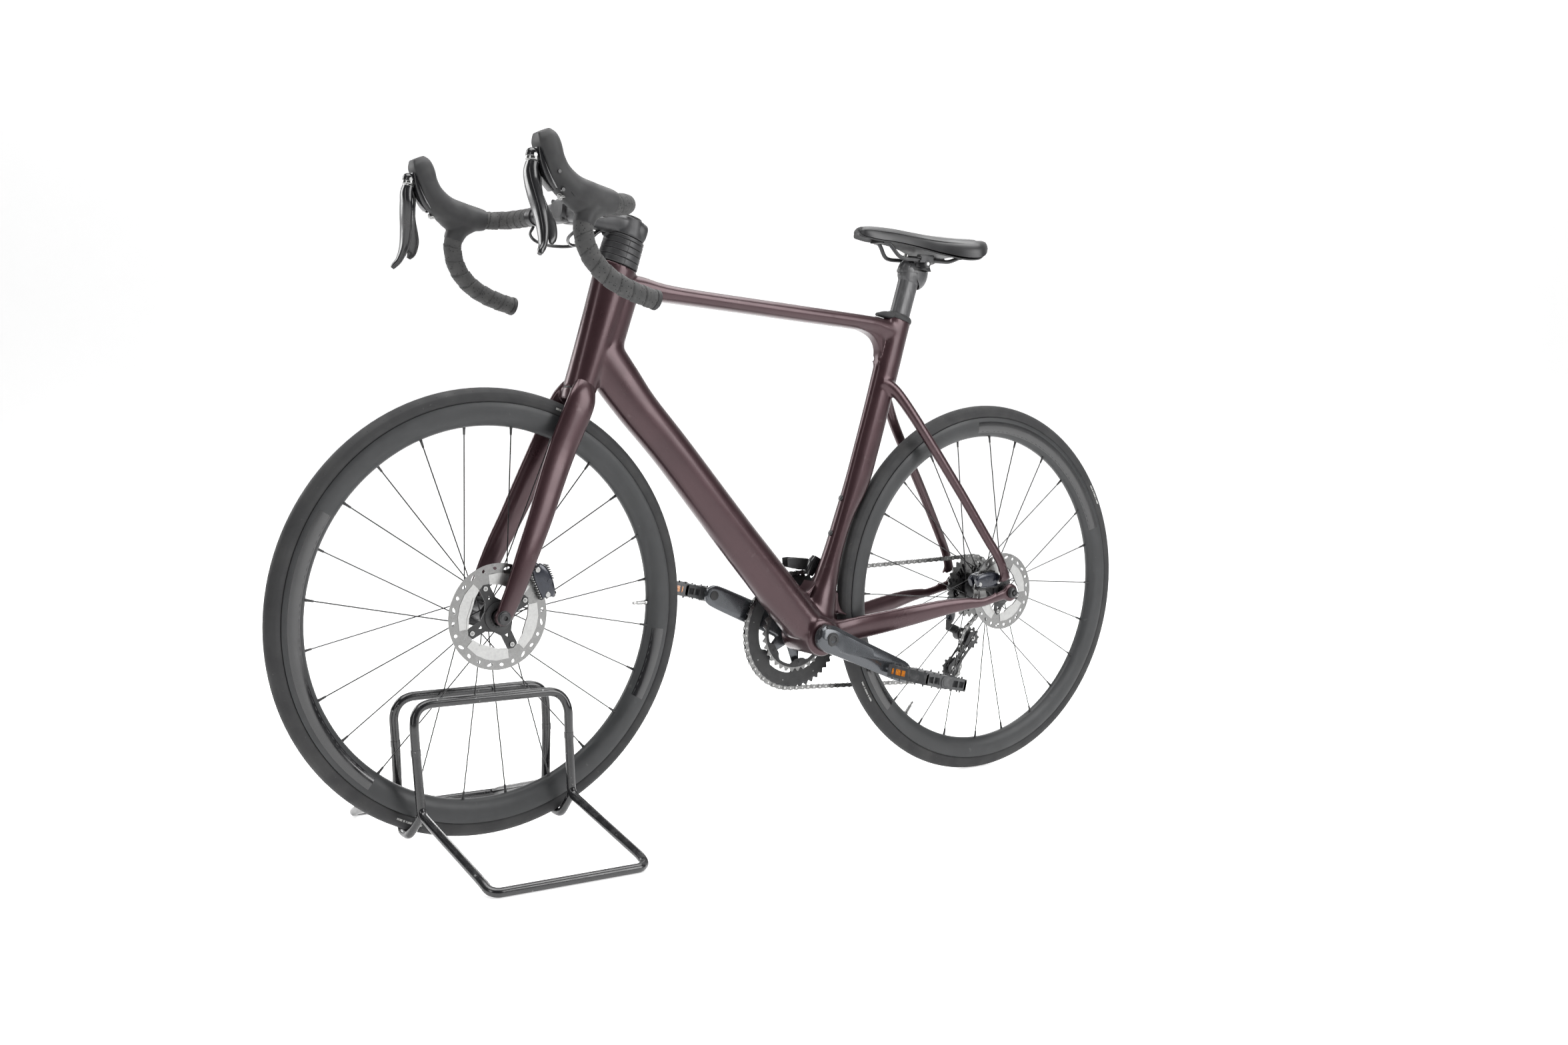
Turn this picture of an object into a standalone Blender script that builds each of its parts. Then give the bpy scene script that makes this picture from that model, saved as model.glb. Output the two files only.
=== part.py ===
"""Road racing bicycle held upright by a floor stand at its front wheel.

Frame of the model: +X towards the rear wheel, +Y towards the drive side (the rider's right),
+Z up.  The floor is Z = 0 and the origin lies midway between the two axles.  All lengths are
metres.  The stand lifts the front wheel a little, so the front hub sits higher than the rear.
"""
import math

import bmesh
import bpy
from mathutils import Matrix, Vector

# ---------------------------------------------------------------- driving dimensions
GAP = 0.0003                      # clearance between neighbouring pieces
HALF_BASE = 0.505                 # half of the horizontal distance between the axles
TYRE_OUTER = 0.338                # outer radius of a 28-622 tyre
TYRE_TUBE = 0.0135                # radius of the tyre's own section
FRONT_LIFT = 0.0153               # how far the stand raises the front tyre off the floor
REAR_HUB = Vector((HALF_BASE, 0, TYRE_OUTER))
FRONT_HUB = Vector((-HALF_BASE, 0, TYRE_OUTER + FRONT_LIFT))
RIM_INNER = 0.281                 # inner edge of the 35 mm deep rim
FRONT_OLD = 0.100                 # over-locknut width of the front hub
REAR_OLD = 0.142                  # over-locknut width of the rear hub
HEAD_ANGLE = math.radians(72.5)
FORK_RAKE = 0.045
SEAT_ANGLE = math.radians(73.5)
BRACKET = Vector((0.1065, 0, 0.278))   # centre of the bottom bracket
CRANK_LENGTH = 0.1725
CRANK_DROP = math.radians(23.5)   # the left crank points this far below the rearward horizontal
PEDAL_Y = 0.129                   # middle of a pedal's platform
PEDAL_PITCH = math.radians(12)    # the platforms hang nose up
CHAIN_PITCH = 0.0127
BIG_TEETH = 50
SMALL_TEETH = 34
COGS = (28, 25, 23, 21, 19, 17, 15, 14, 13, 12, 11)
COG_SPACING = 0.0037
BIG_RING_Y = 0.0475
SMALL_RING_Y = 0.0400
FIRST_COG_Y = 0.0290              # the largest cog, the one that carries the chain
GUIDE_PULLEY = Vector((0.510, FIRST_COG_Y, 0.239))
TENSION_PULLEY = Vector((0.463, FIRST_COG_Y, 0.186))
PULLEY_TIP = 0.0215
CAGE_PIVOT = GUIDE_PULLEY + Vector((-0.010, 0, 0.006))   # on the axis that the cage swings about
SHIFT_PIVOT = Vector((0.512, 0.0840, 0.296))   # the upper upright axis of the changer's parallelogram
CAGE_MOUNT = Vector((0.478, 0.0560, 0.262))    # its lower upright axis
UP = Vector((0, 0, 1))
BAR_CENTRE = Vector((-0.376, 0, 0.958))
BAR_REACH_Y = 0.205               # half of the hood-to-hood width
TAPE_START = 0.100                # where the tape begins on each side of the bar
TAPE_RADIUS = 0.0148
STAND_TUBE = 0.0070               # radius of the stand's steel tube
STAND_HALF_GAP = 0.042            # each hoop's weld stands this far from the wheel's plane
STAND_TOP_GAP = 0.0320            # and its top bar this far
STAND_FOOT_Y = 0.250
CRADLE_LOW = 0.0330               # centre of each cradle below the tyre

STEER_DIR = Vector((math.cos(HEAD_ANGLE), 0, math.sin(HEAD_ANGLE)))
STEER_PITCH = math.pi / 2 - HEAD_ANGLE
STEER_BASE = FRONT_HUB + Vector((FORK_RAKE / math.sin(HEAD_ANGLE), 0, 0))
SEAT_DIR = Vector((math.cos(SEAT_ANGLE), 0, math.sin(SEAT_ANGLE)))
POST_SETBACK = 0.0158             # the post's line passes this far behind the bottom bracket
Y_AXIS = Vector((0, 1, 0))

# ---------------------------------------------------------------- scene and materials
for old in list(bpy.data.objects):
    bpy.data.objects.remove(old, do_unlink=True)

PARTS = bpy.data.collections.new("bicycle_on_stand")
bpy.context.scene.collection.children.link(PARTS)

LOOKS = {
    # name: (colour, roughness, metallic)
    "frame_paint": ((0.090, 0.035, 0.042), 0.32, 0.6),
    "black_satin": ((0.022, 0.022, 0.024), 0.45, 0.1),
    "black_gloss": ((0.012, 0.012, 0.013), 0.18, 0.2),
    "carbon_rim": ((0.030, 0.030, 0.032), 0.42, 0.0),
    "rubber": ((0.025, 0.025, 0.026), 0.75, 0.0),
    "tape": ((0.030, 0.030, 0.031), 0.80, 0.0),
    "bright_steel": ((0.62, 0.62, 0.63), 0.28, 1.0),
    "dark_steel": ((0.05, 0.05, 0.055), 0.35, 0.8),
    "crank_grey": ((0.045, 0.047, 0.052), 0.22, 0.5),
    "saddle_cover": ((0.028, 0.028, 0.030), 0.40, 0.0),
}


def look(name):
    """A Principled BSDF material from the table above."""
    found = bpy.data.materials.get(name)
    if found:
        return found
    colour, roughness, metallic = LOOKS[name]
    material = bpy.data.materials.new(name)
    material.use_nodes = True
    shader = material.node_tree.nodes["Principled BSDF"]
    shader.inputs["Base Color"].default_value = (*colour, 1)
    shader.inputs["Roughness"].default_value = roughness
    shader.inputs["Metallic"].default_value = metallic
    return material


# ---------------------------------------------------------------- building blocks
def add_object(name, mesh):
    thing = bpy.data.objects.new(name, mesh)
    PARTS.objects.link(thing)
    return thing


def object_from(name, builder):
    """A mesh object from a bmesh that has its normals facing out."""
    bmesh.ops.recalc_face_normals(builder, faces=builder.faces)
    mesh = bpy.data.meshes.new(name)
    builder.to_mesh(mesh)
    builder.free()
    return add_object(name, mesh)


def settle(thing):
    """The object's evaluated shape as a plain mesh in world space."""
    graph = bpy.context.evaluated_depsgraph_get()
    graph.update()
    mesh = bpy.data.meshes.new_from_object(thing.evaluated_get(graph))
    mesh.transform(thing.matrix_world)
    builder = bmesh.new()
    builder.from_mesh(mesh)
    bmesh.ops.remove_doubles(builder, verts=builder.verts, dist=1e-6)
    bmesh.ops.recalc_face_normals(builder, faces=builder.faces)
    builder.to_mesh(mesh)
    builder.free()
    name = thing.name
    bpy.data.objects.remove(thing, do_unlink=True)
    made = add_object(name, mesh)
    made.name = name
    return made


def combine(target, tool, operation):
    """Boolean of target with tool; the tool is used up."""
    modifier = target.modifiers.new("boolean", "BOOLEAN")
    modifier.operation = operation
    modifier.solver = "EXACT"
    modifier.object = tool
    made = settle(target)
    bpy.data.objects.remove(tool, do_unlink=True)
    return made


def union(name, pieces):
    whole = pieces[0]
    for piece in pieces[1:]:
        whole = combine(whole, piece, "UNION")
    whole.name = name
    return whole


def cut(target, tools):
    for tool in tools:
        target = combine(target, tool, "DIFFERENCE")
    return target


def axis_matrix(start, direction):
    """Placement that turns local +Z onto a direction, at a starting point."""
    turn = Vector((0, 0, 1)).rotation_difference(Vector(direction)).to_matrix().to_4x4()
    return Matrix.Translation(Vector(start)) @ turn


def rod(name, start, end, radius, end_radius=None, sides=20):
    """A cylinder, or a cone when end_radius differs, between two points."""
    start = Vector(start)
    end = Vector(end)
    builder = bmesh.new()
    bmesh.ops.create_cone(
        builder,
        cap_ends=True,
        segments=sides,
        radius1=radius,
        radius2=radius if end_radius is None else end_radius,
        depth=(end - start).length,
        matrix=axis_matrix((start + end) / 2, (end - start).normalized()),
    )
    return object_from(name, builder)


def ring(name, start, end, outer, inner, sides=24):
    """A cylinder with a bore right through it."""
    along = (Vector(end) - Vector(start)).normalized() * 0.002
    body = rod(name, start, end, outer, sides=sides)
    bore = rod("bore", Vector(start) - along, Vector(end) + along, inner, sides=sides)
    return cut(body, [bore])


def block(name, centre, size, pitch=0.0, roll=0.0):
    """A box, turned by pitch about Y and roll about X."""
    place = Matrix.Translation(Vector(centre))
    place = place @ Matrix.Rotation(pitch, 4, "Y") @ Matrix.Rotation(roll, 4, "X")
    builder = bmesh.new()
    bmesh.ops.create_cube(builder, size=1, matrix=place @ Matrix.Diagonal((*size, 1)))
    return object_from(name, builder)


def bevelled(thing, width, segments=1):
    modifier = thing.modifiers.new("bevel", "BEVEL")
    modifier.width = width
    modifier.segments = segments
    modifier.limit_method = "ANGLE"
    return settle(thing)


def smooth_route(points, steps, closed=False):
    """Catmull-Rom points through a hand-chosen route."""
    points = [Vector(p) for p in points]
    count = len(points)
    spans = count if closed else count - 1
    route = []
    for i in range(spans):
        before = points[(i - 1) % count] if closed or i > 0 else points[0] * 2 - points[1]
        here = points[i]
        after = points[(i + 1) % count]
        beyond = points[(i + 2) % count] if closed or i + 2 < count else after * 2 - here
        for k in range(steps):
            t = k / steps
            route.append(
                0.5
                * (
                    2 * here
                    + (after - before) * t
                    + (2 * before - 5 * here + 4 * after - beyond) * t * t
                    + (3 * here - before - 3 * after + beyond) * t * t * t
                )
            )
    if not closed:
        route.append(points[-1])
    return route


def pipe(name, points, radius, closed=False, resolution=2):
    """A round tube along a polyline, from a bevelled curve with filled caps."""
    curve = bpy.data.curves.new(name, "CURVE")
    curve.dimensions = "3D"
    curve.bevel_depth = radius
    curve.bevel_resolution = resolution
    curve.use_fill_caps = True
    spline = curve.splines.new("POLY")
    spline.points.add(len(points) - 1)
    for place, point in zip(spline.points, points):
        place.co = (*point, 1)
    spline.use_cyclic_u = closed
    return settle(add_object(name, curve))


def plate(name, outlines, thickness, place):
    """Flat outlines (the later ones are holes) filled, thickened and placed by a matrix."""
    curve = bpy.data.curves.new(name, "CURVE")
    curve.dimensions = "2D"
    curve.fill_mode = "BOTH"
    curve.extrude = thickness / 2
    for outline in outlines:
        spline = curve.splines.new("POLY")
        spline.points.add(len(outline) - 1)
        for point, (u, v) in zip(spline.points, outline):
            point.co = (u, v, 0, 1)
        spline.use_cyclic_u = True
    thing = add_object(name, curve)
    thing.matrix_world = place
    return settle(thing)


def side_plane(x, y, z):
    """Placement of a flat outline whose (u, v) become (X, Z) in the plane Y = y."""
    return Matrix.Translation((x, y, z)) @ Matrix.Rotation(math.pi / 2, 4, "X")


def circle(radius, count, centre=(0, 0), phase=0.0):
    angles = [phase + 2 * math.pi / count * i for i in range(count)]
    return [(centre[0] + radius * math.cos(a), centre[1] + radius * math.sin(a)) for a in angles]


def turned(name, profile, segments, centre):
    """A profile of (radius, offset along Y) points turned about the Y axis through centre."""
    mesh = bpy.data.meshes.new(name)
    points = [(radius, 0, offset) for radius, offset in profile]
    edges = [(i, (i + 1) % len(points)) for i in range(len(points))]
    mesh.from_pydata(points, edges, [])
    thing = add_object(name, mesh)
    screw = thing.modifiers.new("screw", "SCREW")
    screw.steps = segments
    screw.render_steps = segments
    screw.use_merge_vertices = True
    screw.merge_threshold = 1e-5
    thing.matrix_world = Matrix.Translation(centre) @ Matrix.Rotation(-math.pi / 2, 4, "X")
    return settle(thing)


def section(centre, along, depth, width, sides, power=1.0):
    """One oval ring of a loft: depth lies in the bicycle's side plane, width across it."""
    along = Vector(along).normalized()
    across = (Y_AXIS - along * along.y).normalized()
    deep = across.cross(along)
    points = []
    for i in range(sides):
        angle = 2 * math.pi * i / sides
        c = math.cos(angle)
        s = math.sin(angle)
        u = math.copysign(abs(c) ** power, c) * depth
        v = math.copysign(abs(s) ** power, s) * width
        points.append(Vector(centre) + deep * u + across * v)
    return points


def loft(name, rings):
    """A closed skin over a row of rings with the same number of points."""
    builder = bmesh.new()
    rows = [[builder.verts.new(p) for p in ring_points] for ring_points in rings]
    sides = len(rows[0])
    for first, second in zip(rows, rows[1:]):
        for i in range(sides):
            j = (i + 1) % sides
            builder.faces.new((first[i], first[j], second[j], second[i]))
    builder.faces.new(rows[0])
    builder.faces.new(list(reversed(rows[-1])))
    return object_from(name, builder)


def oval_tube(name, stations, sides=12, power=0.9, grow=0.0):
    """A loft through (centre, half depth, half width) stations."""
    centres = [Vector(c) for c, depth, width in stations]
    rings = []
    for i, (centre, depth, width) in enumerate(stations):
        before = centres[max(i - 1, 0)]
        after = centres[min(i + 1, len(centres) - 1)]
        rings.append(section(centre, after - before, depth + grow, width + grow, sides, power))
    return loft(name, rings)


def mirrored(point):
    return Vector((point[0], -point[1], point[2]))


def side_stations(stations, side):
    """Stations written for the +Y side, moved to the side given by its sign."""
    return [((x, y * side, z), depth, width) for (x, y, z), depth, width in stations]


def steer_at(distance, forward=0.0, across=0.0):
    """A point by its distance up the steering axis and its offset square to that axis."""
    square = Vector((-STEER_DIR.z, 0, STEER_DIR.x))
    return STEER_BASE + STEER_DIR * distance + square * forward + Y_AXIS * across


# ---------------------------------------------------------------- frame
HEAD_BOTTOM = 0.3510              # distances up the steering axis from the hub's level
HEAD_TOP = 0.5560
HEAD_RADIUS = 0.0246
HEAD_BORE = 0.0152
HEAD_WEB_BACK = 0.0185            # the web's middle behind the steering axis, and half its depth
HEAD_WEB_DEPTH = 0.0330
SHELL_HALF = 0.043                # half width of the bottom bracket shell
POST_DEPTH = 0.0198               # half sizes of the aero seatpost
POST_WIDTH = 0.0125
POST_FIT = 0.0004                 # clearance round the post
POST_HOLE_BOTTOM = 0.430          # distances up the post's line
POST_BOTTOM = 0.456
POST_HOLE_TOP = 0.600


def seat_at(distance):
    """A point up the seatpost's own line, from the bottom bracket's level."""
    return BRACKET + Vector((POST_SETBACK, 0, 0)) + SEAT_DIR * distance


def head_tube(grow=0.0):
    """The bearing tube, with the deep web that fills the corner behind it."""
    start = steer_at(HEAD_BOTTOM - grow)
    end = steer_at(HEAD_TOP + grow)
    low = HEAD_RADIUS + 0.001 + grow
    high = HEAD_RADIUS - 0.001 + grow
    tube = rod("head_tube", start, end, low, high, 28)
    web = oval_tube(
        "web",
        [(steer_at(d, -HEAD_WEB_BACK), HEAD_WEB_DEPTH, 0.0195) for d in (0.392 - grow, 0.530 + grow)],
        grow=grow,
    )
    return union("head_tube", [tube, web])


def seat_tube_skin(grow=0.0):
    """The aero seat tube: deep at the top and hollowed by the wheel's arc lower down."""
    stations = []
    for height, front, rear, width in (
        (0.278, 0.072, 0.148, 0.031),
        (0.330, 0.090, 0.1580, 0.024),
        (0.370, 0.1135, 0.1618, 0.018),
        (0.420, 0.1350, 0.1706, 0.0150),
        (0.480, 0.1560, 0.1920, 0.0145),
        (0.540, 0.1760, 0.2270, 0.0145),
        (0.600, 0.1940, 0.2470, 0.0145),
        (0.680, 0.2172, 0.2700, 0.0155),
        (0.775, 0.243, 0.296, 0.0165),
        (0.826, 0.256, 0.310, 0.0170),
    ):
        centre = (front + rear) / 2
        half = (rear - front) / 2 * SEAT_DIR.z
        stations.append(((centre, 0, height), half, width))
    return oval_tube("seat_tube", stations, grow=grow)


def bracket_shell(grow=0.0):
    half = SHELL_HALF + grow
    start = BRACKET - Y_AXIS * half
    return rod("bracket_shell", start, start + Y_AXIS * 2 * half, 0.0335 + grow, sides=26)


def front_triangle():
    head = head_tube()
    bore = rod("bore", steer_at(HEAD_BOTTOM - 0.01), steer_at(HEAD_TOP + 0.01), HEAD_BORE, sides=24)
    head = cut(head, [bore])
    head.name = "head_tube"

    seat = union("seat_tube", [seat_tube_skin(), bracket_shell()])
    post_hole = oval_tube(
        "post_hole",
        [
            (seat_at(d), POST_DEPTH + POST_FIT, POST_WIDTH + POST_FIT)
            for d in (POST_HOLE_BOTTOM, POST_HOLE_TOP)
        ],
    )
    axle_hole = rod("axle_hole", BRACKET - Y_AXIS * 0.06, BRACKET + Y_AXIS * 0.06, 0.0130, sides=24)
    seat = cut(seat, [post_hole, axle_hole])
    seat.name = "seat_tube"

    down = oval_tube(
        "down_tube",
        [
            ((-0.3215, 0, 0.7450), 0.034, 0.0225),
            ((-0.2715, 0, 0.6865), 0.0340, 0.0235),
            ((-0.1780, 0, 0.5915), 0.0335, 0.0250),
            ((-0.060, 0, 0.460), 0.0345, 0.0270),
            ((0.030, 0, 0.363), 0.0355, 0.0300),
            ((0.092, 0, 0.296), 0.0330, 0.0380),
        ],
    )
    down = cut(down, [head_tube(GAP), seat_tube_skin(GAP), bracket_shell(GAP)])
    down.name = "down_tube"

    top = oval_tube(
        "top_tube",
        [
            ((-0.300, 0, 0.853), 0.0215, 0.0180),
            ((-0.250, 0, 0.8510), 0.0195, 0.0190),
            ((-0.180, 0, 0.8435), 0.0145, 0.0200),
            ((0.050, 0, 0.8270), 0.0143, 0.0185),
            ((0.210, 0, 0.8155), 0.0143, 0.0175),
            ((0.250, 0, 0.8060), 0.0190, 0.0170),
            ((0.268, 0, 0.8020), 0.0200, 0.0165),
        ],
    )
    top = cut(top, [head_tube(GAP), seat_tube_skin(GAP)])
    top.name = "top_tube"


AXLE_RADIUS = 0.0060
AXLE_BORE = 0.0066                # bore of the hubs and of the eyes in the frame and fork
DROPOUT_INNER = REAR_OLD / 2 + GAP
CHAINSTAY = [
    ((0.135, 0.0240, 0.2810), 0.0210, 0.0100),
    ((0.175, 0.0275, 0.2855), 0.0215, 0.0085),
    ((0.210, 0.0330, 0.2910), 0.0205, 0.0082),
    ((0.250, 0.0425, 0.2980), 0.0195, 0.0080),
    ((0.300, 0.0525, 0.3070), 0.0180, 0.0080),
    ((0.360, 0.062, 0.3170), 0.0150, 0.0075),
    ((0.405, 0.0700, 0.3220), 0.0115, 0.0060),
    ((0.440, 0.0755, 0.3235), 0.0085, 0.0042),
    ((0.475, 0.0762, 0.3310), 0.0090, 0.0040),
    ((0.500, 0.0762, 0.3370), 0.0110, 0.0040),
]
SEATSTAY = [
    ((0.256, 0.0120, 0.7080), 0.0110, 0.0085),
    ((0.277, 0.0205, 0.6890), 0.0105, 0.0080),
    ((0.318, 0.0370, 0.6300), 0.0100, 0.0070),
    ((0.395, 0.0535, 0.5230), 0.0098, 0.0063),
    ((0.4505, 0.0655, 0.4420), 0.0098, 0.0055),
    ((0.4800, 0.0735, 0.3980), 0.0100, 0.0042),
    ((0.4950, 0.0762, 0.3660), 0.0115, 0.0040),
]


def dropout(side, grow=0.0):
    """The flat plate around the rear axle, on the stay's end."""
    inner = REAR_HUB + Y_AXIS * side * (DROPOUT_INNER - grow)
    outer = REAR_HUB + Y_AXIS * side * (DROPOUT_INNER + 0.0100 + grow)
    return rod("dropout", inner, outer, 0.0165 + grow, sides=20)


def across_axle(name, hub, shaft, head, head_radii):
    """A through axle with its tapered head; shaft and head are (left, right) places along Y."""
    shaft_rod = rod(name, hub + Y_AXIS * shaft[0], hub + Y_AXIS * shaft[1], AXLE_RADIUS, sides=16)
    head_rod = rod("head", hub + Y_AXIS * head[0], hub + Y_AXIS * head[1], *head_radii, sides=16)
    overlap = 0.001
    neck_start = hub + Y_AXIS * (head[1] - overlap)
    neck_end = hub + Y_AXIS * (shaft[0] + overlap)
    neck = rod("neck", neck_start, neck_end, AXLE_RADIUS, sides=16)
    union(name, [shaft_rod, neck, head_rod])


def stays():
    for side, word in ((-1, "left"), (1, "right")):
        hole = rod(
            "hole",
            REAR_HUB + Y_AXIS * side * 0.060,
            REAR_HUB + Y_AXIS * side * 0.095,
            AXLE_BORE,
            sides=16,
        )
        chain_side = side_stations(CHAINSTAY, side)
        pieces = [oval_tube("chainstay", chain_side, sides=10), dropout(side)]
        if side > 0:
            inner = REAR_HUB + Vector((0.006, 0.0725, -0.034))
            outer = REAR_HUB + Vector((0.006, 0.0785, -0.034))
            pieces.append(rod("hanger_eye", inner, outer, 0.0075, sides=14))
            plate_centre = REAR_HUB + Vector((0.004, 0.0755, -0.022))
            pieces.append(block("hanger", plate_centre, (0.013, 0.006, 0.026)))
        stay = union("chainstay_" + word, pieces)
        stay = cut(stay, [seat_tube_skin(GAP), bracket_shell(GAP), hole])
        stay.name = "chainstay_" + word

        upper = oval_tube("seatstay", side_stations(SEATSTAY, side), sides=10)
        upper = cut(
            upper,
            [
                seat_tube_skin(GAP),
                oval_tube("stay_room", chain_side, sides=10, grow=GAP),
                dropout(side, GAP),
                block("centre_gap", (0.27, -side * 0.02, 0.69), (0.08, 0.0406, 0.10)),
            ],
        )
        upper.name = "seatstay_" + word

    across_axle("rear_axle", REAR_HUB, (-0.0815, 0.0800), (-0.0885, -0.0816), (0.0085, 0.0100))


# ---------------------------------------------------------------- wheels
TYRE_RING = TYRE_OUTER - TYRE_TUBE
WHEEL_STEPS = 48


def tyre(name, hub):
    profile = []
    sides = 8
    for i in range(sides):
        angle = -2 * math.pi * i / sides
        profile.append((TYRE_RING + TYRE_TUBE * math.cos(angle), TYRE_TUBE * math.sin(angle)))
    turned(name, profile, WHEEL_STEPS, hub)


def rim(name, hub):
    """A deep rim: rounded inner edge, bulged walls and a bed that the tyre sits in."""
    bed = TYRE_TUBE + 0.0012
    half = [
        (TYRE_RING - bed, 0.0),
        (TYRE_RING - math.sqrt(bed ** 2 - 0.0100 ** 2), 0.0100),
        (TYRE_RING - 0.0076, 0.0130),
        (0.3000, 0.0137),
        (RIM_INNER + 0.0030, 0.0062),
        (RIM_INNER, 0.0),
    ]
    lower = [(radius, -offset) for radius, offset in half[1:-1]]
    turned(name, half + list(reversed(lower)), WHEEL_STEPS, hub)


def wheel_point(hub, radius, angle, across):
    return hub + Vector((radius * math.cos(angle), across, radius * math.sin(angle)))


HUB_SHELL = 0.0145
HUB_FLANGE = 0.0235
SPOKE_COUNT = 24
SPOKE_CIRCLE = 0.0205             # where the spokes leave the flanges
SPOKE_LEAN = math.radians(58)     # how far each spoke's hub end is turned from its rim end


def hub_with_spokes(name, hub, flanges, half_length, first_spoke):
    """The hub shell, two flanges and the crossed spokes, joined into one piece."""
    left, right = flanges
    body = turned(
        name,
        [
            (HUB_SHELL - 0.003, half_length),
            (HUB_SHELL, right + 0.004),
            (HUB_FLANGE, right + 0.0018),
            (HUB_FLANGE, right - 0.0018),
            (HUB_SHELL, right - 0.006),
            (HUB_SHELL - 0.001, (left + right) / 2),
            (HUB_SHELL, left + 0.006),
            (HUB_FLANGE, left + 0.0018),
            (HUB_FLANGE, left - 0.0018),
            (HUB_SHELL, left - 0.004),
            (HUB_SHELL - 0.003, -half_length),
            (AXLE_BORE, -half_length),
            (AXLE_BORE, half_length),
        ],
        16,
        hub,
    )
    for k in range(SPOKE_COUNT):
        rim_angle = first_spoke + 2 * math.pi / SPOKE_COUNT * k
        across = left if k % 2 else right
        lean = 1 if (k // 2) % 2 else -1
        start = wheel_point(hub, SPOKE_CIRCLE, rim_angle + lean * SPOKE_LEAN, across + lean * 0.0013)
        end = wheel_point(hub, RIM_INNER - 0.0008, rim_angle, 0.003 * (-1 if k % 2 else 1))
        body = combine(body, rod("spoke", start, end, 0.0012, sides=3), "UNION")
    body.name = name


def rotor(name, hub, across, outer, first_arm):
    """A slotted disc ring on a four-armed spider, one piece."""
    track = outer - 0.0150
    tab_half = math.radians(9)
    inner = []
    for k in range(4):
        middle = first_arm + math.pi / 2 * k
        inner.append((track - 0.0170, middle - tab_half))
        inner.append((track - 0.0170, middle + tab_half))
        for step in (1, 2, 3, 4):
            inner.append((track - 0.0105, middle + tab_half + math.radians(14.4) * step))
    inner_loop = [(r * math.cos(a), r * math.sin(a)) for r, a in inner]
    loops = [circle(outer, 32), inner_loop]
    for k in range(12):
        angle = first_arm + math.radians(30) * (k + 0.5)
        middle = (outer - 0.0070) * math.cos(angle), (outer - 0.0070) * math.sin(angle)
        loops.append(circle(0.0032, 4, middle, angle))
    disc = plate(name, loops, 0.0018, side_plane(hub.x, across, hub.z))
    star = []
    for k in range(4):
        middle = first_arm + math.pi / 2 * k
        arm = track - 0.0165
        for radius, offset in ((0.0245, -32), (arm, -8.5), (arm, 8.5), (0.0245, 32)):
            angle = middle + math.radians(offset)
            star.append((radius * math.cos(angle), radius * math.sin(angle)))
    spider = plate("spider", [star, circle(0.0175, 20)], 0.0030, side_plane(hub.x, across, hub.z))
    union(name, [disc, spider])


def valve(name, hub, angle):
    inner = wheel_point(hub, RIM_INNER - 0.0005, angle, 0)
    outer = wheel_point(hub, RIM_INNER - 0.0180, angle, 0)
    tip = wheel_point(hub, RIM_INNER - 0.0260, angle, 0)
    stem = rod("stem", inner, outer, 0.0028, sides=10)
    union(name, [stem, rod("core", outer, tip, 0.0032, 0.0016, 10)])


FRONT_FLANGES = (-0.026, 0.034)
REAR_FLANGES = (-0.035, 0.0185)
FRONT_ROTOR_Y = -0.0405
REAR_ROTOR_Y = -0.0555
FRONT_FIRST_SPOKE = math.radians(7.6)
REAR_FIRST_SPOKE = math.radians(14.1)
FRONT_VALVE_ANGLE = 0.0
REAR_VALVE_ANGLE = math.radians(231.6)


def wheels():
    tyre("front_tyre", FRONT_HUB)
    rim("front_rim", FRONT_HUB)
    hub_with_spokes("front_hub", FRONT_HUB, FRONT_FLANGES, FRONT_OLD / 2, FRONT_FIRST_SPOKE)
    rotor("front_rotor", FRONT_HUB, FRONT_ROTOR_Y, 0.080, math.radians(27.5))
    valve("front_valve", FRONT_HUB, FRONT_VALVE_ANGLE)
    tyre("rear_tyre", REAR_HUB)
    rim("rear_rim", REAR_HUB)
    hub_with_spokes("rear_hub", REAR_HUB, REAR_FLANGES, REAR_OLD / 2, REAR_FIRST_SPOKE)
    rotor("rear_rotor", REAR_HUB, REAR_ROTOR_Y, 0.070, math.radians(-15))
    valve("rear_valve", REAR_HUB, REAR_VALVE_ANGLE)


# ---------------------------------------------------------------- fork, stem and bars
BLADE = [
    ((-0.3560, 0.0210, 0.6860), 0.0200, 0.0100),
    ((-0.3660, 0.0265, 0.6640), 0.0245, 0.0085),
    ((-0.3960, 0.0300, 0.6000), 0.0235, 0.0085),
    ((-0.4200, 0.0375, 0.5450), 0.0210, 0.0080),
    ((-0.4410, 0.0450, 0.4950), 0.0185, 0.0075),
    ((-0.4640, 0.0520, 0.4450), 0.0165, 0.0068),
    ((-0.4830, 0.0555, 0.4000), 0.0148, 0.0055),
    ((-0.5000, 0.0558, 0.3620), 0.0135, 0.0052),
    ((-0.5070, 0.0558, 0.3470), 0.0110, 0.0050),
]


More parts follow.
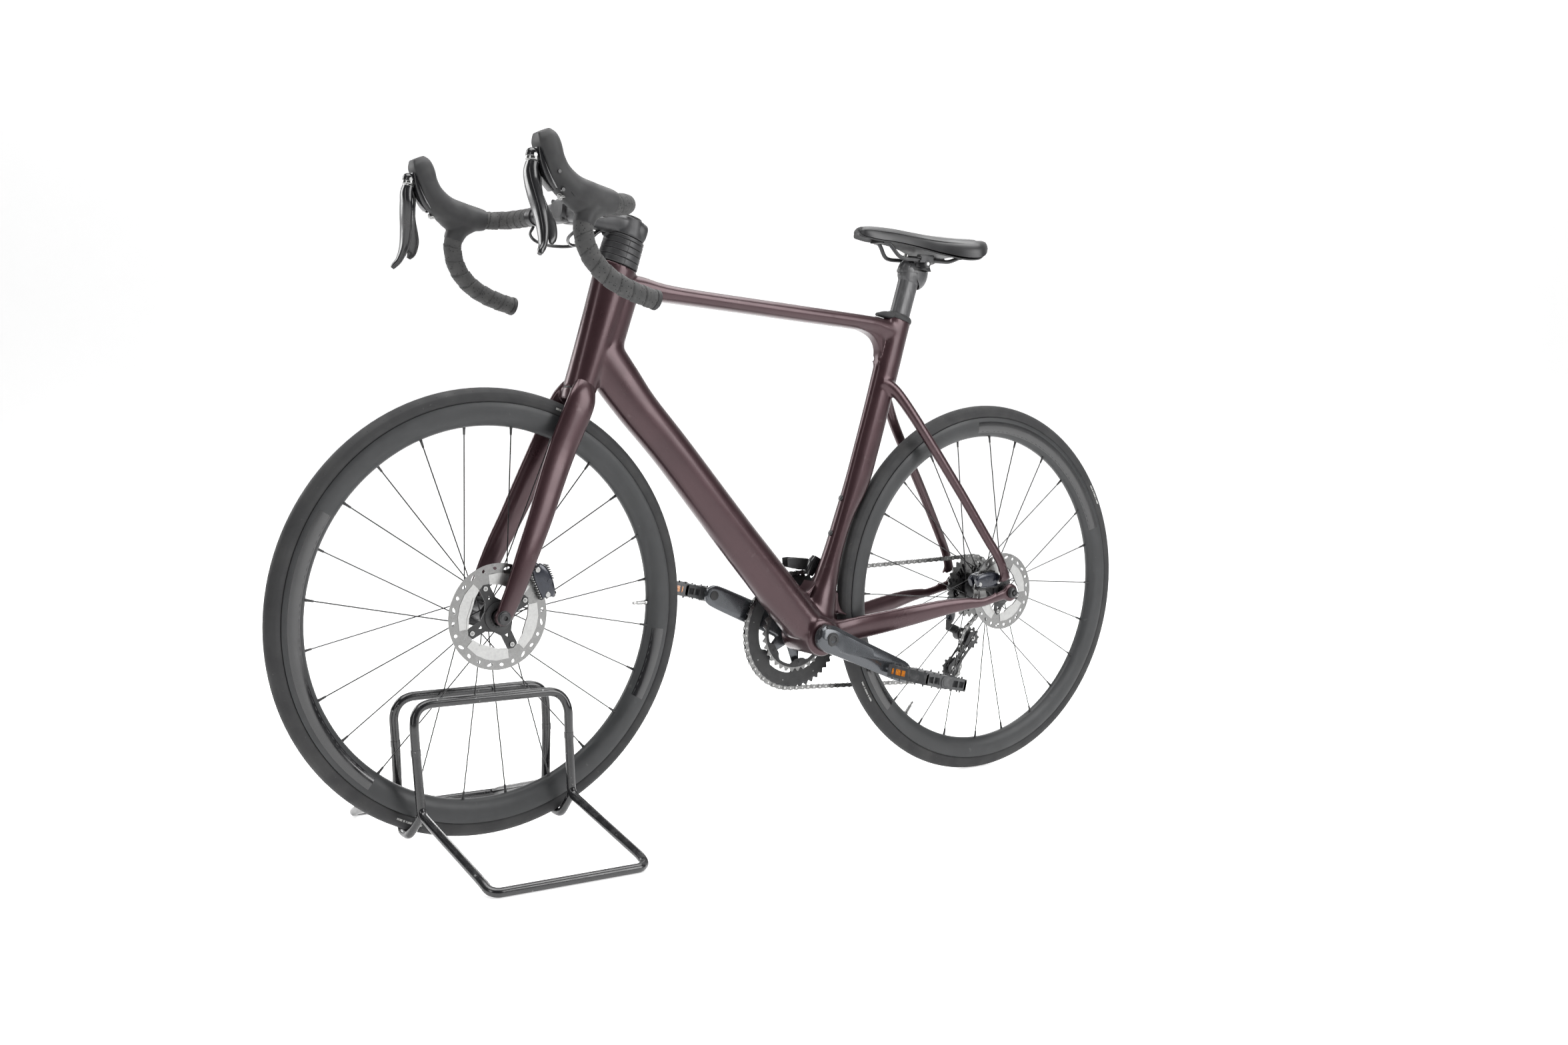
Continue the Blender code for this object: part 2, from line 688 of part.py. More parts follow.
def fork():
    """Steerer and crown in one piece, and a blade on each side of the wheel."""
    skirt = oval_tube(
        "crown",
        [
            (steer_at(HEAD_BOTTOM - 0.0180, 0.001), 0.0235, 0.0290),
            (steer_at(HEAD_BOTTOM - 0.0100, 0.0), 0.0245, 0.0275),
            (steer_at(HEAD_BOTTOM - 0.0004, 0.0), 0.0252, 0.0252),
        ],
        sides=16,
        power=1.0,
    )
    steerer = rod("steerer", steer_at(HEAD_BOTTOM - 0.004), steer_at(0.6280), 0.0143, sides=16)
    crown = union("fork_crown", [skirt, steerer])
    room_half = Y_AXIS * 0.0185
    wheel_room = rod("wheel_room", FRONT_HUB - room_half, FRONT_HUB + room_half, 0.3430, sides=64)
    crown = cut(crown, [wheel_room])
    crown.name = "fork_crown"
    for side, word in ((-1, "left"), (1, "right")):
        across = Y_AXIS * side
        eye = rod("eye", FRONT_HUB + across * 0.0503, FRONT_HUB + across * 0.0605, 0.0125, sides=18)
        blade = union("blade", [oval_tube("blade", side_stations(BLADE, side), sides=12), eye])
        hole = rod("hole", FRONT_HUB + across * 0.045, FRONT_HUB + across * 0.065, AXLE_BORE, sides=16)
        room = oval_tube(
            "crown_room",
            [
                (steer_at(HEAD_BOTTOM - 0.0183, 0.001), 0.0238, 0.0293),
                (steer_at(HEAD_BOTTOM - 0.0100, 0.0), 0.0248, 0.0278),
                (steer_at(HEAD_BOTTOM + 0.0060, 0.0), 0.0256, 0.0256),
            ],
            sides=16,
            power=1.0,
        )
        roof = block("roof", steer_at(HEAD_BOTTOM + 0.0296), (0.12, 0.12, 0.06), pitch=STEER_PITCH)
        blade = cut(blade, [room, roof, hole])
        blade.name = "fork_blade_" + word
    across_axle("front_axle", FRONT_HUB, (-0.0600, 0.0600), (-0.0655, -0.0616), (0.0080, 0.0095))


STEM_BOTTOM = 0.6020
STEM_TOP = 0.6320


def cockpit():
    low_end = steer_at(HEAD_TOP + 0.0004)
    high_end = steer_at(STEM_BOTTOM - 0.0004)
    spacers = ring("spacers", low_end, high_end, 0.0240, 0.0148, 20)
    spacers.name = "spacer_stack"

    stem_sections = [
        (steer_at(0.6165, -0.0230), 0.0150, 0.0170),
        (steer_at(0.6165, -0.0120), 0.0170, 0.0200),
        (steer_at(0.6165, 0.0120), 0.0165, 0.0200),
        (steer_at(0.6135, 0.0350), 0.0140, 0.0170),
        (steer_at(0.6060, 0.0750), 0.0140, 0.0165),
        (BAR_CENTRE + Vector((0.012, 0, 0.0)), 0.0185, 0.0215),
        (BAR_CENTRE + Vector((-0.010, 0, 0.002)), 0.0190, 0.0215),
        (BAR_CENTRE + Vector((-0.0200, 0, 0.003)), 0.0140, 0.0205),
    ]
    stem = oval_tube("stem", stem_sections, sides=12, power=0.8)
    collar = rod("collar", steer_at(STEM_BOTTOM), steer_at(STEM_TOP), 0.0215, sides=18)
    stem = union("stem", [stem, collar])
    low = block("low", steer_at(STEM_BOTTOM - 0.0201), (0.07, 0.07, 0.04), pitch=STEER_PITCH)
    steerer_bore = rod("bore", steer_at(STEM_BOTTOM - 0.01), steer_at(0.6290), 0.0149, sides=16)
    bar_half = Y_AXIS * 0.04
    bar_bore = rod("bar_bore", BAR_CENTRE - bar_half, BAR_CENTRE + bar_half, 0.0165, sides=16)
    stem = cut(stem, [low, steerer_bore, bar_bore])
    stem.name = "stem"

    half = [(0.0, TAPE_START - GAP), (0.0125, TAPE_START - GAP), (0.0128, 0.070), (0.0158, 0.045)]
    other = [(radius, -across) for radius, across in reversed(half)]
    turned("handlebar", half + other, 16, BAR_CENTRE)


def bar_route(side):
    """The taped run of the bar: along the top, round the bend, over the ramp and down the drop."""
    points = [
        (-0.376, TAPE_START, 0.958),
        (-0.376, 0.135, 0.958),
        (-0.3775, 0.165, 0.9575),
        (-0.386, 0.187, 0.9565),
        (-0.405, 0.2000, 0.9555),
        (-0.432, BAR_REACH_Y, 0.9530),
        (-0.4560, 0.2070, 0.9420),
        (-0.4665, 0.2095, 0.9180),
        (-0.4625, 0.2125, 0.8910),
        (-0.4500, 0.2155, 0.8690),
        (-0.4290, 0.2185, 0.8500),
        (-0.4030, 0.2205, 0.8365),
        (-0.3760, 0.2215, 0.8275),
        (-0.3520, 0.2220, 0.8215),
    ]
    return smooth_route([(x, y * side, z) for x, y, z in points], 2)


HOOD = [
    ((-0.4180, 0.2035, 0.9550), 0.0168, 0.0168),
    ((-0.4300, 0.2045, 0.9560), 0.0195, 0.0188),
    ((-0.4560, 0.2050, 0.9590), 0.0225, 0.0195),
    ((-0.4830, 0.2050, 0.9680), 0.0215, 0.0190),
    ((-0.5040, 0.2050, 0.9850), 0.0198, 0.0180),
    ((-0.5170, 0.2050, 1.0040), 0.0190, 0.0168),
    ((-0.5250, 0.2050, 1.0220), 0.0205, 0.0165),
    ((-0.5310, 0.2050, 1.0360), 0.0180, 0.0145),
    ((-0.5350, 0.2050, 1.0450), 0.0105, 0.0090),
]
LEVER_PIVOT = Vector((-0.5440, 0.2050, 1.0080))
BLADE_ROUTE = [
    ((-0.5460, 0.2060, 0.9900), 0.0085, 0.0070),
    ((-0.5440, 0.2085, 0.9750), 0.0105, 0.0068),
    ((-0.5420, 0.2150, 0.9550), 0.0110, 0.0062),
    ((-0.5390, 0.2240, 0.9280), 0.0090, 0.0055),
    ((-0.5400, 0.2330, 0.9020), 0.0070, 0.0050),
    ((-0.5450, 0.2400, 0.8840), 0.0052, 0.0048),
    ((-0.5530, 0.2455, 0.8725), 0.0040, 0.0042),
]
PADDLE_ROUTE = [
    ((-0.5240, 0.2115, 0.9490), 0.0040, 0.0022),
    ((-0.5210, 0.2150, 0.9400), 0.0062, 0.0022),
    ((-0.5200, 0.2230, 0.9180), 0.0080, 0.0022),
    ((-0.5240, 0.2320, 0.8950), 0.0062, 0.0022),
]


def controls():
    for side, word in ((-1, "left"), (1, "right")):
        pipe("bar_tape_" + word, bar_route(side), TAPE_RADIUS)
        hood = oval_tube("hood", side_stations(HOOD, side), sides=14)
        room = pipe("room", bar_route(side), TAPE_RADIUS + 0.0006)
        pivot = Vector((LEVER_PIVOT.x, LEVER_PIVOT.y * side, LEVER_PIVOT.z))
        slot = rod("slot", pivot - Y_AXIS * 0.0105, pivot + Y_AXIS * 0.0105, 0.0120, sides=18)
        hood = cut(hood, [room, slot])
        hood.name = "hood_" + word

        cap = rod("lever_pivot", pivot - Y_AXIS * 0.0095, pivot + Y_AXIS * 0.0095, 0.0095, sides=16)
        neck = block("neck", pivot + Vector((-0.002, 0, -0.0085)), (0.010, 0.012, 0.012))
        union("lever_pivot_" + word, [cap, neck])

        blade = oval_tube("lever", side_stations(BLADE_ROUTE, side), sides=10)
        blade.name = "brake_lever_" + word
        paddle = oval_tube("paddle", side_stations(PADDLE_ROUTE, side), sides=8)
        paddle.name = "shift_paddle_" + word


def hoses():
    """The brake hoses: out of each tape's inner end, in a loop below the bar, to one port."""
    port = steer_at(0.5980, 0.0290)
    runs = []
    for side in (-1, 1):
        route = [
            (-0.3870, side * 0.0900, 0.9400),
            (-0.4000, side * 0.0740, 0.9270),
            (-0.4020, side * 0.0500, 0.9150),
            (-0.3850, side * 0.0270, 0.9080),
            (-0.3550, side * 0.0120, 0.9110),
            tuple(port + Vector((-0.012, side * 0.0020, -0.002))),
            tuple(port + Vector((0.0, side * 0.0012, 0.0))),
        ]
        runs.append(pipe("hose", smooth_route(route, 2), 0.0025, resolution=2))
    union("brake_hoses", runs)


# ---------------------------------------------------------------- drivetrain
def pitch_radius(teeth):
    return teeth * CHAIN_PITCH / (2 * math.pi)


def pointed(teeth):
    """The outline of a sprocket: one point per tooth and one per gap."""
    outline = []
    step = math.pi / teeth
    base = pitch_radius(teeth)
    for k in range(2 * teeth):
        radius = base + (0.0020 if k % 2 else -0.0036)
        outline.append((radius * math.cos(step * k), radius * math.sin(step * k)))
    return outline


TOOTHED_COGS = 1


def cassette():
    """The largest cog has teeth; the smaller ones are a stepped turning outside it."""
    first = FIRST_COG_Y + COG_SPACING * (TOOTHED_COGS - 0.5)
    last = FIRST_COG_Y + COG_SPACING * (len(COGS) - 0.5)
    start = FIRST_COG_Y - 0.0012
    bore = 0.0151
    profile = [(bore, last)]
    for k in reversed(range(TOOTHED_COGS, len(COGS))):
        radius = pitch_radius(COGS[k])
        profile.append((radius, FIRST_COG_Y + COG_SPACING * (k + 0.5)))
        profile.append((radius, FIRST_COG_Y + COG_SPACING * (k - 0.5)))
    profile += [(0.0400, first), (0.0360, start), (bore, start)]
    body = turned("cassette", profile, 18, Vector((REAR_HUB.x, 0, REAR_HUB.z)))
    for k, teeth in enumerate(COGS[:TOOTHED_COGS]):
        across = FIRST_COG_Y + COG_SPACING * k
        hole = circle(0.0345, 18)
        place = side_plane(REAR_HUB.x, across, REAR_HUB.z)
        cog = plate("cog", [pointed(teeth), hole], 0.0017, place)
        body = combine(body, cog, "UNION")
    body.name = "cassette"


def crank_point(side, radius, across):
    """A point on the crank's own line; the left arm (side -1) points back and down."""
    angle = -CRANK_DROP if side < 0 else math.pi - CRANK_DROP
    return BRACKET + Vector((radius * math.cos(angle), across, radius * math.sin(angle)))


def crank_arm(side):
    rings = []
    for radius, depth, across, thick in (
        (-0.0235, 0.0100, 0.0560, 0.0080),
        (-0.0160, 0.0192, 0.0560, 0.0100),
        (0.0000, 0.0238, 0.0570, 0.0110),
        (0.0280, 0.0226, 0.0590, 0.0095),
        (0.0800, 0.0210, 0.0630, 0.0080),
        (0.1400, 0.0200, 0.0660, 0.0070),
        (CRANK_LENGTH, 0.0185, 0.0668, 0.0062),
        (CRANK_LENGTH + 0.0100, 0.0150, 0.0668, 0.0060),
        (CRANK_LENGTH + 0.0165, 0.0070, 0.0668, 0.0050),
    ):
        rings.append((crank_point(side, radius, side * across), depth, thick))
    return oval_tube("arm", rings, sides=12, power=0.8)


def pedal_spindle(side):
    start = crank_point(side, CRANK_LENGTH, side * 0.066)
    end = crank_point(side, CRANK_LENGTH, side * 0.171)
    return rod("spindle", start, end, 0.0060, sides=12)


SPIDER_ANGLES = [math.pi - CRANK_DROP + math.radians(a) for a in (58, 122, 238, 302)]


def cranks():
    left = union("crank_arm_left", [crank_arm(-1), pedal_spindle(-1)])
    socket = rod("socket", BRACKET - Y_AXIS * 0.040, BRACKET - Y_AXIS * 0.0745, 0.01260, sides=16)
    left = cut(left, [socket])
    left.name = "crank_arm_left"

    axle = rod("axle", BRACKET - Y_AXIS * 0.0680, BRACKET + Y_AXIS * 0.0600, 0.0120, sides=16)
    pieces = [crank_arm(1), axle, pedal_spindle(1)]
    reach = 0.0560
    for angle in SPIDER_ANGLES:
        tip = BRACKET + Vector((reach * math.cos(angle), 0.0510, reach * math.sin(angle)))
        root = BRACKET + Vector((0.010 * math.cos(angle), 0.0540, 0.010 * math.sin(angle)))
        pieces.append(oval_tube("spider_arm", [(root, 0.0140, 0.0050), (tip, 0.0080, 0.0018)], sides=8))
        boss_in = Vector((tip.x, SMALL_RING_Y + 0.0016, tip.z))
        boss_out = Vector((tip.x, 0.0545, tip.z))
        pieces.append(rod("boss", boss_in, boss_out, 0.0058, sides=8))
    union("crank_arm_right", pieces)


def chainrings():
    for name, teeth, across, thick, inner in (
        ("chainring_big", BIG_TEETH, BIG_RING_Y, 0.0022, 0.0655),
        ("chainring_small", SMALL_TEETH, SMALL_RING_Y, 0.0020, 0.0480),
    ):
        outline = pointed(teeth)
        hole = circle(inner, 32)
        if name == "chainring_big":
            hole = []
            for k in range(32):
                angle = 2 * math.pi * k / 32
                near = min(abs(math.remainder(angle - a, 2 * math.pi)) for a in SPIDER_ANGLES)
                radius = 0.0645 if near < math.radians(9) else inner + 0.008
                hole.append((radius * math.cos(angle), radius * math.sin(angle)))
        disc = plate(name, [outline, hole], thick, side_plane(BRACKET.x, across, BRACKET.z))
        disc.name = name


def tangent(first, second):
    """Where the chain leaves one wheel and meets the next; each is (x, z, radius, turn)."""
    x1, z1, r1, turn1 = first
    x2, z2, r2, turn2 = second
    gap = Vector((x2 - x1, z2 - z1))
    length = gap.length
    unit = gap / length
    side = Vector((-unit.y, unit.x))
    share = (turn2 * r2 - turn1 * r1) / length
    normal = unit * share + side * math.sqrt(1 - share * share)
    leave = Vector((x1, z1)) - normal * (turn1 * r1)
    meet = Vector((x2, z2)) - normal * (turn2 * r2)
    return leave, meet


GUIDE_PATH = PULLEY_TIP + 0.0047
TENSION_PATH = 0.0222


def chain_route():
    """The chain's closed centre line with the way that its open side faces."""
    stops = [
        (BRACKET.x, BRACKET.z, pitch_radius(BIG_TEETH), -1, BIG_RING_Y, 8),
        (REAR_HUB.x, REAR_HUB.z, pitch_radius(COGS[0]), -1, FIRST_COG_Y, 11),
        (GUIDE_PULLEY.x, GUIDE_PULLEY.z, GUIDE_PATH, 1, FIRST_COG_Y, 18),
        (TENSION_PULLEY.x, TENSION_PULLEY.z, TENSION_PATH, -1, FIRST_COG_Y, 18),
    ]
    runs = [tangent(stops[i][:4], stops[(i + 1) % 4][:4]) for i in range(4)]
    route = []
    for i, (x, z, radius, turn, across, step) in enumerate(stops):
        arrive = runs[i - 1][1] - Vector((x, z))
        leave = runs[i][0] - Vector((x, z))
        first = math.atan2(arrive.y, arrive.x)
        last = math.atan2(leave.y, leave.x)
        sweep = (last - first) * turn % (2 * math.pi)
        count = max(2, math.ceil(math.degrees(sweep) / step))
        for k in range(count + 1):
            angle = first + turn * sweep * k / count
            out = Vector((math.cos(angle), 0, math.sin(angle)))
            place = Vector((x, across, z)) + out * radius
            route.append((place, out * (-turn)))
        meet = runs[i][1]
        away = stops[(i + 1) % 4][4]
        if abs(away - across) > GAP:
            start = route[-1][0]
            end = Vector((meet.x, away, meet.y))
            for share in (0.12, 0.88):
                step_y = across if share < 0.5 else away
                place = start.lerp(end, share)
                route.append((Vector((place.x, step_y, place.z)), route[-1][1]))
    return route


def chain():
    """The chain as one channel that straddles the teeth, open on the side of the chainring."""
    outer = 0.0027
    inner = 0.0016
    lift = 0.0042
    web = 0.0030
    shape = [(-outer, lift), (-outer, -lift), (-inner, -lift), (-inner, web)]
    shape += [(inner, web), (inner, -lift), (outer, -lift), (outer, lift)]
    builder = bmesh.new()
    rows = []
    for place, out in chain_route():
        rows.append([builder.verts.new(place + Y_AXIS * a + out * b) for a, b in shape])
    for i, row in enumerate(rows):
        following = rows[(i + 1) % len(rows)]
        for k in range(len(shape)):
            j = (k + 1) % len(shape)
            builder.faces.new((row[k], row[j], following[j], following[k]))
    object_from("chain", builder)


def pedal(side, word):
    """A flat platform: a cage around the barrel, with two open pockets."""
    centre = crank_point(side, CRANK_LENGTH, side * PEDAL_Y)
    length = 0.094
    width = 0.100
    body = block("pedal", (0, 0, 0), (length, width, 0.0215))
    body = bevelled(body, 0.006, 2)
    pockets = []
    for end in (-1, 1):
        pockets.append(block("pocket", (end * 0.0255, 0, 0), (0.024, width - 0.024, 0.05)))
    body = cut(body, pockets)
    barrel = rod("barrel", (0, -0.0512, 0), (0, 0.0512, 0), 0.0120, sides=16)
    body = union("pedal", [body, barrel])
    body = cut(body, [rod("bore", (0, -0.0600, 0), (0, 0.0600, 0), 0.0064, sides=16)])
    body.data.transform(Matrix.Translation(centre) @ Matrix.Rotation(PEDAL_PITCH, 4, "Y"))
    body.name = "pedal_" + word


def rear_changer():
    """The knuckle on the hanger, the link, the body, and the cage with its two pulleys."""
    eye = REAR_HUB + Vector((0.006, 0.0792, -0.034))
    shoulder = rod("shoulder", eye, eye + Y_AXIS * 0.0100, 0.0100, sides=14)
    post = rod("post", SHIFT_PIVOT - UP * 0.0100, SHIFT_PIVOT + UP * 0.0100, 0.0055, sides=12)
    middle = (eye + SHIFT_PIVOT) / 2 + Y_AXIS * 0.0040
    reach = block("reach", middle, (0.012, 0.0080, 0.0160))
    union("rd_knuckle", [shoulder, reach, post])

    link = oval_tube(
        "rd_link",
        [
            (SHIFT_PIVOT.lerp(CAGE_MOUNT, t) + UP * lift, depth, 0.0050)
            for t, lift, depth in ((0.22, -0.0010, 0.0080), (0.50, 0.0, 0.0120), (0.76, 0.0010, 0.0080))
        ],
        sides=8,
    )
    link.name = "rd_link"

    mount = rod("mount", CAGE_MOUNT - UP * 0.0100, CAGE_MOUNT + UP * 0.0100, 0.0055, sides=12)
    barrel_start = Vector((CAGE_PIVOT.x, CAGE_PIVOT.y + 0.0120, CAGE_PIVOT.z))
    barrel_end = Vector((CAGE_PIVOT.x, CAGE_PIVOT.y + 0.0290, CAGE_PIVOT.z))
    barrel = rod("barrel", barrel_start, barrel_end, 0.0120, sides=14)
    arm_from = Vector((CAGE_PIVOT.x, CAGE_MOUNT.y, CAGE_PIVOT.z + 0.004))
    arm_to = CAGE_MOUNT - UP * 0.004
    arm = oval_tube("arm", [(arm_from, 0.0075, 0.0055), (arm_to, 0.0075, 0.0050)], sides=8)
    union("rd_body", [barrel, arm, mount])

    span = TENSION_PULLEY - GUIDE_PULLEY
    cage_depths = ((-0.17, 0.0050), (0.0, 0.0120), (0.45, 0.0085), (1.0, 0.0120), (1.17, 0.0050))
    plates = []
    for offset in (-0.0062, 0.0078):
        stations = [
            (GUIDE_PULLEY + span * share + Y_AXIS * offset, depth, 0.0009)
            for share, depth in cage_depths
        ]
        plates.append(oval_tube("cage_plate", stations, sides=8))
    for centre in (GUIDE_PULLEY, TENSION_PULLEY):
        bolt_in = centre - Y_AXIS * 0.0066
        bolt_out = centre + Y_AXIS * 0.0082
        plates.append(rod("pulley_bolt", bolt_in, bolt_out, 0.0030, sides=10))
    pivot_in = CAGE_PIVOT + Y_AXIS * 0.0076
    pivot_out = CAGE_PIVOT + Y_AXIS * 0.0116
    plates.append(rod("cage_pivot", pivot_in, pivot_out, 0.0090, sides=14))
    union("rd_cage", plates)

    for name, centre in (("guide_pulley", GUIDE_PULLEY), ("tension_pulley", TENSION_PULLEY)):
        outline = []
        for k in range(22):
            radius = PULLEY_TIP if k % 2 else PULLEY_TIP - 0.0045
            angle = math.pi * k / 11
            outline.append((radius * math.cos(angle), radius * math.sin(angle)))
        plate(name, [outline, circle(0.0034, 12)], 0.0024, side_plane(*centre))


def front_changer():
    """The body on the seat tube, and the cage that straddles the chain above the big ring."""
    body = block("fd_body", (0.1290, 0.0220, 0.3960), (0.022, 0.014, 0.034), pitch=-0.25)
    body = bevelled(body, 0.003)
    body = cut(body, [seat_tube_skin(GAP)])
    body.name = "fd_body"
    rise = BRACKET + UP * 0.1170
    middle = BIG_RING_Y - 0.0005
    pieces = []
    for centre, size in (
        ((0.012, BIG_RING_Y - 0.0085, 0.0), (0.070, 0.0014, 0.020)),
        ((0.012, BIG_RING_Y + 0.0075, 0.0), (0.070, 0.0014, 0.020)),
        ((0.040, middle, 0.0060), (0.006, 0.0170, 0.005)),
        ((0.000, middle, 0.0100), (0.010, 0.0170, 0.002)),
    ):
        pieces.append(block("cage_side", rise + Vector(centre), size, pitch=0.10))
    union("fd_cage", pieces)


def rotor_slot(hub, across, radius):
    """Room for a rotor, with 2 mm to each side of its middle."""
    start = hub + Y_AXIS * (across - 0.0020)
    return rod("slot", start, start + Y_AXIS * 0.0040, radius, sides=40)


def callipers():
    """Flat-mount brake callipers: one behind the left blade, one on the left chainstay."""
    place = (-0.4365, FRONT_ROTOR_Y, 0.4030)
    front = block("front_caliper", place, (0.030, 0.0260, 0.052), pitch=-0.43)
    front = bevelled(front, 0.004)
    slot = rotor_slot(FRONT_HUB, FRONT_ROTOR_Y, 0.0830)
    blade_room = oval_tube("room", side_stations(BLADE, -1), sides=12, grow=GAP)
    front = cut(front, [slot, blade_room])
    front.name = "front_caliper"

    place = (0.4620, REAR_ROTOR_Y, 0.3600)
    rear = block("rear_caliper", place, (0.058, 0.0270, 0.030), pitch=-0.05)
    rear = bevelled(rear, 0.004)
    slot = rotor_slot(REAR_HUB, REAR_ROTOR_Y, 0.0730)
    rooms = [
        oval_tube("room", side_stations(CHAINSTAY, -1), sides=10, grow=GAP),
        oval_tube("room", side_stations(SEATSTAY, -1), sides=10, grow=GAP),
        rod("hub_room", REAR_HUB - Y_AXIS * 0.072, REAR_HUB, 0.0270, sides=24),
    ]
    rear = cut(rear, [slot] + rooms)
    rear.name = "rear_caliper"


# ---------------------------------------------------------------- seat
SADDLE = [
    # along X, half width, top, depth of the edge below the top
    (0.1830, 0.0080, 0.9680, 0.0100),
    (0.1930, 0.0170, 0.9730, 0.0160),
    (0.2200, 0.0200, 0.9780, 0.0200),
    (0.2600, 0.0220, 0.9795, 0.0220),
    (0.3000, 0.0300, 0.9780, 0.0260),
    (0.3400, 0.0470, 0.9755, 0.0310),
    (0.3800, 0.0650, 0.9755, 0.0350),
    (0.4150, 0.0710, 0.9775, 0.0330),
    (0.4400, 0.0620, 0.9790, 0.0240),
    (0.4530, 0.0400, 0.9780, 0.0140),
]
RAIL_Y = 0.0220
RAIL_HEIGHT = 0.9290


def saddle():
    """The padded shell: a rounded top that rolls over to a thin skirt, and a flat underside."""
    rings = []
    for x, half, top, drop in SADDLE:
        points = []
        for k in range(13):
            share = -1 + k / 6
            sag = drop * abs(share) ** 2.6
            points.append(Vector((x, half * math.sin(share * math.pi / 2), top - sag)))
        for k in range(1, 6):
            share = 1 - k / 3
            height = top - drop + 0.006 * (1 - abs(share) ** 2)
            points.append(Vector((x, half * 0.86 * share, height - 0.0004)))
        rings.append(points)
    loft("saddle", rings)

    rails = []
    for side in (-1, 1):
        route = [
            (0.2350, side * 0.0120, 0.9560),
            (0.2480, side * 0.0140, 0.9520),
            (0.2640, side * 0.0190, 0.9340),
            (0.2800, side * 0.0215, RAIL_HEIGHT),
            (0.3000, side * RAIL_Y, RAIL_HEIGHT),
            (0.3600, side * RAIL_Y, RAIL_HEIGHT),
            (0.3780, side * 0.0235, 0.9300),
            (0.3950, side * 0.0290, 0.9370),
            (0.4030, side * 0.0320, 0.9405),
        ]
        rails.append(pipe("rail", smooth_route(route, 1), 0.0036, resolution=2))
    bridge_end = Vector((0.2370, 0.0130, 0.9555))
    rails.append(rod("nose_bridge", mirrored(bridge_end), bridge_end, 0.0034, sides=8))
    union("saddle_rails", rails)


def seatpost():
    head = seat_at(0.665)
    post = oval_tube(
        "seatpost",
        [
            (seat_at(POST_BOTTOM), POST_DEPTH, POST_WIDTH),
            (seat_at(0.630), POST_DEPTH, POST_WIDTH),
            (seat_at(0.648), 0.0240, 0.0135),
            (seat_at(0.657) + Vector((0.004, 0, 0)), 0.0330, 0.0150),
        ],
    )
    cradle = block("cradle", head + Vector((0.010, 0, 0.0080)), (0.050, 0.0320, 0.018))
    cradle = bevelled(cradle, 0.003)
    clamp = block("clamp", head + Vector((0.012, 0, 0.0160)), (0.036, 0.0560, 0.0150))
    clamp = bevelled(clamp, 0.002)
    pieces = [post, cradle, clamp]
    for low, high in (((0.036, 0.0), (0.028, 0.0250)), ((-0.020, -0.0040), (-0.014, 0.0230))):
        start = head + Vector((low[0], 0, low[1]))
        end = head + Vector((high[0], 0, high[1]))
        pieces.append(rod("bolt", start, end, 0.0045, sides=10))
    post = union("seatpost", pieces)
    rails = []
    for side in (-1, 1):
        start = Vector((0.27, side * RAIL_Y, RAIL_HEIGHT))
        rails.append(rod("rail_room", start, start + Vector((0.11, 0, 0)), 0.0041, sides=12))
    post = cut(post, rails)
    post.name = "seatpost"


# ---------------------------------------------------------------- stand
def stand():
    """Two closed loops of bent tube, one on each side, joined by two cradles under the tyre."""
    tube = STAND_TUBE
    loops = {}
    for side, word in ((-1, "left"), (1, "right")):
        gap = STAND_HALF_GAP * side
        top = STAND_TOP_GAP * side
        foot = STAND_FOOT_Y * side
        corners = [
            (-0.6250, gap, 0.0700),
            (-0.6320, gap + (top - gap) * 0.56, 0.1600),
            (-0.6355, top * 1.15, 0.2020),
            (-0.6325, top * 1.05, 0.2170),
            (-0.6235, top, 0.2270),
            (-0.6105, top, 0.2310),
            (-0.4110, top, 0.2310),
            (-0.3980, top, 0.2270),
            (-0.3880, top * 1.05, 0.2170),
            (-0.3830, top * 1.15, 0.2020),
            (-0.3810, gap + (top - gap) * 0.56, 0.1600),
            (-0.3780, gap, 0.0700),
            (-0.3645, foot * 0.90, 0.0160),
            (-0.3660, foot * 0.965, 0.0090),
            (-0.3790, foot, tube),
            (-0.3890, foot, tube),
            (-0.5960, foot, tube),
            (-0.6060, foot, tube),
            (-0.6150, foot * 0.965, 0.0090),
            (-0.6165, foot * 0.90, 0.0160),
        ]
        loops[word] = pipe("stand_" + word, [Vector(p) for p in corners], tube, closed=True)

    whole = [loops["left"]]
    for x_top, x_low in ((-0.6250, -0.6305), (-0.3780, -0.3795)):
        inner = STAND_HALF_GAP - tube - 0.0016
        bend = (x_top + x_low) / 2
        route = [
            (x_top, -STAND_HALF_GAP, 0.0700),
            (bend, -0.0280, 0.0520),
            (x_low, -0.0140, 0.0365),
            (x_low, 0.0, CRADLE_LOW),
            (x_low, 0.0140, 0.0365),
            (bend, 0.0260, 0.0520),
            (x_top, inner, 0.0640),
        ]
        whole.append(pipe("cradle", smooth_route(route, 2), tube * 0.9))
    union("stand_left", whole)


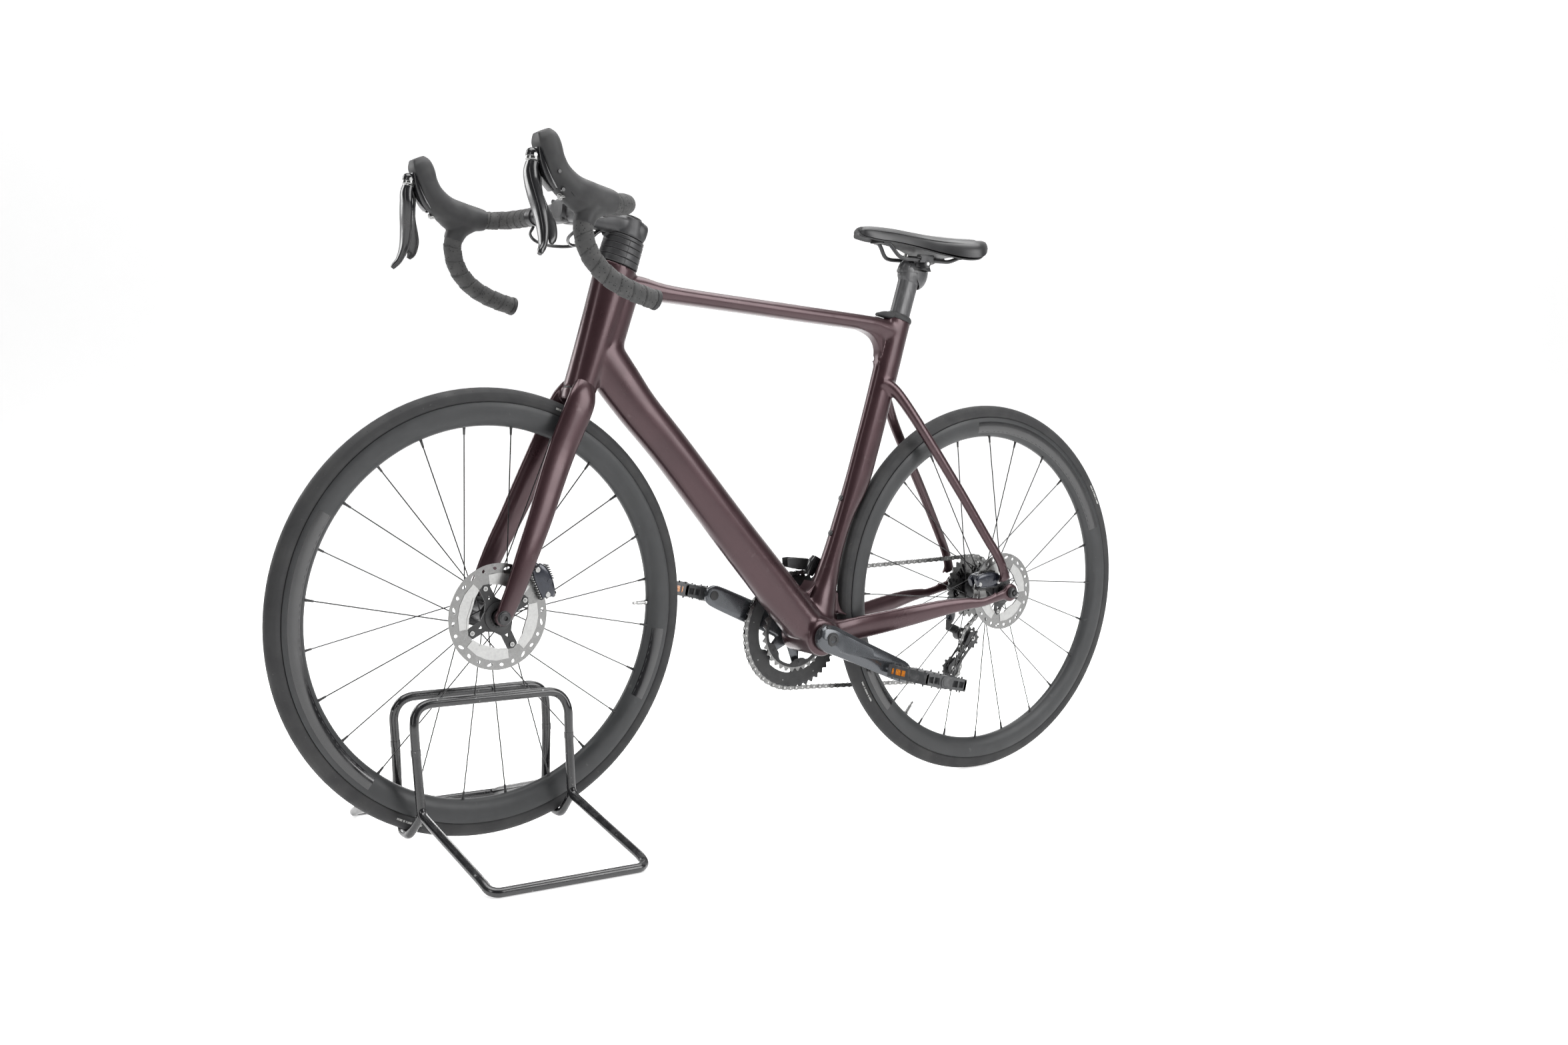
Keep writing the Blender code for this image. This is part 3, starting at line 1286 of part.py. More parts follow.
# ---------------------------------------------------------------- assembly
def finish():
    """Smooth shading, materials, and an empty on the axis of each moving body."""
    looks = {
        "frame_paint": (
            "head_tube",
            "top_tube",
            "down_tube",
            "seat_tube",
            "chainstay_",
            "seatstay_",
            "fork_",
        ),
        "rubber": ("front_tyre", "rear_tyre", "hood_", "brake_hoses"),
        "carbon_rim": ("front_rim", "rear_rim"),
        "tape": ("bar_tape_",),
        "bright_steel": ("front_rotor", "rear_rotor", "chain", "cassette", "lever_pivot_"),
        "black_gloss": ("brake_lever_", "shift_paddle_", "stand_"),
        "crank_grey": ("crank_arm_", "pedal_"),
        "saddle_cover": ("saddle",),
        "dark_steel": (
            "chainring_",
            "rd_",
            "fd_",
            "guide_",
            "tension_",
            "front_caliper",
            "rear_caliper",
            "saddle_rails",
        ),
    }
    for thing in PARTS.objects:
        chosen = "black_satin"
        longest = 0
        for material, prefixes in looks.items():
            for prefix in prefixes:
                if thing.name.startswith(prefix) and len(prefix) > longest:
                    chosen = material
                    longest = len(prefix)
        thing.data.materials.clear()
        thing.data.materials.append(look(chosen))
        thing.data.shade_smooth()
        thing.data.set_sharp_from_angle(angle=math.radians(35))

    steered = (
        "fork_",
        "spacer_stack",
        "stem",
        "handlebar",
        "bar_tape_",
        "hood_",
        "brake_hoses",
        "front_caliper",
        "front_axle",
    )
    left_lever = ("lever_pivot_left", "brake_lever_left", "shift_paddle_left")
    right_lever = ("lever_pivot_right", "brake_lever_right", "shift_paddle_right")
    pivots = {
        "steering": (STEER_BASE, steered),
        "front_wheel": (FRONT_HUB, ("front_tyre", "front_rim", "front_hub", "front_rotor", "front_valve")),
        "rear_wheel": (REAR_HUB, ("rear_tyre", "rear_rim", "rear_hub", "rear_rotor", "rear_valve")),
        "freewheel": (REAR_HUB, ("cassette",)),
        "crankset": (BRACKET, ("crank_arm_", "chainring_")),
        "left_pedal": (crank_point(-1, CRANK_LENGTH, -PEDAL_Y), ("pedal_left",)),
        "right_pedal": (crank_point(1, CRANK_LENGTH, PEDAL_Y), ("pedal_right",)),
        "left_lever": (mirrored(LEVER_PIVOT), left_lever),
        "right_lever": (LEVER_PIVOT, right_lever),
        "changer_link": (SHIFT_PIVOT, ("rd_link",)),
        "changer_body": (CAGE_MOUNT, ("rd_body",)),
        "changer_cage": (CAGE_PIVOT, ("rd_cage",)),
        "guide_pulley": (GUIDE_PULLEY, ("guide_pulley",)),
        "tension_pulley": (TENSION_PULLEY, ("tension_pulley",)),
        "front_changer": (BRACKET + UP * 0.1170, ("fd_cage",)),
        "seatpost": (seat_at(POST_BOTTOM), ("seatpost",)),
        "saddle": (Vector((0.31, 0, RAIL_HEIGHT)), ("saddle",)),
        "stand": (Vector((FRONT_HUB.x, 0, 0)), ("stand_",)),
    }
    for name, (place, prefixes) in pivots.items():
        empty = bpy.data.objects.new("pivot_" + name, None)
        empty.location = place
        bpy.context.scene.collection.objects.link(empty)
        for thing in PARTS.objects:
            if thing.name.startswith(prefixes):
                thing.parent = empty
                thing.matrix_parent_inverse = Matrix.Translation(place).inverted()


front_triangle()
stays()
wheels()
fork()
cockpit()
controls()
hoses()
cassette()
cranks()
chainrings()
chain()
pedal(-1, "left")
pedal(1, "right")
rear_changer()
front_changer()
callipers()
saddle()
seatpost()
stand()
finish()
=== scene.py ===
"""Looks of the bicycle on its floor stand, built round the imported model.

Frame of the model: +X towards the rear wheel, +Y towards the drive side (the rider's right),
+Z up, metres.  The floor is Z = 0 and the origin lies midway between the two axles.
"""

import math

import bmesh
import bpy
from mathutils import Matrix, Vector
from mathutils.geometry import tessellate_polygon


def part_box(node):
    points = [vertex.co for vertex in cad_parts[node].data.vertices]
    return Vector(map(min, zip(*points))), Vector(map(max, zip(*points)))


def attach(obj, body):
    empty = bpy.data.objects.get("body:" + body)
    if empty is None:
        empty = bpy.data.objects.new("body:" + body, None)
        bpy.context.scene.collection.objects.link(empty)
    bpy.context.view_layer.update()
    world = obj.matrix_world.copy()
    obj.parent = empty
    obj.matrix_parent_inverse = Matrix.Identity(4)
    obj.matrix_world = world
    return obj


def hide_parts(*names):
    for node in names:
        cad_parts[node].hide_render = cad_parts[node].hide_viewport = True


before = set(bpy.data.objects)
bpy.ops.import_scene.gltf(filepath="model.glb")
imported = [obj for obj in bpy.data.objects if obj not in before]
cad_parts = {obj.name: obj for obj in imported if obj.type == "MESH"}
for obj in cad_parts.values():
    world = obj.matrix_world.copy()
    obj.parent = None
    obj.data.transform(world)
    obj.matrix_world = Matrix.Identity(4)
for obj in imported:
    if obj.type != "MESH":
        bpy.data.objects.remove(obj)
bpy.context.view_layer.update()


# ---------------------------------------------------------------- driving dimensions
def middle(node):
    low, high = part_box(node)
    return (low + high) / 2


FRONT_HUB = middle("front_tyre")
REAR_HUB = middle("rear_tyre")
TYRE_OUTER = (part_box("rear_tyre")[1].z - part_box("rear_tyre")[0].z) / 2
BRACKET = Vector((0.1065, 0, 0.278))
HEAD_ANGLE = math.radians(72.5)
STEER_DIR = Vector((math.cos(HEAD_ANGLE), 0, math.sin(HEAD_ANGLE)))
STEER_BASE = FRONT_HUB + Vector((0.045 / math.sin(HEAD_ANGLE), 0, 0))
SEAT_ANGLE = math.radians(73.5)
SEAT_DIR = Vector((math.cos(SEAT_ANGLE), 0, math.sin(SEAT_ANGLE)))
POST_SETBACK = 0.0158
BAR_CENTRE = Vector((-0.376, 0, 0.958))
CHAIN_PITCH = 0.0127
CRANK_LENGTH = 0.1725
CRANK_DROP = math.radians(23.5)
BIG_RING_Y = 0.0475
SMALL_RING_Y = 0.04
FIRST_COG_Y = 0.029
COG_SPACING = 0.0037
COGS = (28, 25, 23, 21, 19, 17, 15, 14, 13, 12, 11)
GUIDE_PULLEY = middle("guide_pulley")
TENSION_PULLEY = middle("tension_pulley")
X_AXIS = Vector((1, 0, 0))
Y_AXIS = Vector((0, 1, 0))
Z_AXIS = Vector((0, 0, 1))


def steer_at(distance, forward=0.0, across=0.0):
    square = Vector((-STEER_DIR.z, 0, STEER_DIR.x))
    return STEER_BASE + STEER_DIR * distance + square * forward + Y_AXIS * across


def seat_at(distance):
    return BRACKET + Vector((POST_SETBACK, 0, 0)) + SEAT_DIR * distance


# ---------------------------------------------------------------- materials
class Nodes:
    """A material's node tree, with short calls for the nodes used here."""

    def __init__(self, name, colour, roughness, metallic=0.0, **extra):
        self.material = bpy.data.materials.new(name)
        self.material.use_nodes = True
        self.tree = self.material.node_tree
        self.shader = self.tree.nodes["Principled BSDF"]
        self.shader.inputs["Base Color"].default_value = (*colour, 1)
        self.shader.inputs["Roughness"].default_value = roughness
        self.shader.inputs["Metallic"].default_value = metallic
        for socket, value in extra.items():
            self.shader.inputs[socket.replace("_", " ")].default_value = value
        self.colour = colour
        self.roughness = roughness
        self.place = None

    def link(self, source, target):
        self.tree.links.new(source, target)

    def coordinates(self, stretch=(1, 1, 1), kind="Object"):
        source = self.tree.nodes.new("ShaderNodeTexCoord").outputs[kind]
        mapping = self.tree.nodes.new("ShaderNodeMapping")
        mapping.inputs["Scale"].default_value = stretch
        self.link(source, mapping.inputs["Vector"])
        return mapping.outputs["Vector"]

    def noise(self, scale, detail=4.0, stretch=(1, 1, 1), kind="Object"):
        node = self.tree.nodes.new("ShaderNodeTexNoise")
        node.inputs["Scale"].default_value = scale
        node.inputs["Detail"].default_value = detail
        self.link(self.coordinates(stretch, kind), node.inputs["Vector"])
        return node.outputs["Fac"]

    def cells(self, scale, feature="F1", stretch=(1, 1, 1), kind="Object"):
        node = self.tree.nodes.new("ShaderNodeTexVoronoi")
        node.feature = feature
        node.inputs["Scale"].default_value = scale
        self.link(self.coordinates(stretch, kind), node.inputs["Vector"])
        return node.outputs["Distance"]

    def ramp(self, source, low, high, low_value=0.0, high_value=1.0):
        """Maps source between low and high onto low_value to high_value, clamped."""
        node = self.tree.nodes.new("ShaderNodeMapRange")
        sockets = ("From Min", "From Max", "To Min", "To Max")
        for socket, value in zip(sockets, (low, high, low_value, high_value)):
            node.inputs[socket].default_value = value
        self.link(source, node.inputs["Value"])
        return node.outputs["Result"]

    def math(self, operation, first, second):
        node = self.tree.nodes.new("ShaderNodeMath")
        node.operation = operation
        for socket, value in zip(node.inputs, (first, second)):
            if isinstance(value, (int, float)):
                socket.default_value = value
            else:
                self.link(value, socket)
        return node.outputs["Value"]

    def tint(self, amount, other):
        """Mixes the base colour towards another one by amount."""
        node = self.tree.nodes.new("ShaderNodeMix")
        node.data_type = "RGBA"
        links = self.shader.inputs["Base Color"].links
        if links:
            self.link(links[0].from_socket, node.inputs["A"])
        else:
            node.inputs["A"].default_value = (*self.colour, 1)
        node.inputs["B"].default_value = (*other, 1)
        self.link(amount, node.inputs["Factor"])
        self.link(node.outputs["Result"], self.shader.inputs["Base Color"])
        return self

    def rough(self, source, low, high, low_value, high_value):
        self.link(self.ramp(source, low, high, low_value, high_value), self.shader.inputs["Roughness"])
        return self

    def bump(self, height, distance, strength=0.6):
        node = self.tree.nodes.new("ShaderNodeBump")
        node.inputs["Distance"].default_value = distance
        node.inputs["Strength"].default_value = strength
        self.link(height, node.inputs["Height"])
        links = self.shader.inputs["Normal"].links
        if links:
            self.link(links[0].from_socket, node.inputs["Normal"])
        self.link(node.outputs["Normal"], self.shader.inputs["Normal"])
        return self


def paint():
    """Satin metallic aubergine: slow shifts of tone, fine metal flake and a little dust."""
    look = Nodes("frame_paint", (0.046, 0.021, 0.025), 0.26, 0.62, Coat_Weight=0.3, Coat_Roughness=0.18)
    look.tint(look.ramp(look.noise(7.0, 3.0), 0.35, 0.7, 0.0, 0.55), (0.032, 0.015, 0.018))
    look.tint(look.ramp(look.cells(1500.0), 0.05, 0.28, 0.35, 0.0), (0.125, 0.072, 0.076))
    look.tint(look.ramp(look.noise(46.0, 8.0), 0.66, 0.8, 0.0, 0.1), (0.32, 0.28, 0.27))
    look.rough(look.noise(24.0, 6.0), 0.3, 0.75, 0.26, 0.36)
    look.bump(look.noise(900.0, 2.0), 0.00004, 0.35)
    return look.material


def rim_carbon():
    """Matt moulded carbon with faint fibre direction and handling marks."""
    look = Nodes("rim_carbon", (0.02, 0.021, 0.022), 0.44, 0.0, Specular_IOR_Level=0.42)
    look.tint(look.ramp(look.noise(30.0, 5.0, (1, 9, 1)), 0.4, 0.75, 0.0, 0.6), (0.031, 0.032, 0.034))
    look.tint(look.ramp(look.noise(70.0, 9.0), 0.68, 0.78, 0.0, 0.35), (0.1, 0.1, 0.1))
    look.rough(look.noise(18.0, 6.0), 0.3, 0.7, 0.38, 0.52)
    look.bump(look.noise(700.0, 3.0), 0.00005, 0.35)
    return look.material


def rim_gloss():
    """Gloss lacquer panels that are tone on tone with the rim."""
    look = Nodes("rim_gloss", (0.008, 0.008, 0.009), 0.14, 0.0, Coat_Weight=0.5, Coat_Roughness=0.08)
    look.tint(look.ramp(look.noise(60.0, 8.0), 0.66, 0.8, 0.0, 0.3), (0.05, 0.05, 0.05))
    look.rough(look.noise(40.0, 7.0), 0.35, 0.7, 0.1, 0.24)
    return look.material


def tyre_rubber():
    """Black rubber with moulding lines round the sidewall and small sipes on the shoulder."""
    look = Nodes("tyre_rubber", (0.021, 0.021, 0.022), 0.66, 0.0, Specular_IOR_Level=0.35)
    look.tint(look.ramp(look.noise(22.0, 7.0), 0.45, 0.75, 0.0, 0.5), (0.043, 0.042, 0.041))
    look.tint(look.ramp(look.noise(160.0, 6.0), 0.66, 0.78, 0.0, 0.35), (0.11, 0.105, 0.1))
    look.rough(look.noise(30.0, 6.0), 0.3, 0.7, 0.58, 0.78)
    look.bump(look.noise(520.0, 4.0), 0.00012, 0.5)
    return look.material


def sidewall_print():
    """Pale grey print on rubber, worn in places."""
    look = Nodes("sidewall_print", (0.34, 0.34, 0.33), 0.6)
    look.tint(look.ramp(look.noise(400.0, 6.0), 0.5, 0.62, 0.0, 0.8), (0.06, 0.06, 0.06))
    return look.material


def bar_tape():
    """Foam tape with a perforated, finely grained face."""
    look = Nodes("bar_tape", (0.048, 0.048, 0.048), 0.66, 0.0, Specular_IOR_Level=0.32)
    look.tint(look.ramp(look.noise(60.0, 6.0), 0.45, 0.75, 0.0, 0.6), (0.075, 0.074, 0.072))
    # perforations darkened nearly to black: partly the black bar seen through them, partly painted shade inside each
    # hole
    holes = look.cells(230.0)
    look.tint(look.ramp(holes, 0.16, 0.24, 0.9, 0.0), (0.004, 0.004, 0.004))
    look.rough(look.noise(90.0, 5.0), 0.3, 0.7, 0.62, 0.8)
    look.bump(look.ramp(holes, 0.12, 0.3), 0.0003, 0.7)
    look.bump(look.noise(1100.0, 4.0), 0.0001, 0.6)
    return look.material


def hood_rubber():
    """Soft hood rubber with a fine stipple and paler rubbed areas."""
    look = Nodes("hood_rubber", (0.018, 0.018, 0.019), 0.56, 0.0, Specular_IOR_Level=0.4)
    look.tint(look.ramp(look.noise(38.0, 6.0), 0.45, 0.72, 0.0, 0.6), (0.034, 0.034, 0.034))
    look.rough(look.noise(50.0, 5.0), 0.3, 0.7, 0.48, 0.66)
    look.bump(look.cells(1300.0, "F1"), 0.00008, 0.5)
    return look.material


def satin_black(name="satin_black", shade=0.02, roughness=0.36, metallic=0.35):
    """Anodised or satin painted alloy with fine handling scratches."""
    look = Nodes(name, (shade, shade, shade * 1.05), roughness, metallic)
    look.tint(look.ramp(look.noise(55.0, 7.0), 0.5, 0.75, 0.0, 0.5), (shade * 2.2,) * 3)
    look.tint(look.ramp(look.noise(260.0, 8.0, (1, 1, 6)), 0.68, 0.78, 0.0, 0.5), (0.16, 0.16, 0.16))
    look.rough(look.noise(80.0, 6.0), 0.3, 0.72, roughness - 0.06, roughness + 0.1)
    look.bump(look.noise(1400.0, 3.0), 0.00003, 0.4)
    return look.material


def gloss_black():
    """Glossy painted lever resin with hairline swirls."""
    look = Nodes("gloss_black", (0.008, 0.008, 0.009), 0.24, 0.0, Coat_Weight=0.25, Coat_Roughness=0.08)
    look.tint(look.ramp(look.noise(240.0, 8.0, (6, 1, 1)), 0.68, 0.8, 0.0, 0.25), (0.1, 0.1, 0.1))
    look.rough(look.noise(45.0, 7.0), 0.35, 0.75, 0.2, 0.3)
    return look.material


def crank_grey():
    """Dark grey lacquer over forged alloy, with fine scratches and rubbed patches."""
    look = Nodes("crank_grey", (0.058, 0.062, 0.068), 0.24, 0.65, Coat_Weight=0.4, Coat_Roughness=0.12)
    look.tint(look.ramp(look.noise(16.0, 4.0), 0.4, 0.7, 0.0, 0.5), (0.064, 0.068, 0.075))
    look.tint(look.ramp(look.noise(190.0, 9.0, (1, 1, 8)), 0.69, 0.78, 0.0, 0.35), (0.16, 0.16, 0.17))
    look.rough(look.noise(60.0, 7.0), 0.3, 0.75, 0.22, 0.29)
    return look.material


def bright_metal(name, shade, roughness, grime=0.35, grain=420.0):
    """Bare metal with a fine brushed grain and a little dark grime."""
    look = Nodes(name, (shade, shade, shade * 0.985), roughness, 1.0)
    look.tint(look.ramp(look.noise(grain, 5.0), 0.35, 0.7, 0.0, 0.4), (shade * 0.72,) * 3)
    look.tint(look.ramp(look.noise(70.0, 8.0), 0.6, 0.78, 0.0, grime), (0.08, 0.075, 0.07))
    look.rough(look.noise(grain * 0.4, 6.0), 0.3, 0.7, roughness - 0.08, roughness + 0.14)
    look.bump(look.noise(grain * 3, 3.0, (1, 1, 4)), 0.00003, 0.4)
    return look.material


def navy_alloy():
    """Dark blue-black gloss alloy of the callipers."""
    look = Nodes("navy_alloy", (0.01, 0.012, 0.02), 0.24, 0.4, Coat_Weight=0.4, Coat_Roughness=0.1)
    look.tint(look.ramp(look.noise(90.0, 6.0), 0.45, 0.75, 0.0, 0.5), (0.02, 0.024, 0.038))
    look.tint(look.ramp(look.noise(300.0, 8.0), 0.68, 0.78, 0.0, 0.5), (0.2, 0.2, 0.21))
    look.rough(look.noise(120.0, 6.0), 0.3, 0.7, 0.16, 0.32)
    return look.material


def pedal_resin():
    """Moulded grey-black resin, scuffed pale on its faces."""
    look = Nodes("pedal_resin", (0.034, 0.035, 0.037), 0.46, 0.0)
    look.tint(look.ramp(look.noise(80.0, 8.0), 0.52, 0.72, 0.0, 0.7), (0.085, 0.085, 0.086))
    look.rough(look.noise(100.0, 6.0), 0.3, 0.7, 0.38, 0.58)
    look.bump(look.noise(900.0, 4.0), 0.00008, 0.5)
    return look.material


def reflector():
    """Amber reflector with its grid of small prisms."""
    look = Nodes("reflector", (0.7, 0.27, 0.02), 0.2, 0.0, Coat_Weight=0.6, Coat_Roughness=0.05)
    prisms = look.cells(420.0, "F1")
    look.tint(look.ramp(prisms, 0.15, 0.6, 0.0, 0.75), (0.36, 0.07, 0.004))
    look.bump(prisms, 0.0003, 0.7)
    return look.material


def saddle_cover():
    """Smooth black synthetic leather with a fine grain, shinier where it is ridden."""
    look = Nodes("saddle_cover", (0.01, 0.01, 0.011), 0.44, 0.0, Specular_IOR_Level=0.5)
    look.tint(look.ramp(look.noise(24.0, 5.0), 0.45, 0.75, 0.0, 0.5), (0.018, 0.018, 0.019))
    look.rough(look.noise(18.0, 6.0), 0.35, 0.7, 0.3, 0.48)
    look.bump(look.cells(900.0, "F1"), 0.0001, 0.45)
    look.bump(look.noise(140.0, 4.0), 0.0002, 0.25)
    return look.material


def stand_paint():
    """Gloss black paint on steel tube, with chips and rub marks down to grey."""
    look = Nodes("stand_paint", (0.008, 0.008, 0.009), 0.2, 0.0, Coat_Weight=0.3, Coat_Roughness=0.12)
    chips = look.ramp(look.noise(120.0, 10.0), 0.7, 0.73, 0.0, 0.8)
    look.tint(chips, (0.2, 0.2, 0.2))
    look.tint(look.ramp(look.noise(420.0, 6.0, (8, 1, 1)), 0.67, 0.74, 0.0, 0.5), (0.15, 0.15, 0.15))
    look.rough(look.noise(70.0, 6.0), 0.3, 0.7, 0.14, 0.34)
    look.bump(look.noise(260.0, 3.0), 0.00008, 0.4)
    return look.material


def post_carbon():
    """Satin carbon seatpost with clamp rubs and fine vertical streaks."""
    look = Nodes("post_carbon", (0.05, 0.05, 0.052), 0.34, 0.1, Coat_Weight=0.2, Coat_Roughness=0.2)
    look.tint(look.ramp(look.noise(60.0, 7.0, (6, 6, 1)), 0.5, 0.72, 0.0, 0.6), (0.095, 0.095, 0.098))
    look.tint(look.ramp(look.noise(240.0, 8.0), 0.66, 0.75, 0.0, 0.5), (0.16, 0.16, 0.16))
    look.rough(look.noise(40.0, 6.0), 0.3, 0.7, 0.28, 0.44)
    return look.material


LOOKS = {
    "paint": paint(), "rim": rim_carbon(), "rim_gloss": rim_gloss(), "tyre": tyre_rubber(),
    "print": sidewall_print(), "tape": bar_tape(), "hood": hood_rubber(), "satin": satin_black("satin_black", 0.03),
    "matt": satin_black("matt_black", 0.016, 0.52, 0.0), "spoke": satin_black("spoke_black", 0.018, 0.3, 0.5),
    "gloss": gloss_black(), "crank": crank_grey(), "rotor": bright_metal("rotor_steel", 0.22, 0.3, 0.2),
    "fin": bright_metal("rotor_alloy", 0.42, 0.4, 0.12, 260.0),
    "chain": bright_metal("chain_steel", 0.17, 0.28, 0.55), "cog": bright_metal("cog_steel", 0.18, 0.28, 0.5),
    "nickel": bright_metal("nickel", 0.36, 0.2, 0.15), "navy": navy_alloy(), "pedal": pedal_resin(),
    "reflector": reflector(), "saddle": saddle_cover(), "stand": stand_paint(), "post": post_carbon(),
}


# ---------------------------------------------------------------- mesh building
class Form:
    """Vertices and faces gathered from several solids, with a material number on each face."""

    def __init__(self):
        self.points = []
        self.faces = []
        self.looks = []

    def add(self, points, faces, look=0):
        first = len(self.points)
        self.points += [Vector(p) for p in points]
        self.faces += [[first + i for i in face] for face in faces]
        self.looks += [look] * len(faces)
        return self

    def moved(self, matrix):
        """A copy of everything gathered, placed by a matrix."""
        other = Form()
        other.points = [matrix @ p for p in self.points]
        other.faces = [list(face) for face in self.faces]
        other.looks = list(self.looks)
        return other

    def join(self, other):
        first = len(self.points)
        self.points += other.points
        self.faces += [[first + i for i in face] for face in other.faces]
        self.looks += other.looks
        return self

    def skin(self, rings, look=0, closed=False, caps=True):
        """Quads between rings of equal length; closed joins the last ring to the first."""
        sides = len(rings[0])
        faces = []
        count = len(rings)
        for r in range(count if closed else count - 1):
            a = r * sides
            b = (r + 1) % count * sides
            for i in range(sides):
                j = (i + 1) % sides
                faces.append((a + i, a + j, b + j, b + i))
        if caps and not closed:
            faces.append(tuple(reversed(range(sides))))
            faces.append(tuple(range((count - 1) * sides, count * sides)))
        return self.add([p for ring in rings for p in ring], faces, look)

    def rod(self, start, end, radius, end_radius=None, sides=24, look=0):
        start = Vector(start)
        end = Vector(end)
        radii = (radius, radius if end_radius is None else end_radius)
        turn = Z_AXIS.rotation_difference((end - start).normalized())
        rings = []
        for centre, size in zip((start, end), radii):
            rings.append([centre + turn @ Vector((x, y, 0)) for x, y in circle(size, sides)])
        return self.skin(rings, look)

    def turned(self, profile, centre, steps, look=0, axis=Y_AXIS):
        """A closed profile of (radius, offset along the axis) points turned about the axis."""
        turn = Z_AXIS.rotation_difference(axis)
        rings = []
        for k in range(steps):
            angle = 2 * math.pi * k / steps
            c = math.cos(angle)
            s = math.sin(angle)
            rings.append([centre + turn @ Vector((r * c, r * s, h)) for r, h in profile])
        return self.skin(rings, look, closed=True)

    def plate(self, outlines, thickness, place, look=0):
        """A flat outline with holes, thickened along local Z and placed by a matrix."""
        half = thickness / 2
        flat = [[Vector((u, v, 0)) for u, v in outline] for outline in outlines]
        triangles = tessellate_polygon(flat)
        joined = [p for loop in flat for p in loop]
        count = len(joined)
        points = [place @ Vector((p.x, p.y, half)) for p in joined]
        points += [place @ Vector((p.x, p.y, -half)) for p in joined]
        faces = []
        for a, b, c in triangles:
            faces.append((a, b, c))
            faces.append((c + count, b + count, a + count))
        first = 0
        for loop in flat:
            for i in range(len(loop)):
                j = (i + 1) % len(loop)
                faces.append((first + i, first + j, first + j + count, first + i + count))
            first += len(loop)
        return self.add(points, faces, look)

    def block(self, centre, size, turn=None, look=0, taper=1.0):
        """A box; taper narrows its top along X and Y."""
        half = Vector(size) / 2
        place = Matrix.Translation(Vector(centre)) @ (turn or Matrix.Identity(4))
        rings = []
        for z, share in ((-half.z, 1.0), (half.z, taper)):
            ring = []
            for x, y in ((-1, -1), (1, -1), (1, 1), (-1, 1)):
                ring.append(place @ Vector((x * half.x * share, y * half.y * share, z)))
            rings.append(ring)
        return self.skin(rings, look)


def circle(radius, count, centre=(0, 0), phase=0.0):
    angles = [phase + 2 * math.pi / count * i for i in range(count)]
    return [(centre[0] + radius * math.cos(a), centre[1] + radius * math.sin(a)) for a in angles]


def smooth(rows, steps, closed=False):
    """Catmull-Rom rows of numbers through the given rows."""
    rows = [tuple(row) for row in rows]
    count = len(rows)
    made = []
    for i in range(count if closed else count - 1):
        here = rows[i]
        after = rows[(i + 1) % count]
        ghost = tuple(2 * a - b for a, b in zip(here, after))
        before = rows[i - 1] if closed or i > 0 else ghost
        ghost = tuple(2 * a - b for a, b in zip(after, here))
        beyond = rows[(i + 2) % count] if closed or i + 2 < count else ghost
        for k in range(steps):
            t = k / steps
            row = []
            for a, b, c, d in zip(before, here, after, beyond):
                row.append(
                    0.5 * (
                        2 * b + (c - a) * t + (2 * a - 5 * b + 4 * c - d) * t * t + (3 * b - a - 3 * c + d) * t ** 3
                    )
                )
            made.append(tuple(row))
    if not closed:
        made.append(rows[-1])
    return made


def oval(centre, along, depth, width, sides, power=0.9):
    """One ring: depth lies in the bicycle's side plane, width across it."""
    along = Vector(along).normalized()
    across = (Y_AXIS - along * along.y).normalized()
    deep = across.cross(along)
    ring = []
    for i in range(sides):
        angle = 2 * math.pi * i / sides
        c = math.cos(angle)
        s = math.sin(angle)
        u = math.copysign(abs(c) ** power, c) * depth
        v = math.copysign(abs(s) ** power, s) * width
        ring.append(Vector(centre) + deep * u + across * v)
    return ring


def oval_rings(stations, steps=5, sides=32, power=0.9, grow=0.0):
    """Rings of a smooth tube through (x, y, z, half depth, half width) stations."""
    rows = smooth(stations, steps)
    rings = []
    for i, (x, y, z, depth, width) in enumerate(rows):
        before = Vector(rows[max(i - 1, 0)][:3])
        after = Vector(rows[min(i + 1, len(rows) - 1)][:3])
        rings.append(oval((x, y, z), after - before, depth + grow, width + grow, sides, power))
    return rings


def sweep_rings(points, radii, sides=16, closed=False):
    """Round rings along a polyline, carried without twist."""
    points = [Vector(p) for p in points]
    count = len(points)
    if isinstance(radii, float):
        radii = [radii] * count
    rings = []
    normal = None
    for i, point in enumerate(points):
        before = points[i - 1] if closed or i > 0 else point
        after = points[(i + 1) % count] if closed or i + 1 < count else point
        along = (after - before).normalized()
        if normal is None:
            normal = along.orthogonal().normalized()
        normal = (normal - along * normal.dot(along)).normalized()
        other = along.cross(normal)
        ring = []
        for k in range(sides):
            angle = 2 * math.pi * k / sides
            ring.append(point + (normal * math.cos(angle) + other * math.sin(angle)) * radii[i])
        rings.append(ring)
    return rings


def side_plane(x, y, z):
    """Placement of a flat outline whose (u, v) become (X, Z) in the plane Y = y."""
    return Matrix.Translation((x, y, z)) @ Matrix.Rotation(math.pi / 2, 4, "X")


def mirror_rows(rows, side):
    """Stations written for the +Y side, moved to the side given by its sign."""
    return [(row[0], row[1] * side, *row[2:]) for row in rows]


def piece(name, form, body, looks, replaces=(), bevel=0.0, segments=2, angle=34):
    """Makes the object from a form, rides it on its body and gives it its materials."""
    mesh = bpy.data.meshes.new(name)
    mesh.from_pydata(form.points, [], form.faces)
    mesh.polygons.foreach_set("material_index", form.looks)
    builder = bmesh.new()
    builder.from_mesh(mesh)
    bmesh.ops.remove_doubles(builder, verts=builder.verts, dist=1e-6)
    bmesh.ops.recalc_face_normals(builder, faces=builder.faces)
    builder.to_mesh(mesh)
    builder.free()
    thing = bpy.data.objects.new(name, mesh)
    bpy.context.scene.collection.objects.link(thing)
    return dress(thing, body, looks, replaces, bevel, segments, angle)


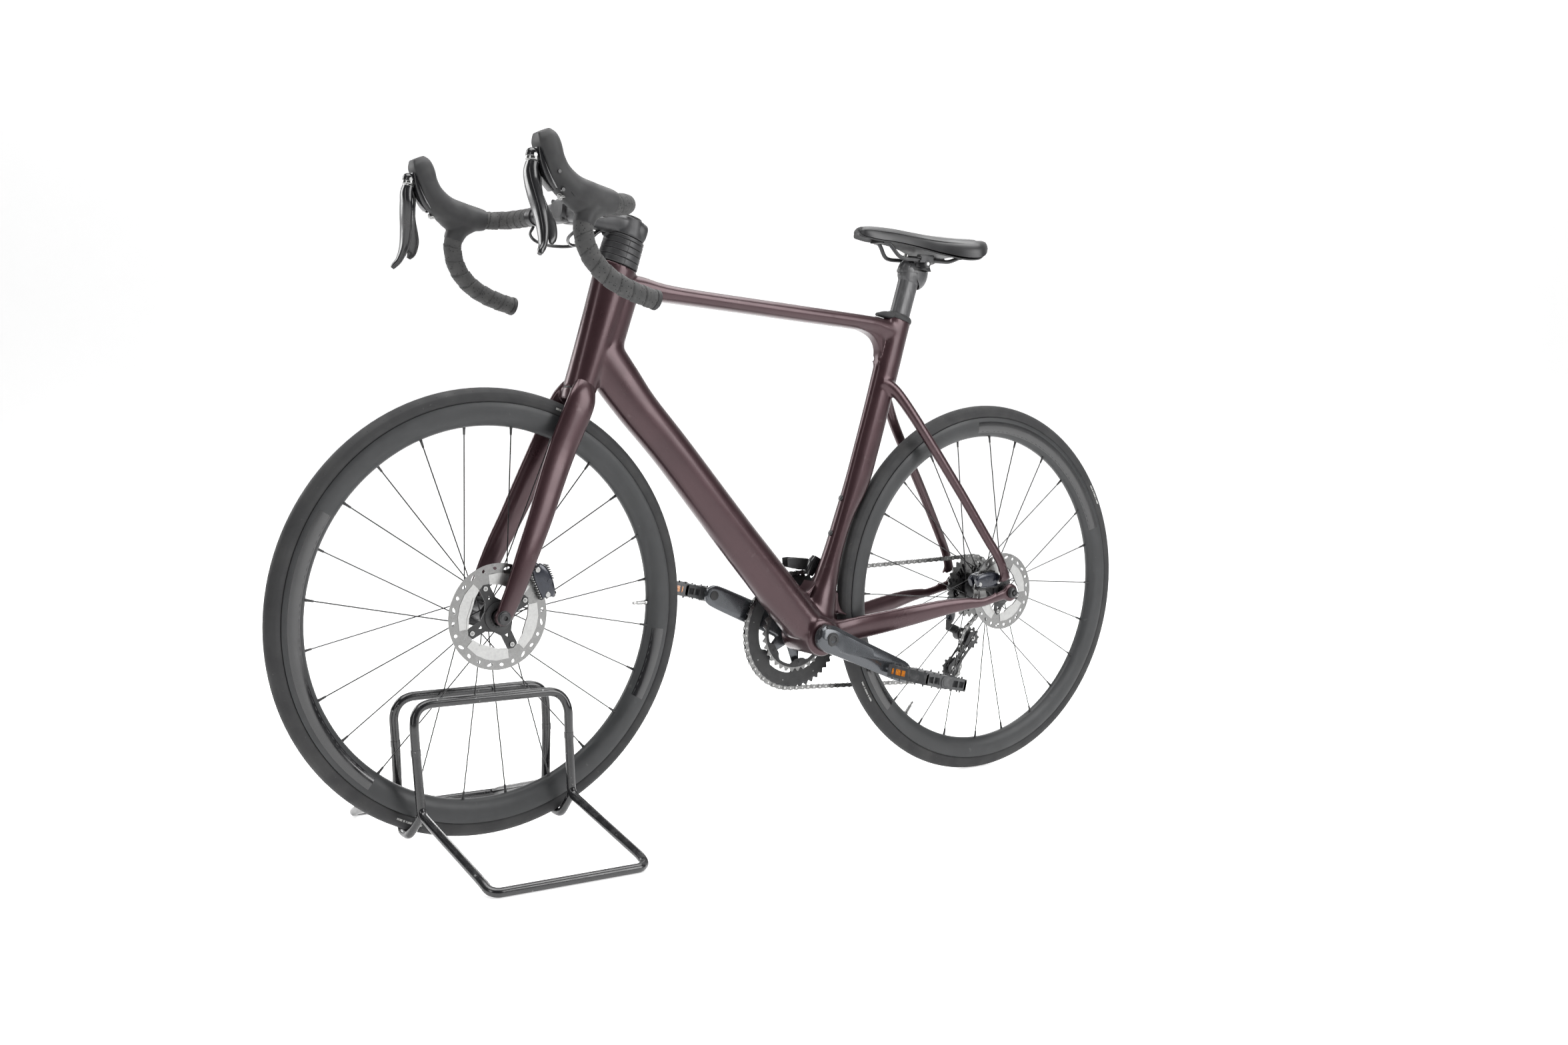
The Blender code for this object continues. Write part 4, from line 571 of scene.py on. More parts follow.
def dress(thing, body, looks, replaces=(), bevel=0.0, segments=2, angle=34):
    for look in [looks] if isinstance(looks, str) else looks:
        thing.data.materials.append(LOOKS[look])
    thing.data.shade_smooth()
    thing.data.set_sharp_from_angle(angle=math.radians(angle))
    if bevel:
        modifier = thing.modifiers.new("bevel", "BEVEL")
        modifier.width = bevel
        modifier.segments = segments
        modifier.limit_method = "ANGLE"
        modifier.angle_limit = math.radians(angle)
        modifier.harden_normals = True
    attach(thing, body)
    if replaces:
        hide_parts(*replaces)
    return thing


def moulded(name, form, body, look, replaces, voxel=0.0018, passes=10):
    """One seamless skin over overlapping solids, with their corners blended."""
    thing = piece(name, form, body, look, replaces)
    remesh = thing.modifiers.new("remesh", "REMESH")
    remesh.mode = "VOXEL"
    remesh.voxel_size = voxel
    remesh.use_smooth_shade = True
    even = thing.modifiers.new("smooth", "SMOOTH")
    even.factor = 0.5
    even.iterations = passes
    graph = bpy.context.evaluated_depsgraph_get()
    made = bpy.data.meshes.new_from_object(thing.evaluated_get(graph))
    thing.modifiers.clear()
    thing.data = made
    if not made.materials:
        made.materials.append(LOOKS[look])
    made.shade_smooth()
    return thing


def ease(thing, centres, passes=45):
    """Extra smoothing of a moulded skin, only inside the given (x, z, radius) discs."""
    group = thing.vertex_groups.new(name="ease")
    for vertex in thing.data.vertices:
        share = 0.0
        for x, z, radius in centres:
            gap = math.hypot(vertex.co.x - x, vertex.co.z - z) / radius
            share = max(share, min(1.0, 2.2 * (1.0 - gap)))
        if share > 0.0:
            group.add([vertex.index], share, "REPLACE")
    even = thing.modifiers.new("ease", "SMOOTH")
    even.factor = 0.5
    even.iterations = passes
    even.vertex_group = group.name
    graph = bpy.context.evaluated_depsgraph_get()
    made = bpy.data.meshes.new_from_object(thing.evaluated_get(graph))
    thing.modifiers.clear()
    thing.vertex_groups.clear()
    thing.data = made
    made.shade_smooth()


def fillet(corner, start, end, steps=8):
    """The outline between a corner and the curve that eases it."""
    corner = Vector(corner)
    start = Vector(start)
    end = Vector(end)
    outline = [tuple(corner)]
    for k in range(steps + 1):
        t = k / steps
        outline.append(tuple(start * (1 - t) ** 2 + corner * 2 * t * (1 - t) + end * t * t))
    return outline


# ---------------------------------------------------------------- frame
SEAT_TUBE = [
    (0.11, 0, 0.278, 0.036, 0.033), (0.124, 0, 0.33, 0.0322, 0.025), (0.1376, 0, 0.37, 0.0229, 0.018),
    (0.1528, 0, 0.42, 0.0168, 0.015), (0.174, 0, 0.48, 0.017, 0.0145), (0.2015, 0, 0.54, 0.0242, 0.0145),
    (0.2205, 0, 0.6, 0.0252, 0.0145), (0.2436, 0, 0.68, 0.025, 0.0155), (0.2695, 0, 0.775, 0.0254, 0.0165),
    (0.283, 0, 0.826, 0.0259, 0.017),
]
DOWN_TUBE = [
    (-0.3178, 0, 0.7484, 0.039, 0.0225), (-0.2801, 0, 0.7027, 0.0376, 0.0232), (-0.2441, 0, 0.6604, 0.0346, 0.024),
    (-0.178, 0, 0.5915, 0.0335, 0.025), (-0.06, 0, 0.46, 0.0345, 0.027), (0.03, 0, 0.363, 0.0355, 0.031),
    (0.092, 0, 0.296, 0.0335, 0.0395),
]
TOP_TUBE = [
    (-0.305, 0, 0.853, 0.0215, 0.018), (-0.25, 0, 0.851, 0.0195, 0.019), (-0.18, 0, 0.8435, 0.0145, 0.02),
    (0.05, 0, 0.827, 0.0143, 0.0185), (0.21, 0, 0.8155, 0.0143, 0.0175), (0.25, 0, 0.808, 0.017, 0.017),
    (0.275, 0, 0.805, 0.019, 0.016),
]
CHAINSTAY = [
    (0.105, 0.015, 0.277, 0.026, 0.022), (0.135, 0.023, 0.281, 0.0235, 0.014),
    (0.175, 0.0275, 0.2855, 0.0215, 0.0085), (0.21, 0.033, 0.291, 0.0205, 0.0082),
    (0.25, 0.0425, 0.298, 0.0195, 0.008), (0.3, 0.0525, 0.307, 0.018, 0.008), (0.36, 0.062, 0.317, 0.015, 0.0075),
    (0.405, 0.07, 0.322, 0.0115, 0.006), (0.44, 0.0755, 0.3235, 0.0085, 0.0044),
    (0.475, 0.0762, 0.331, 0.009, 0.0042), (0.5, 0.0762, 0.337, 0.011, 0.0042),
]
SEATSTAY = [
    (0.24, 0.008, 0.713, 0.01, 0.0085), (0.256, 0.012, 0.709, 0.0108, 0.0085),
    (0.277, 0.0205, 0.689, 0.0105, 0.008), (0.318, 0.037, 0.63, 0.01, 0.007),
    (0.395, 0.0535, 0.523, 0.0098, 0.0063), (0.4505, 0.0655, 0.442, 0.0098, 0.0055),
    (0.48, 0.0735, 0.398, 0.0102, 0.0044), (0.495, 0.0762, 0.36, 0.0115, 0.0042),
]
HEAD_BOTTOM = 0.351
HEAD_TOP = 0.556
HEAD_RADIUS = 0.0246
SHELL_HALF = 0.043
DROPOUT_INNER = 0.0713


def frame_shell():
    form = Form()
    form.skin(oval_rings(SEAT_TUBE))
    form.skin(oval_rings(DOWN_TUBE))
    form.skin(oval_rings(TOP_TUBE))
    head = [
        (*steer_at(HEAD_BOTTOM), HEAD_RADIUS + 0.001, HEAD_RADIUS + 0.0004),
        (*steer_at(0.42, -0.001), 0.0285, HEAD_RADIUS), (*steer_at(0.5, -0.0015), 0.032, HEAD_RADIUS - 0.0002),
        (*steer_at(HEAD_TOP, -0.0015), 0.0345, HEAD_RADIUS - 0.0004),
    ]
    form.skin(oval_rings(head, 5, 48, 0.95))
    form.rod(BRACKET - Y_AXIS * SHELL_HALF, BRACKET + Y_AXIS * SHELL_HALF, 0.0325, sides=48)
    web = [(*steer_at(d, -0.0185), 0.033, 0.02) for d in (0.392, 0.44, 0.5, 0.53)]
    form.skin(oval_rings(web))
    for side in (-1, 1):
        form.skin(oval_rings(mirror_rows(CHAINSTAY, side), sides=24))
        form.skin(oval_rings(mirror_rows(SEATSTAY, side), sides=24))
        inner = REAR_HUB + Y_AXIS * side * DROPOUT_INNER
        outer = REAR_HUB + Y_AXIS * side * (DROPOUT_INNER + 0.0098)
        form.rod(inner, outer, 0.0165, sides=36)
    # (corner, first tube, second tube, half width) of the webs that ease the joints
    webs = (
        ((0.248, 0.796), (0.185, 0.805), (0.235, 0.745), 0.012),
        ((-0.315, 0.826), (-0.32, 0.795), (-0.245, 0.833), 0.014),
        ((0.087, 0.336), (0.055, 0.364), (0.112, 0.383), 0.02),
        ((0.154, 0.312), (0.154, 0.35), (0.19, 0.307), 0.019),
        ((0.257, 0.73), (0.27, 0.755), (0.266, 0.702), 0.007), ((0.48, 0.36), (0.462, 0.33), (0.49, 0.39), 0.0),
    )
    for corner, first, second, half in webs[:-1]:
        form.plate([fillet(corner, first, second)], 2 * half, side_plane(0, 0, 0))
    corner, first, second, half = webs[-1]
    for side in (-1, 1):
        form.plate([fillet(corner, first, second)], 0.0076, side_plane(0, 0.0762 * side, 0))
    nodes = ["head_tube", "top_tube", "down_tube", "seat_tube"]
    nodes += [stay + side for stay in ("chainstay_", "seatstay_") for side in ("left", "right")]
    shell = moulded("frame_shell", form, "frame", "paint", nodes, 0.002, 12)
    ease(shell, ((-0.29, 0.745, 0.105), (0.105, 0.305, 0.085), (0.26, 0.795, 0.05)))


def frame_fittings():
    """Bottle bosses, bearing cups, the post's rubber seal, the axle and the changer hanger."""
    bosses = Form()
    for x, z in ((0.1675, 0.512), (0.147, 0.452)):
        out = Vector((-math.sin(SEAT_ANGLE), 0, math.cos(SEAT_ANGLE)))
        base = Vector((x, 0, z))
        bosses.rod(base, base + out * 0.0024, 0.005, sides=20)
        bosses.rod(base + out * 0.0023, base + out * 0.0036, 0.0036, 0.003, sides=20)
    slope = Vector((-0.6816, 0, 0.7317))
    normal = Vector((0.7317, 0, 0.6816))
    for distance in (-0.035, 0.035):
        base = Vector((-0.03, 0, 0.427)) + slope * distance + normal * 0.0315
        bosses.rod(base, base + normal * 0.0042, 0.0046, sides=20)
    piece("bottle_bosses", bosses, "frame", "satin", bevel=0.0005)

    cups = Form()
    for side in (-1, 1):
        start = BRACKET + Y_AXIS * side * 0.0425
        cups.rod(start, start + Y_AXIS * side * 0.0035, 0.0215, 0.0205, sides=40)
    piece("bottom_bracket_cups", cups, "frame", "matt", bevel=0.0006)

    seal = Form()
    start = Vector((0.283, 0, 0.8225))
    rings = []
    for lift, grow in ((0.0, 0.0006), (0.005, 0.001), (0.0085, -0.0006), (0.0105, -0.0026)):
        rings.append(oval(start + SEAT_DIR * lift, SEAT_DIR, 0.0252 + grow, 0.0166 + grow, 40))
    seal.skin(rings)
    seal.skin(
        [
            oval((0.235, 0, 0.8315), X_AXIS, 0.003, 0.005, 20), oval((0.25, 0, 0.832), X_AXIS, 0.006, 0.011, 20),
            oval((0.27, 0, 0.83), X_AXIS, 0.0075, 0.013, 20),
        ]
    )
    piece("post_seal", seal, "frame", "hood", bevel=0.0008)

    axle = Form()
    axle.rod(REAR_HUB - Y_AXIS * 0.0815, REAR_HUB + Y_AXIS * 0.08, 0.006, sides=24)
    cap = [(0.0, -0.089), (0.003, -0.089), (0.0034, -0.085), (0.006, -0.089)]
    cap += [(0.0088, -0.088), (0.01, -0.083), (0.01, -0.0816), (0.0, -0.0816)]
    axle.turned([(max(r, 0.00005), h) for r, h in cap], REAR_HUB, 40)
    axle.rod(REAR_HUB + Y_AXIS * 0.079, REAR_HUB + Y_AXIS * 0.0825, 0.0078, 0.007, sides=32)
    piece("rear_axle_cap", axle, "frame", "satin", ["rear_axle"], bevel=0.0004)

    hanger = Form()
    place = REAR_HUB + Vector((0.004, 0.0762, -0.022))
    hanger.block(place, (0.013, 0.0056, 0.027))
    hanger.rod(place + Vector((0.002, -0.003, -0.012)), place + Vector((0.002, 0.0028, -0.012)), 0.0078, sides=28)
    piece("changer_hanger", hanger, "frame", "matt", bevel=0.0009)


# ---------------------------------------------------------------- fork
BLADE = [
    (-0.348, 0.012, 0.704, 0.015, 0.01), (-0.356, 0.021, 0.686, 0.0215, 0.0105),
    (-0.366, 0.0265, 0.664, 0.0245, 0.0088), (-0.396, 0.03, 0.6, 0.0235, 0.0087),
    (-0.42, 0.0375, 0.545, 0.022, 0.0082), (-0.441, 0.045, 0.495, 0.0205, 0.0077),
    (-0.464, 0.052, 0.445, 0.0188, 0.007), (-0.483, 0.0555, 0.4, 0.0168, 0.0057),
    (-0.5, 0.0558, 0.362, 0.0145, 0.0054), (-0.507, 0.0558, 0.347, 0.011, 0.0052),
]


def fork():
    form = Form()
    skirt = ((-0.024, 0.013, 0.02), (-0.018, 0.0235, 0.029), (-0.01, 0.0245, 0.0275), (-0.0006, 0.0254, 0.0254))
    rings = [oval(steer_at(HEAD_BOTTOM + d), STEER_DIR, a, b, 48, 1.0) for d, a, b in skirt]
    form.skin(rings)
    for side in (-1, 1):
        form.skin(oval_rings(mirror_rows(BLADE, side), sides=28))
        inner = FRONT_HUB + Y_AXIS * side * 0.0504
        outer = FRONT_HUB + Y_AXIS * side * 0.0604
        form.rod(inner, outer, 0.0126, sides=36)
        for corner, first, second in (((-0.385, 0.655), (-0.345, 0.69), (-0.385, 0.64)),):
            form.plate([fillet(corner, first, second)], 0.01, side_plane(0, 0.024 * side, 0))
    nodes = ["fork_crown", "fork_blade_left", "fork_blade_right"]
    moulded("fork_shell", form, "fork", "paint", nodes, 0.0017, 8)
    steerer = Form().rod(steer_at(HEAD_BOTTOM - 0.004), steer_at(0.628), 0.0143, sides=32)
    piece("steerer", steerer, "fork", "matt")
    gasket = Form().rod(steer_at(HEAD_BOTTOM - 0.0012), steer_at(HEAD_BOTTOM + 0.001), 0.0236, sides=48)
    piece("crown_race", gasket, "fork", "matt")

    axle = Form()
    axle.rod(FRONT_HUB - Y_AXIS * 0.06, FRONT_HUB + Y_AXIS * 0.0612, 0.006, sides=24)
    cap = [(0.00005, -0.0622), (0.0032, -0.0622), (0.0036, -0.0652), (0.0046, -0.0655)]
    cap += [(0.0078, -0.0655), (0.0094, -0.064), (0.0096, -0.0604), (0.00005, -0.0604)]
    axle.turned(cap, FRONT_HUB, 40)
    for radius, depth in ((0.011, 0.0612), (0.0085, 0.0618)):
        axle.rod(FRONT_HUB - Y_AXIS * 0.059, FRONT_HUB - Y_AXIS * depth, radius, sides=40)
    axle.rod(FRONT_HUB + Y_AXIS * 0.06, FRONT_HUB + Y_AXIS * 0.0622, 0.0072, sides=32)
    piece("front_axle_cap", axle, "fork", "satin", ["front_axle"], bevel=0.0004)


# ---------------------------------------------------------------- wheels
TYRE_TUBE = 0.0135
TYRE_RING = TYRE_OUTER - TYRE_TUBE
RIM_INNER = 0.281
SPOKE_COUNT = 24
SPOKE_CIRCLE = 0.0205
SPOKE_LEAN = math.radians(58)
WHEEL_STEPS = 144


def wheel_point(hub, radius, angle, across):
    return hub + Vector((radius * math.cos(angle), across, radius * math.sin(angle)))


def tyre(name, body, hub):
    """Round casing with a crowned tread, shoulder grooves and a bead line above the rim."""
    profile = []
    for k in range(-16, 17):
        angle = math.radians(8.4) * k
        radius = TYRE_TUBE
        if abs(k) in (6, 9):
            radius -= 0.0003
        if abs(k) in (13, 14):
            radius += 0.00025
        profile.append((TYRE_RING + radius * math.cos(angle), radius * math.sin(angle)))
    profile.append((TYRE_RING - TYRE_TUBE, 0.0))
    form = Form().turned(profile, hub, WHEEL_STEPS)
    for k in range(72):
        # pairs of short moulded marks round each shoulder of the tread
        angle = 2 * math.pi * k / 72
        for side in (-1, 1):
            lean = math.radians(52) * side
            radius = TYRE_RING + (TYRE_TUBE - 0.0001) * math.cos(lean)
            across = (TYRE_TUBE - 0.0001) * math.sin(lean)
            a = wheel_point(hub, radius, angle, across)
            b = wheel_point(hub, radius + 0.003, angle + 0.012, across - side * 0.0036)
            form.rod(a, b, 0.00035, sides=4)
    piece(name, form, body, "tyre", [name.replace("_casing", "")], angle=50)


def sidewall_marks(name, body, hub, starts):
    """Plain dashes in place of the maker's print."""
    form = Form()
    for start in starts:
        for k in range(9):
            angle = math.radians(start) + k * 0.014
            width = 0.0045 if k % 4 else 0.0095
            for side in (-1, 1):
                lean = math.radians(84) * side
                radius = TYRE_RING + (TYRE_TUBE + 0.00012) * math.cos(lean)
                across = (TYRE_TUBE + 0.00012) * math.sin(lean)
                centre = wheel_point(hub, radius, angle, across)
                turn = Matrix.Rotation(-angle, 4, "Y")
                form.block(centre, (0.003, 0.0003, width * 0.62), turn)
    piece(name, form, body, "print")


def rim(name, body, hub, panels):
    """Deep rim: rounded spoke edge, bulged walls, brake-free flank and a hooked bed."""
    bed = TYRE_TUBE + 0.0006
    half = [
        (RIM_INNER, 0.0), (RIM_INNER + 0.0004, 0.0028), (RIM_INNER + 0.0026, 0.0062), (RIM_INNER + 0.008, 0.01),
        (0.295, 0.0124), (0.302, 0.0135), (0.309, 0.0137), (0.315, 0.0133), (0.3164, 0.0126), (0.3166, 0.0112),
        (TYRE_RING - math.sqrt(bed**2 - 0.0095**2), 0.0095), (TYRE_RING - bed, 0.0),
    ]
    outer = smooth(half[:7], 3)[:-1] + half[6:]
    other = [(radius, -offset) for radius, offset in reversed(outer[1:-1])]
    form = Form().turned(outer + other, hub, WHEEL_STEPS)
    if panels:
        wall = smooth(half[3:7], 3)
        wall = [(radius, offset + 0.00012) for radius, offset in wall]
        for first, last in panels:
            steps = max(2, round((last - first) / 2))
            for side in (-1, 1):
                rings = []
                for k in range(steps + 1):
                    angle = math.radians(first + (last - first) * k / steps)
                    ring = [wheel_point(hub, r, angle, side * h) for r, h in wall]
                    back = [wheel_point(hub, r, angle, side * (h - 0.0004)) for r, h in reversed(wall)]
                    rings.append(ring + back)
                form.skin(rings, 1)
    return piece(name, form, body, ["rim", "rim_gloss"], [name.replace("_deep", "")], angle=40)


def hub(name, body, centre, flanges, half_length, first_spoke, shell=0.0145):
    """Hub shell with flanges and end caps, crossed spokes and their nipples."""
    left, right = flanges
    bore = 0.0066
    profile = [
        (bore, -half_length), (0.0098, -half_length), (0.0104, -half_length + 0.001), (0.0106, left - 0.009),
        (0.0165, left - 0.008), (0.0178, left - 0.004), (0.0228, left - 0.0022), (0.0237, left - 0.001),
        (0.0237, left + 0.001), (0.0228, left + 0.0022), (shell + 0.0006, left + 0.0062),
        (shell - 0.0012, (left + right) / 2), (shell + 0.0006, right - 0.0062), (0.0228, right - 0.0022),
        (0.0237, right - 0.001), (0.0237, right + 0.001), (0.0228, right + 0.0022), (0.0165, right + 0.0046),
        (0.0106, right + 0.007), (0.0104, half_length - 0.001), (0.0098, half_length), (bore, half_length),
    ]
    form = Form().turned(profile, centre, 48)
    for k in range(SPOKE_COUNT):
        rim_angle = first_spoke + 2 * math.pi / SPOKE_COUNT * k
        across = left if k % 2 else right
        lean = 1 if (k // 2) % 2 else -1
        start = wheel_point(centre, SPOKE_CIRCLE, rim_angle + lean * SPOKE_LEAN, across + lean * 0.0015)
        end = wheel_point(centre, RIM_INNER + 0.0012, rim_angle, 0.003 * (-1 if k % 2 else 1))
        along = (end - start).normalized()
        form.rod(start, end, 0.00095, sides=8)
        form.rod(end - along * 0.0125, end - along * 0.003, 0.0016, 0.002, sides=10, look=1)
        form.rod(end - along * 0.003, end, 0.0023, sides=10, look=1)
        form.rod(start - Y_AXIS * lean * 0.0008, start + Y_AXIS * lean * 0.0012, 0.0017, sides=10, look=1)
    node = name.replace("_laced", "")
    piece(name, form, body, ["spoke", "matt"], [node], angle=40)


def rotor(name, body, centre, across, outer, first_arm):
    """Slotted steel ring, folded alloy cooling fins and a black four-armed carrier with rivets."""
    track = outer - 0.0155
    form = Form()
    ring_inner = []
    for k in range(4):
        arm = first_arm + math.pi / 2 * k
        for radius, offset in ((track, -16), (track - 0.013, -8), (track - 0.0195, -5.5)):
            ring_inner.append((radius, arm + math.radians(offset)))
        for radius, offset in ((track - 0.0208, 0), (track - 0.0195, 5.5), (track - 0.013, 8)):
            ring_inner.append((radius, arm + math.radians(offset)))
        for step in range(8):
            ring_inner.append((track, arm + math.radians(16 + 58 * step / 8)))
    loops = [circle(outer, 96), [(r * math.cos(a), r * math.sin(a)) for r, a in ring_inner]]
    for k in range(24):
        angle = first_arm + math.radians(15) * (k + 0.5)
        kind = k % 3
        radius = outer - 0.0074
        length = (0.0052, 0.0036, 0.0026)[kind]
        wide = (0.0021, 0.0024, 0.003)[kind]
        tilt = math.radians((-26, 18, 40)[kind])
        slot = []
        for u, v in circle(1.0, 10):
            x = u * length * math.cos(tilt) - v * wide * math.sin(tilt)
            y = u * length * math.sin(tilt) + v * wide * math.cos(tilt)
            slot.append(
                (
                    (radius + y) * math.cos(angle) - x * math.sin(angle),
                    (radius + y) * math.sin(angle) + x * math.cos(angle),
                )
            )
        loops.append(slot)
    place = side_plane(centre.x, centre.y + across, centre.z)
    form.plate(loops, 0.0018, place, 0)
    for k in range(4):
        arm = first_arm + math.pi / 2 * k
        fin = []
        for radius, offset in ((track + 0.0012, 12), (track + 0.0012, 30), (track + 0.0012, 45)):
            fin.append((radius, offset))
        for radius, offset in ((track + 0.0012, 60), (track + 0.0012, 78), (track - 0.0135, 80)):
            fin.append((radius, offset))
        for radius, offset in ((track - 0.0165, 62), (track - 0.019, 45), (track - 0.016, 26)):
            fin.append((radius, offset))
        fin.append((track - 0.0125, 10))
        outline = []
        for radius, offset in fin:
            angle = arm + math.radians(offset)
            outline.append((radius * math.cos(angle), radius * math.sin(angle)))
        form.plate([outline], 0.0012, place @ Matrix.Translation((0, 0, 0.0009)), 1)
        inner = [p for p in outline[5:]]
        shelf = [(x * 1.07, y * 1.07) for x, y in reversed(inner[:-1])]
        form.plate([inner[:-1] + shelf], 0.003, place @ Matrix.Translation((0, 0, 0.0006)), 1)
        reach = track - 0.0128
        star = []
        for radius, offset in ((0.024, -44), (0.03, -17), (reach, -9.5), (reach + 0.003, 0)):
            star.append((radius, offset))
        for radius, offset in ((reach, 9.5), (0.03, 17), (0.024, 44), (0.015, 44), (0.015, -44)):
            star.append((radius, offset))
        outline = []
        for radius, offset in star:
            angle = arm + math.radians(offset)
            outline.append((radius * math.cos(angle), radius * math.sin(angle)))
        eye = []
        for radius, offset in ((0.03, -6), (0.03, 6), (0.0365, 0)):
            angle = arm + math.radians(offset)
            eye.append((radius * math.cos(angle), radius * math.sin(angle)))
        form.plate([outline, eye], 0.0034, place @ Matrix.Translation((0, 0, -0.0006)), 2)
        rivet = wheel_point(centre, reach - 0.0035, arm, across)
        form.rod(rivet - Y_AXIS * 0.003, rivet + Y_AXIS * 0.003, 0.0036, sides=20, look=1)
        form.rod(rivet - Y_AXIS * 0.0034, rivet + Y_AXIS * 0.0034, 0.002, sides=14, look=0)
    ring = [(0.0135, across - 0.0042), (0.0185, across - 0.0042), (0.0225, across - 0.0028)]
    ring += [(0.0225, across + 0.004), (0.0135, across + 0.004)]
    form.turned(ring, centre, 40, 2)
    for k in range(20):
        angle = 2 * math.pi * k / 20
        place = wheel_point(centre, 0.015, angle, across - 0.004)
        form.block(place, (0.003, 0.0016, 0.0016), Matrix.Rotation(-angle, 4, "Y"), 2)
    node = name.replace("_disc", "")
    piece(name, form, body, ["rotor", "fin", "matt"], [node], bevel=0.0003, segments=1)


def valve(name, body, centre, angle):
    form = Form()
    for first, last, radius in (
        (-0.0005, -0.0035, 0.0042), (-0.003, -0.018, 0.0029), (-0.018, -0.0215, 0.0019), (-0.0212, -0.0245, 0.0026),
        (-0.0245, -0.0262, 0.0012),
    ):
        start = wheel_point(centre, RIM_INNER + first, angle, 0)
        form.rod(start, wheel_point(centre, RIM_INNER + last, angle, 0), radius, sides=18)
    for k in range(8):
        start = wheel_point(centre, RIM_INNER - 0.005 - 0.0015 * k, angle, 0)
        form.rod(start, wheel_point(centre, RIM_INNER - 0.0056 - 0.0015 * k, angle, 0), 0.00315, sides=18)
    piece(name, form, body, "nickel", [name.replace("_stem", "")], bevel=0.0002, segments=1)


def wheels():
    tyre("front_tyre_casing", "front_wheel", FRONT_HUB)
    tyre("rear_tyre_casing", "rear_wheel", REAR_HUB)
    sidewall_marks("front_tyre_marks", "front_wheel", FRONT_HUB, (64, 244))
    sidewall_marks("rear_tyre_marks", "rear_wheel", REAR_HUB, (28, 208))
    rim("front_rim_deep", "front_wheel", FRONT_HUB, ((148, 232), (-30, -8)))
    rim("rear_rim_deep", "rear_wheel", REAR_HUB, ((20, 96), (200, 222)))
    hub("front_hub_laced", "front_wheel", FRONT_HUB, (-0.026, 0.034), 0.05, math.radians(7.6))
    hub("rear_hub_laced", "rear_wheel", REAR_HUB, (-0.035, 0.0185), 0.071, math.radians(14.1))
    rotor("front_rotor_disc", "front_wheel", FRONT_HUB, -0.0405, 0.08, math.radians(27.5))
    rotor("rear_rotor_disc", "rear_wheel", REAR_HUB, -0.0555, 0.07, math.radians(-15))
    valve("front_valve_stem", "front_wheel", FRONT_HUB, 0.0)
    valve("rear_valve_stem", "rear_wheel", REAR_HUB, math.radians(231.6))


# ---------------------------------------------------------------- cockpit
TAPE_RADIUS = 0.01345
TAPE_PITCH = 0.0215
TAPE_STEP = 0.0012
TAPE_GROOVE = 0.0017
TAPE_ROUTE = [
    (-0.376, 0.1, 0.958), (-0.376, 0.135, 0.958), (-0.3775, 0.165, 0.9575), (-0.386, 0.187, 0.9565),
    (-0.405, 0.2, 0.9555), (-0.432, 0.205, 0.953), (-0.456, 0.207, 0.942), (-0.4665, 0.2095, 0.918),
    (-0.4625, 0.2125, 0.891), (-0.45, 0.2155, 0.869), (-0.429, 0.2185, 0.85), (-0.403, 0.2205, 0.8365),
    (-0.376, 0.2215, 0.8275), (-0.352, 0.222, 0.8215),
]
HOOD = [
    (-0.415, 0.203, 0.955, 0.0158, 0.0158), (-0.42, 0.2035, 0.9552, 0.0172, 0.0168),
    (-0.43, 0.2045, 0.956, 0.019, 0.018), (-0.456, 0.205, 0.959, 0.022, 0.0192),
    (-0.483, 0.205, 0.968, 0.0213, 0.019), (-0.504, 0.205, 0.985, 0.02, 0.0182),
    (-0.516, 0.205, 1.003, 0.0205, 0.0175), (-0.523, 0.205, 1.02, 0.0222, 0.0175),
    (-0.528, 0.205, 1.033, 0.02, 0.016), (-0.532, 0.205, 1.042, 0.0125, 0.011),
]
LEVER = [
    (-0.5448, 0.2052, 0.9985, 0.0078, 0.0095), (-0.547, 0.206, 0.988, 0.0086, 0.011),
    (-0.5465, 0.2075, 0.974, 0.0082, 0.0126), (-0.544, 0.213, 0.956, 0.0082, 0.0138),
    (-0.5405, 0.2215, 0.932, 0.0076, 0.013), (-0.5398, 0.23, 0.907, 0.0064, 0.0105),
    (-0.544, 0.2385, 0.887, 0.005, 0.0068), (-0.55, 0.2437, 0.8775, 0.0044, 0.0047),
    (-0.5528, 0.2453, 0.873, 0.003, 0.0032),
]
PADDLE = [
    (-0.532, 0.212, 0.953, 0.0026, 0.0024), (-0.531, 0.215, 0.943, 0.0044, 0.0028),
    (-0.528, 0.221, 0.926, 0.0078, 0.003), (-0.5262, 0.2255, 0.913, 0.0092, 0.003),
    (-0.5265, 0.231, 0.898, 0.0074, 0.0027), (-0.53, 0.235, 0.889, 0.0034, 0.0018),
]
LEVER_PIVOT = Vector((-0.544, 0.205, 1.008))


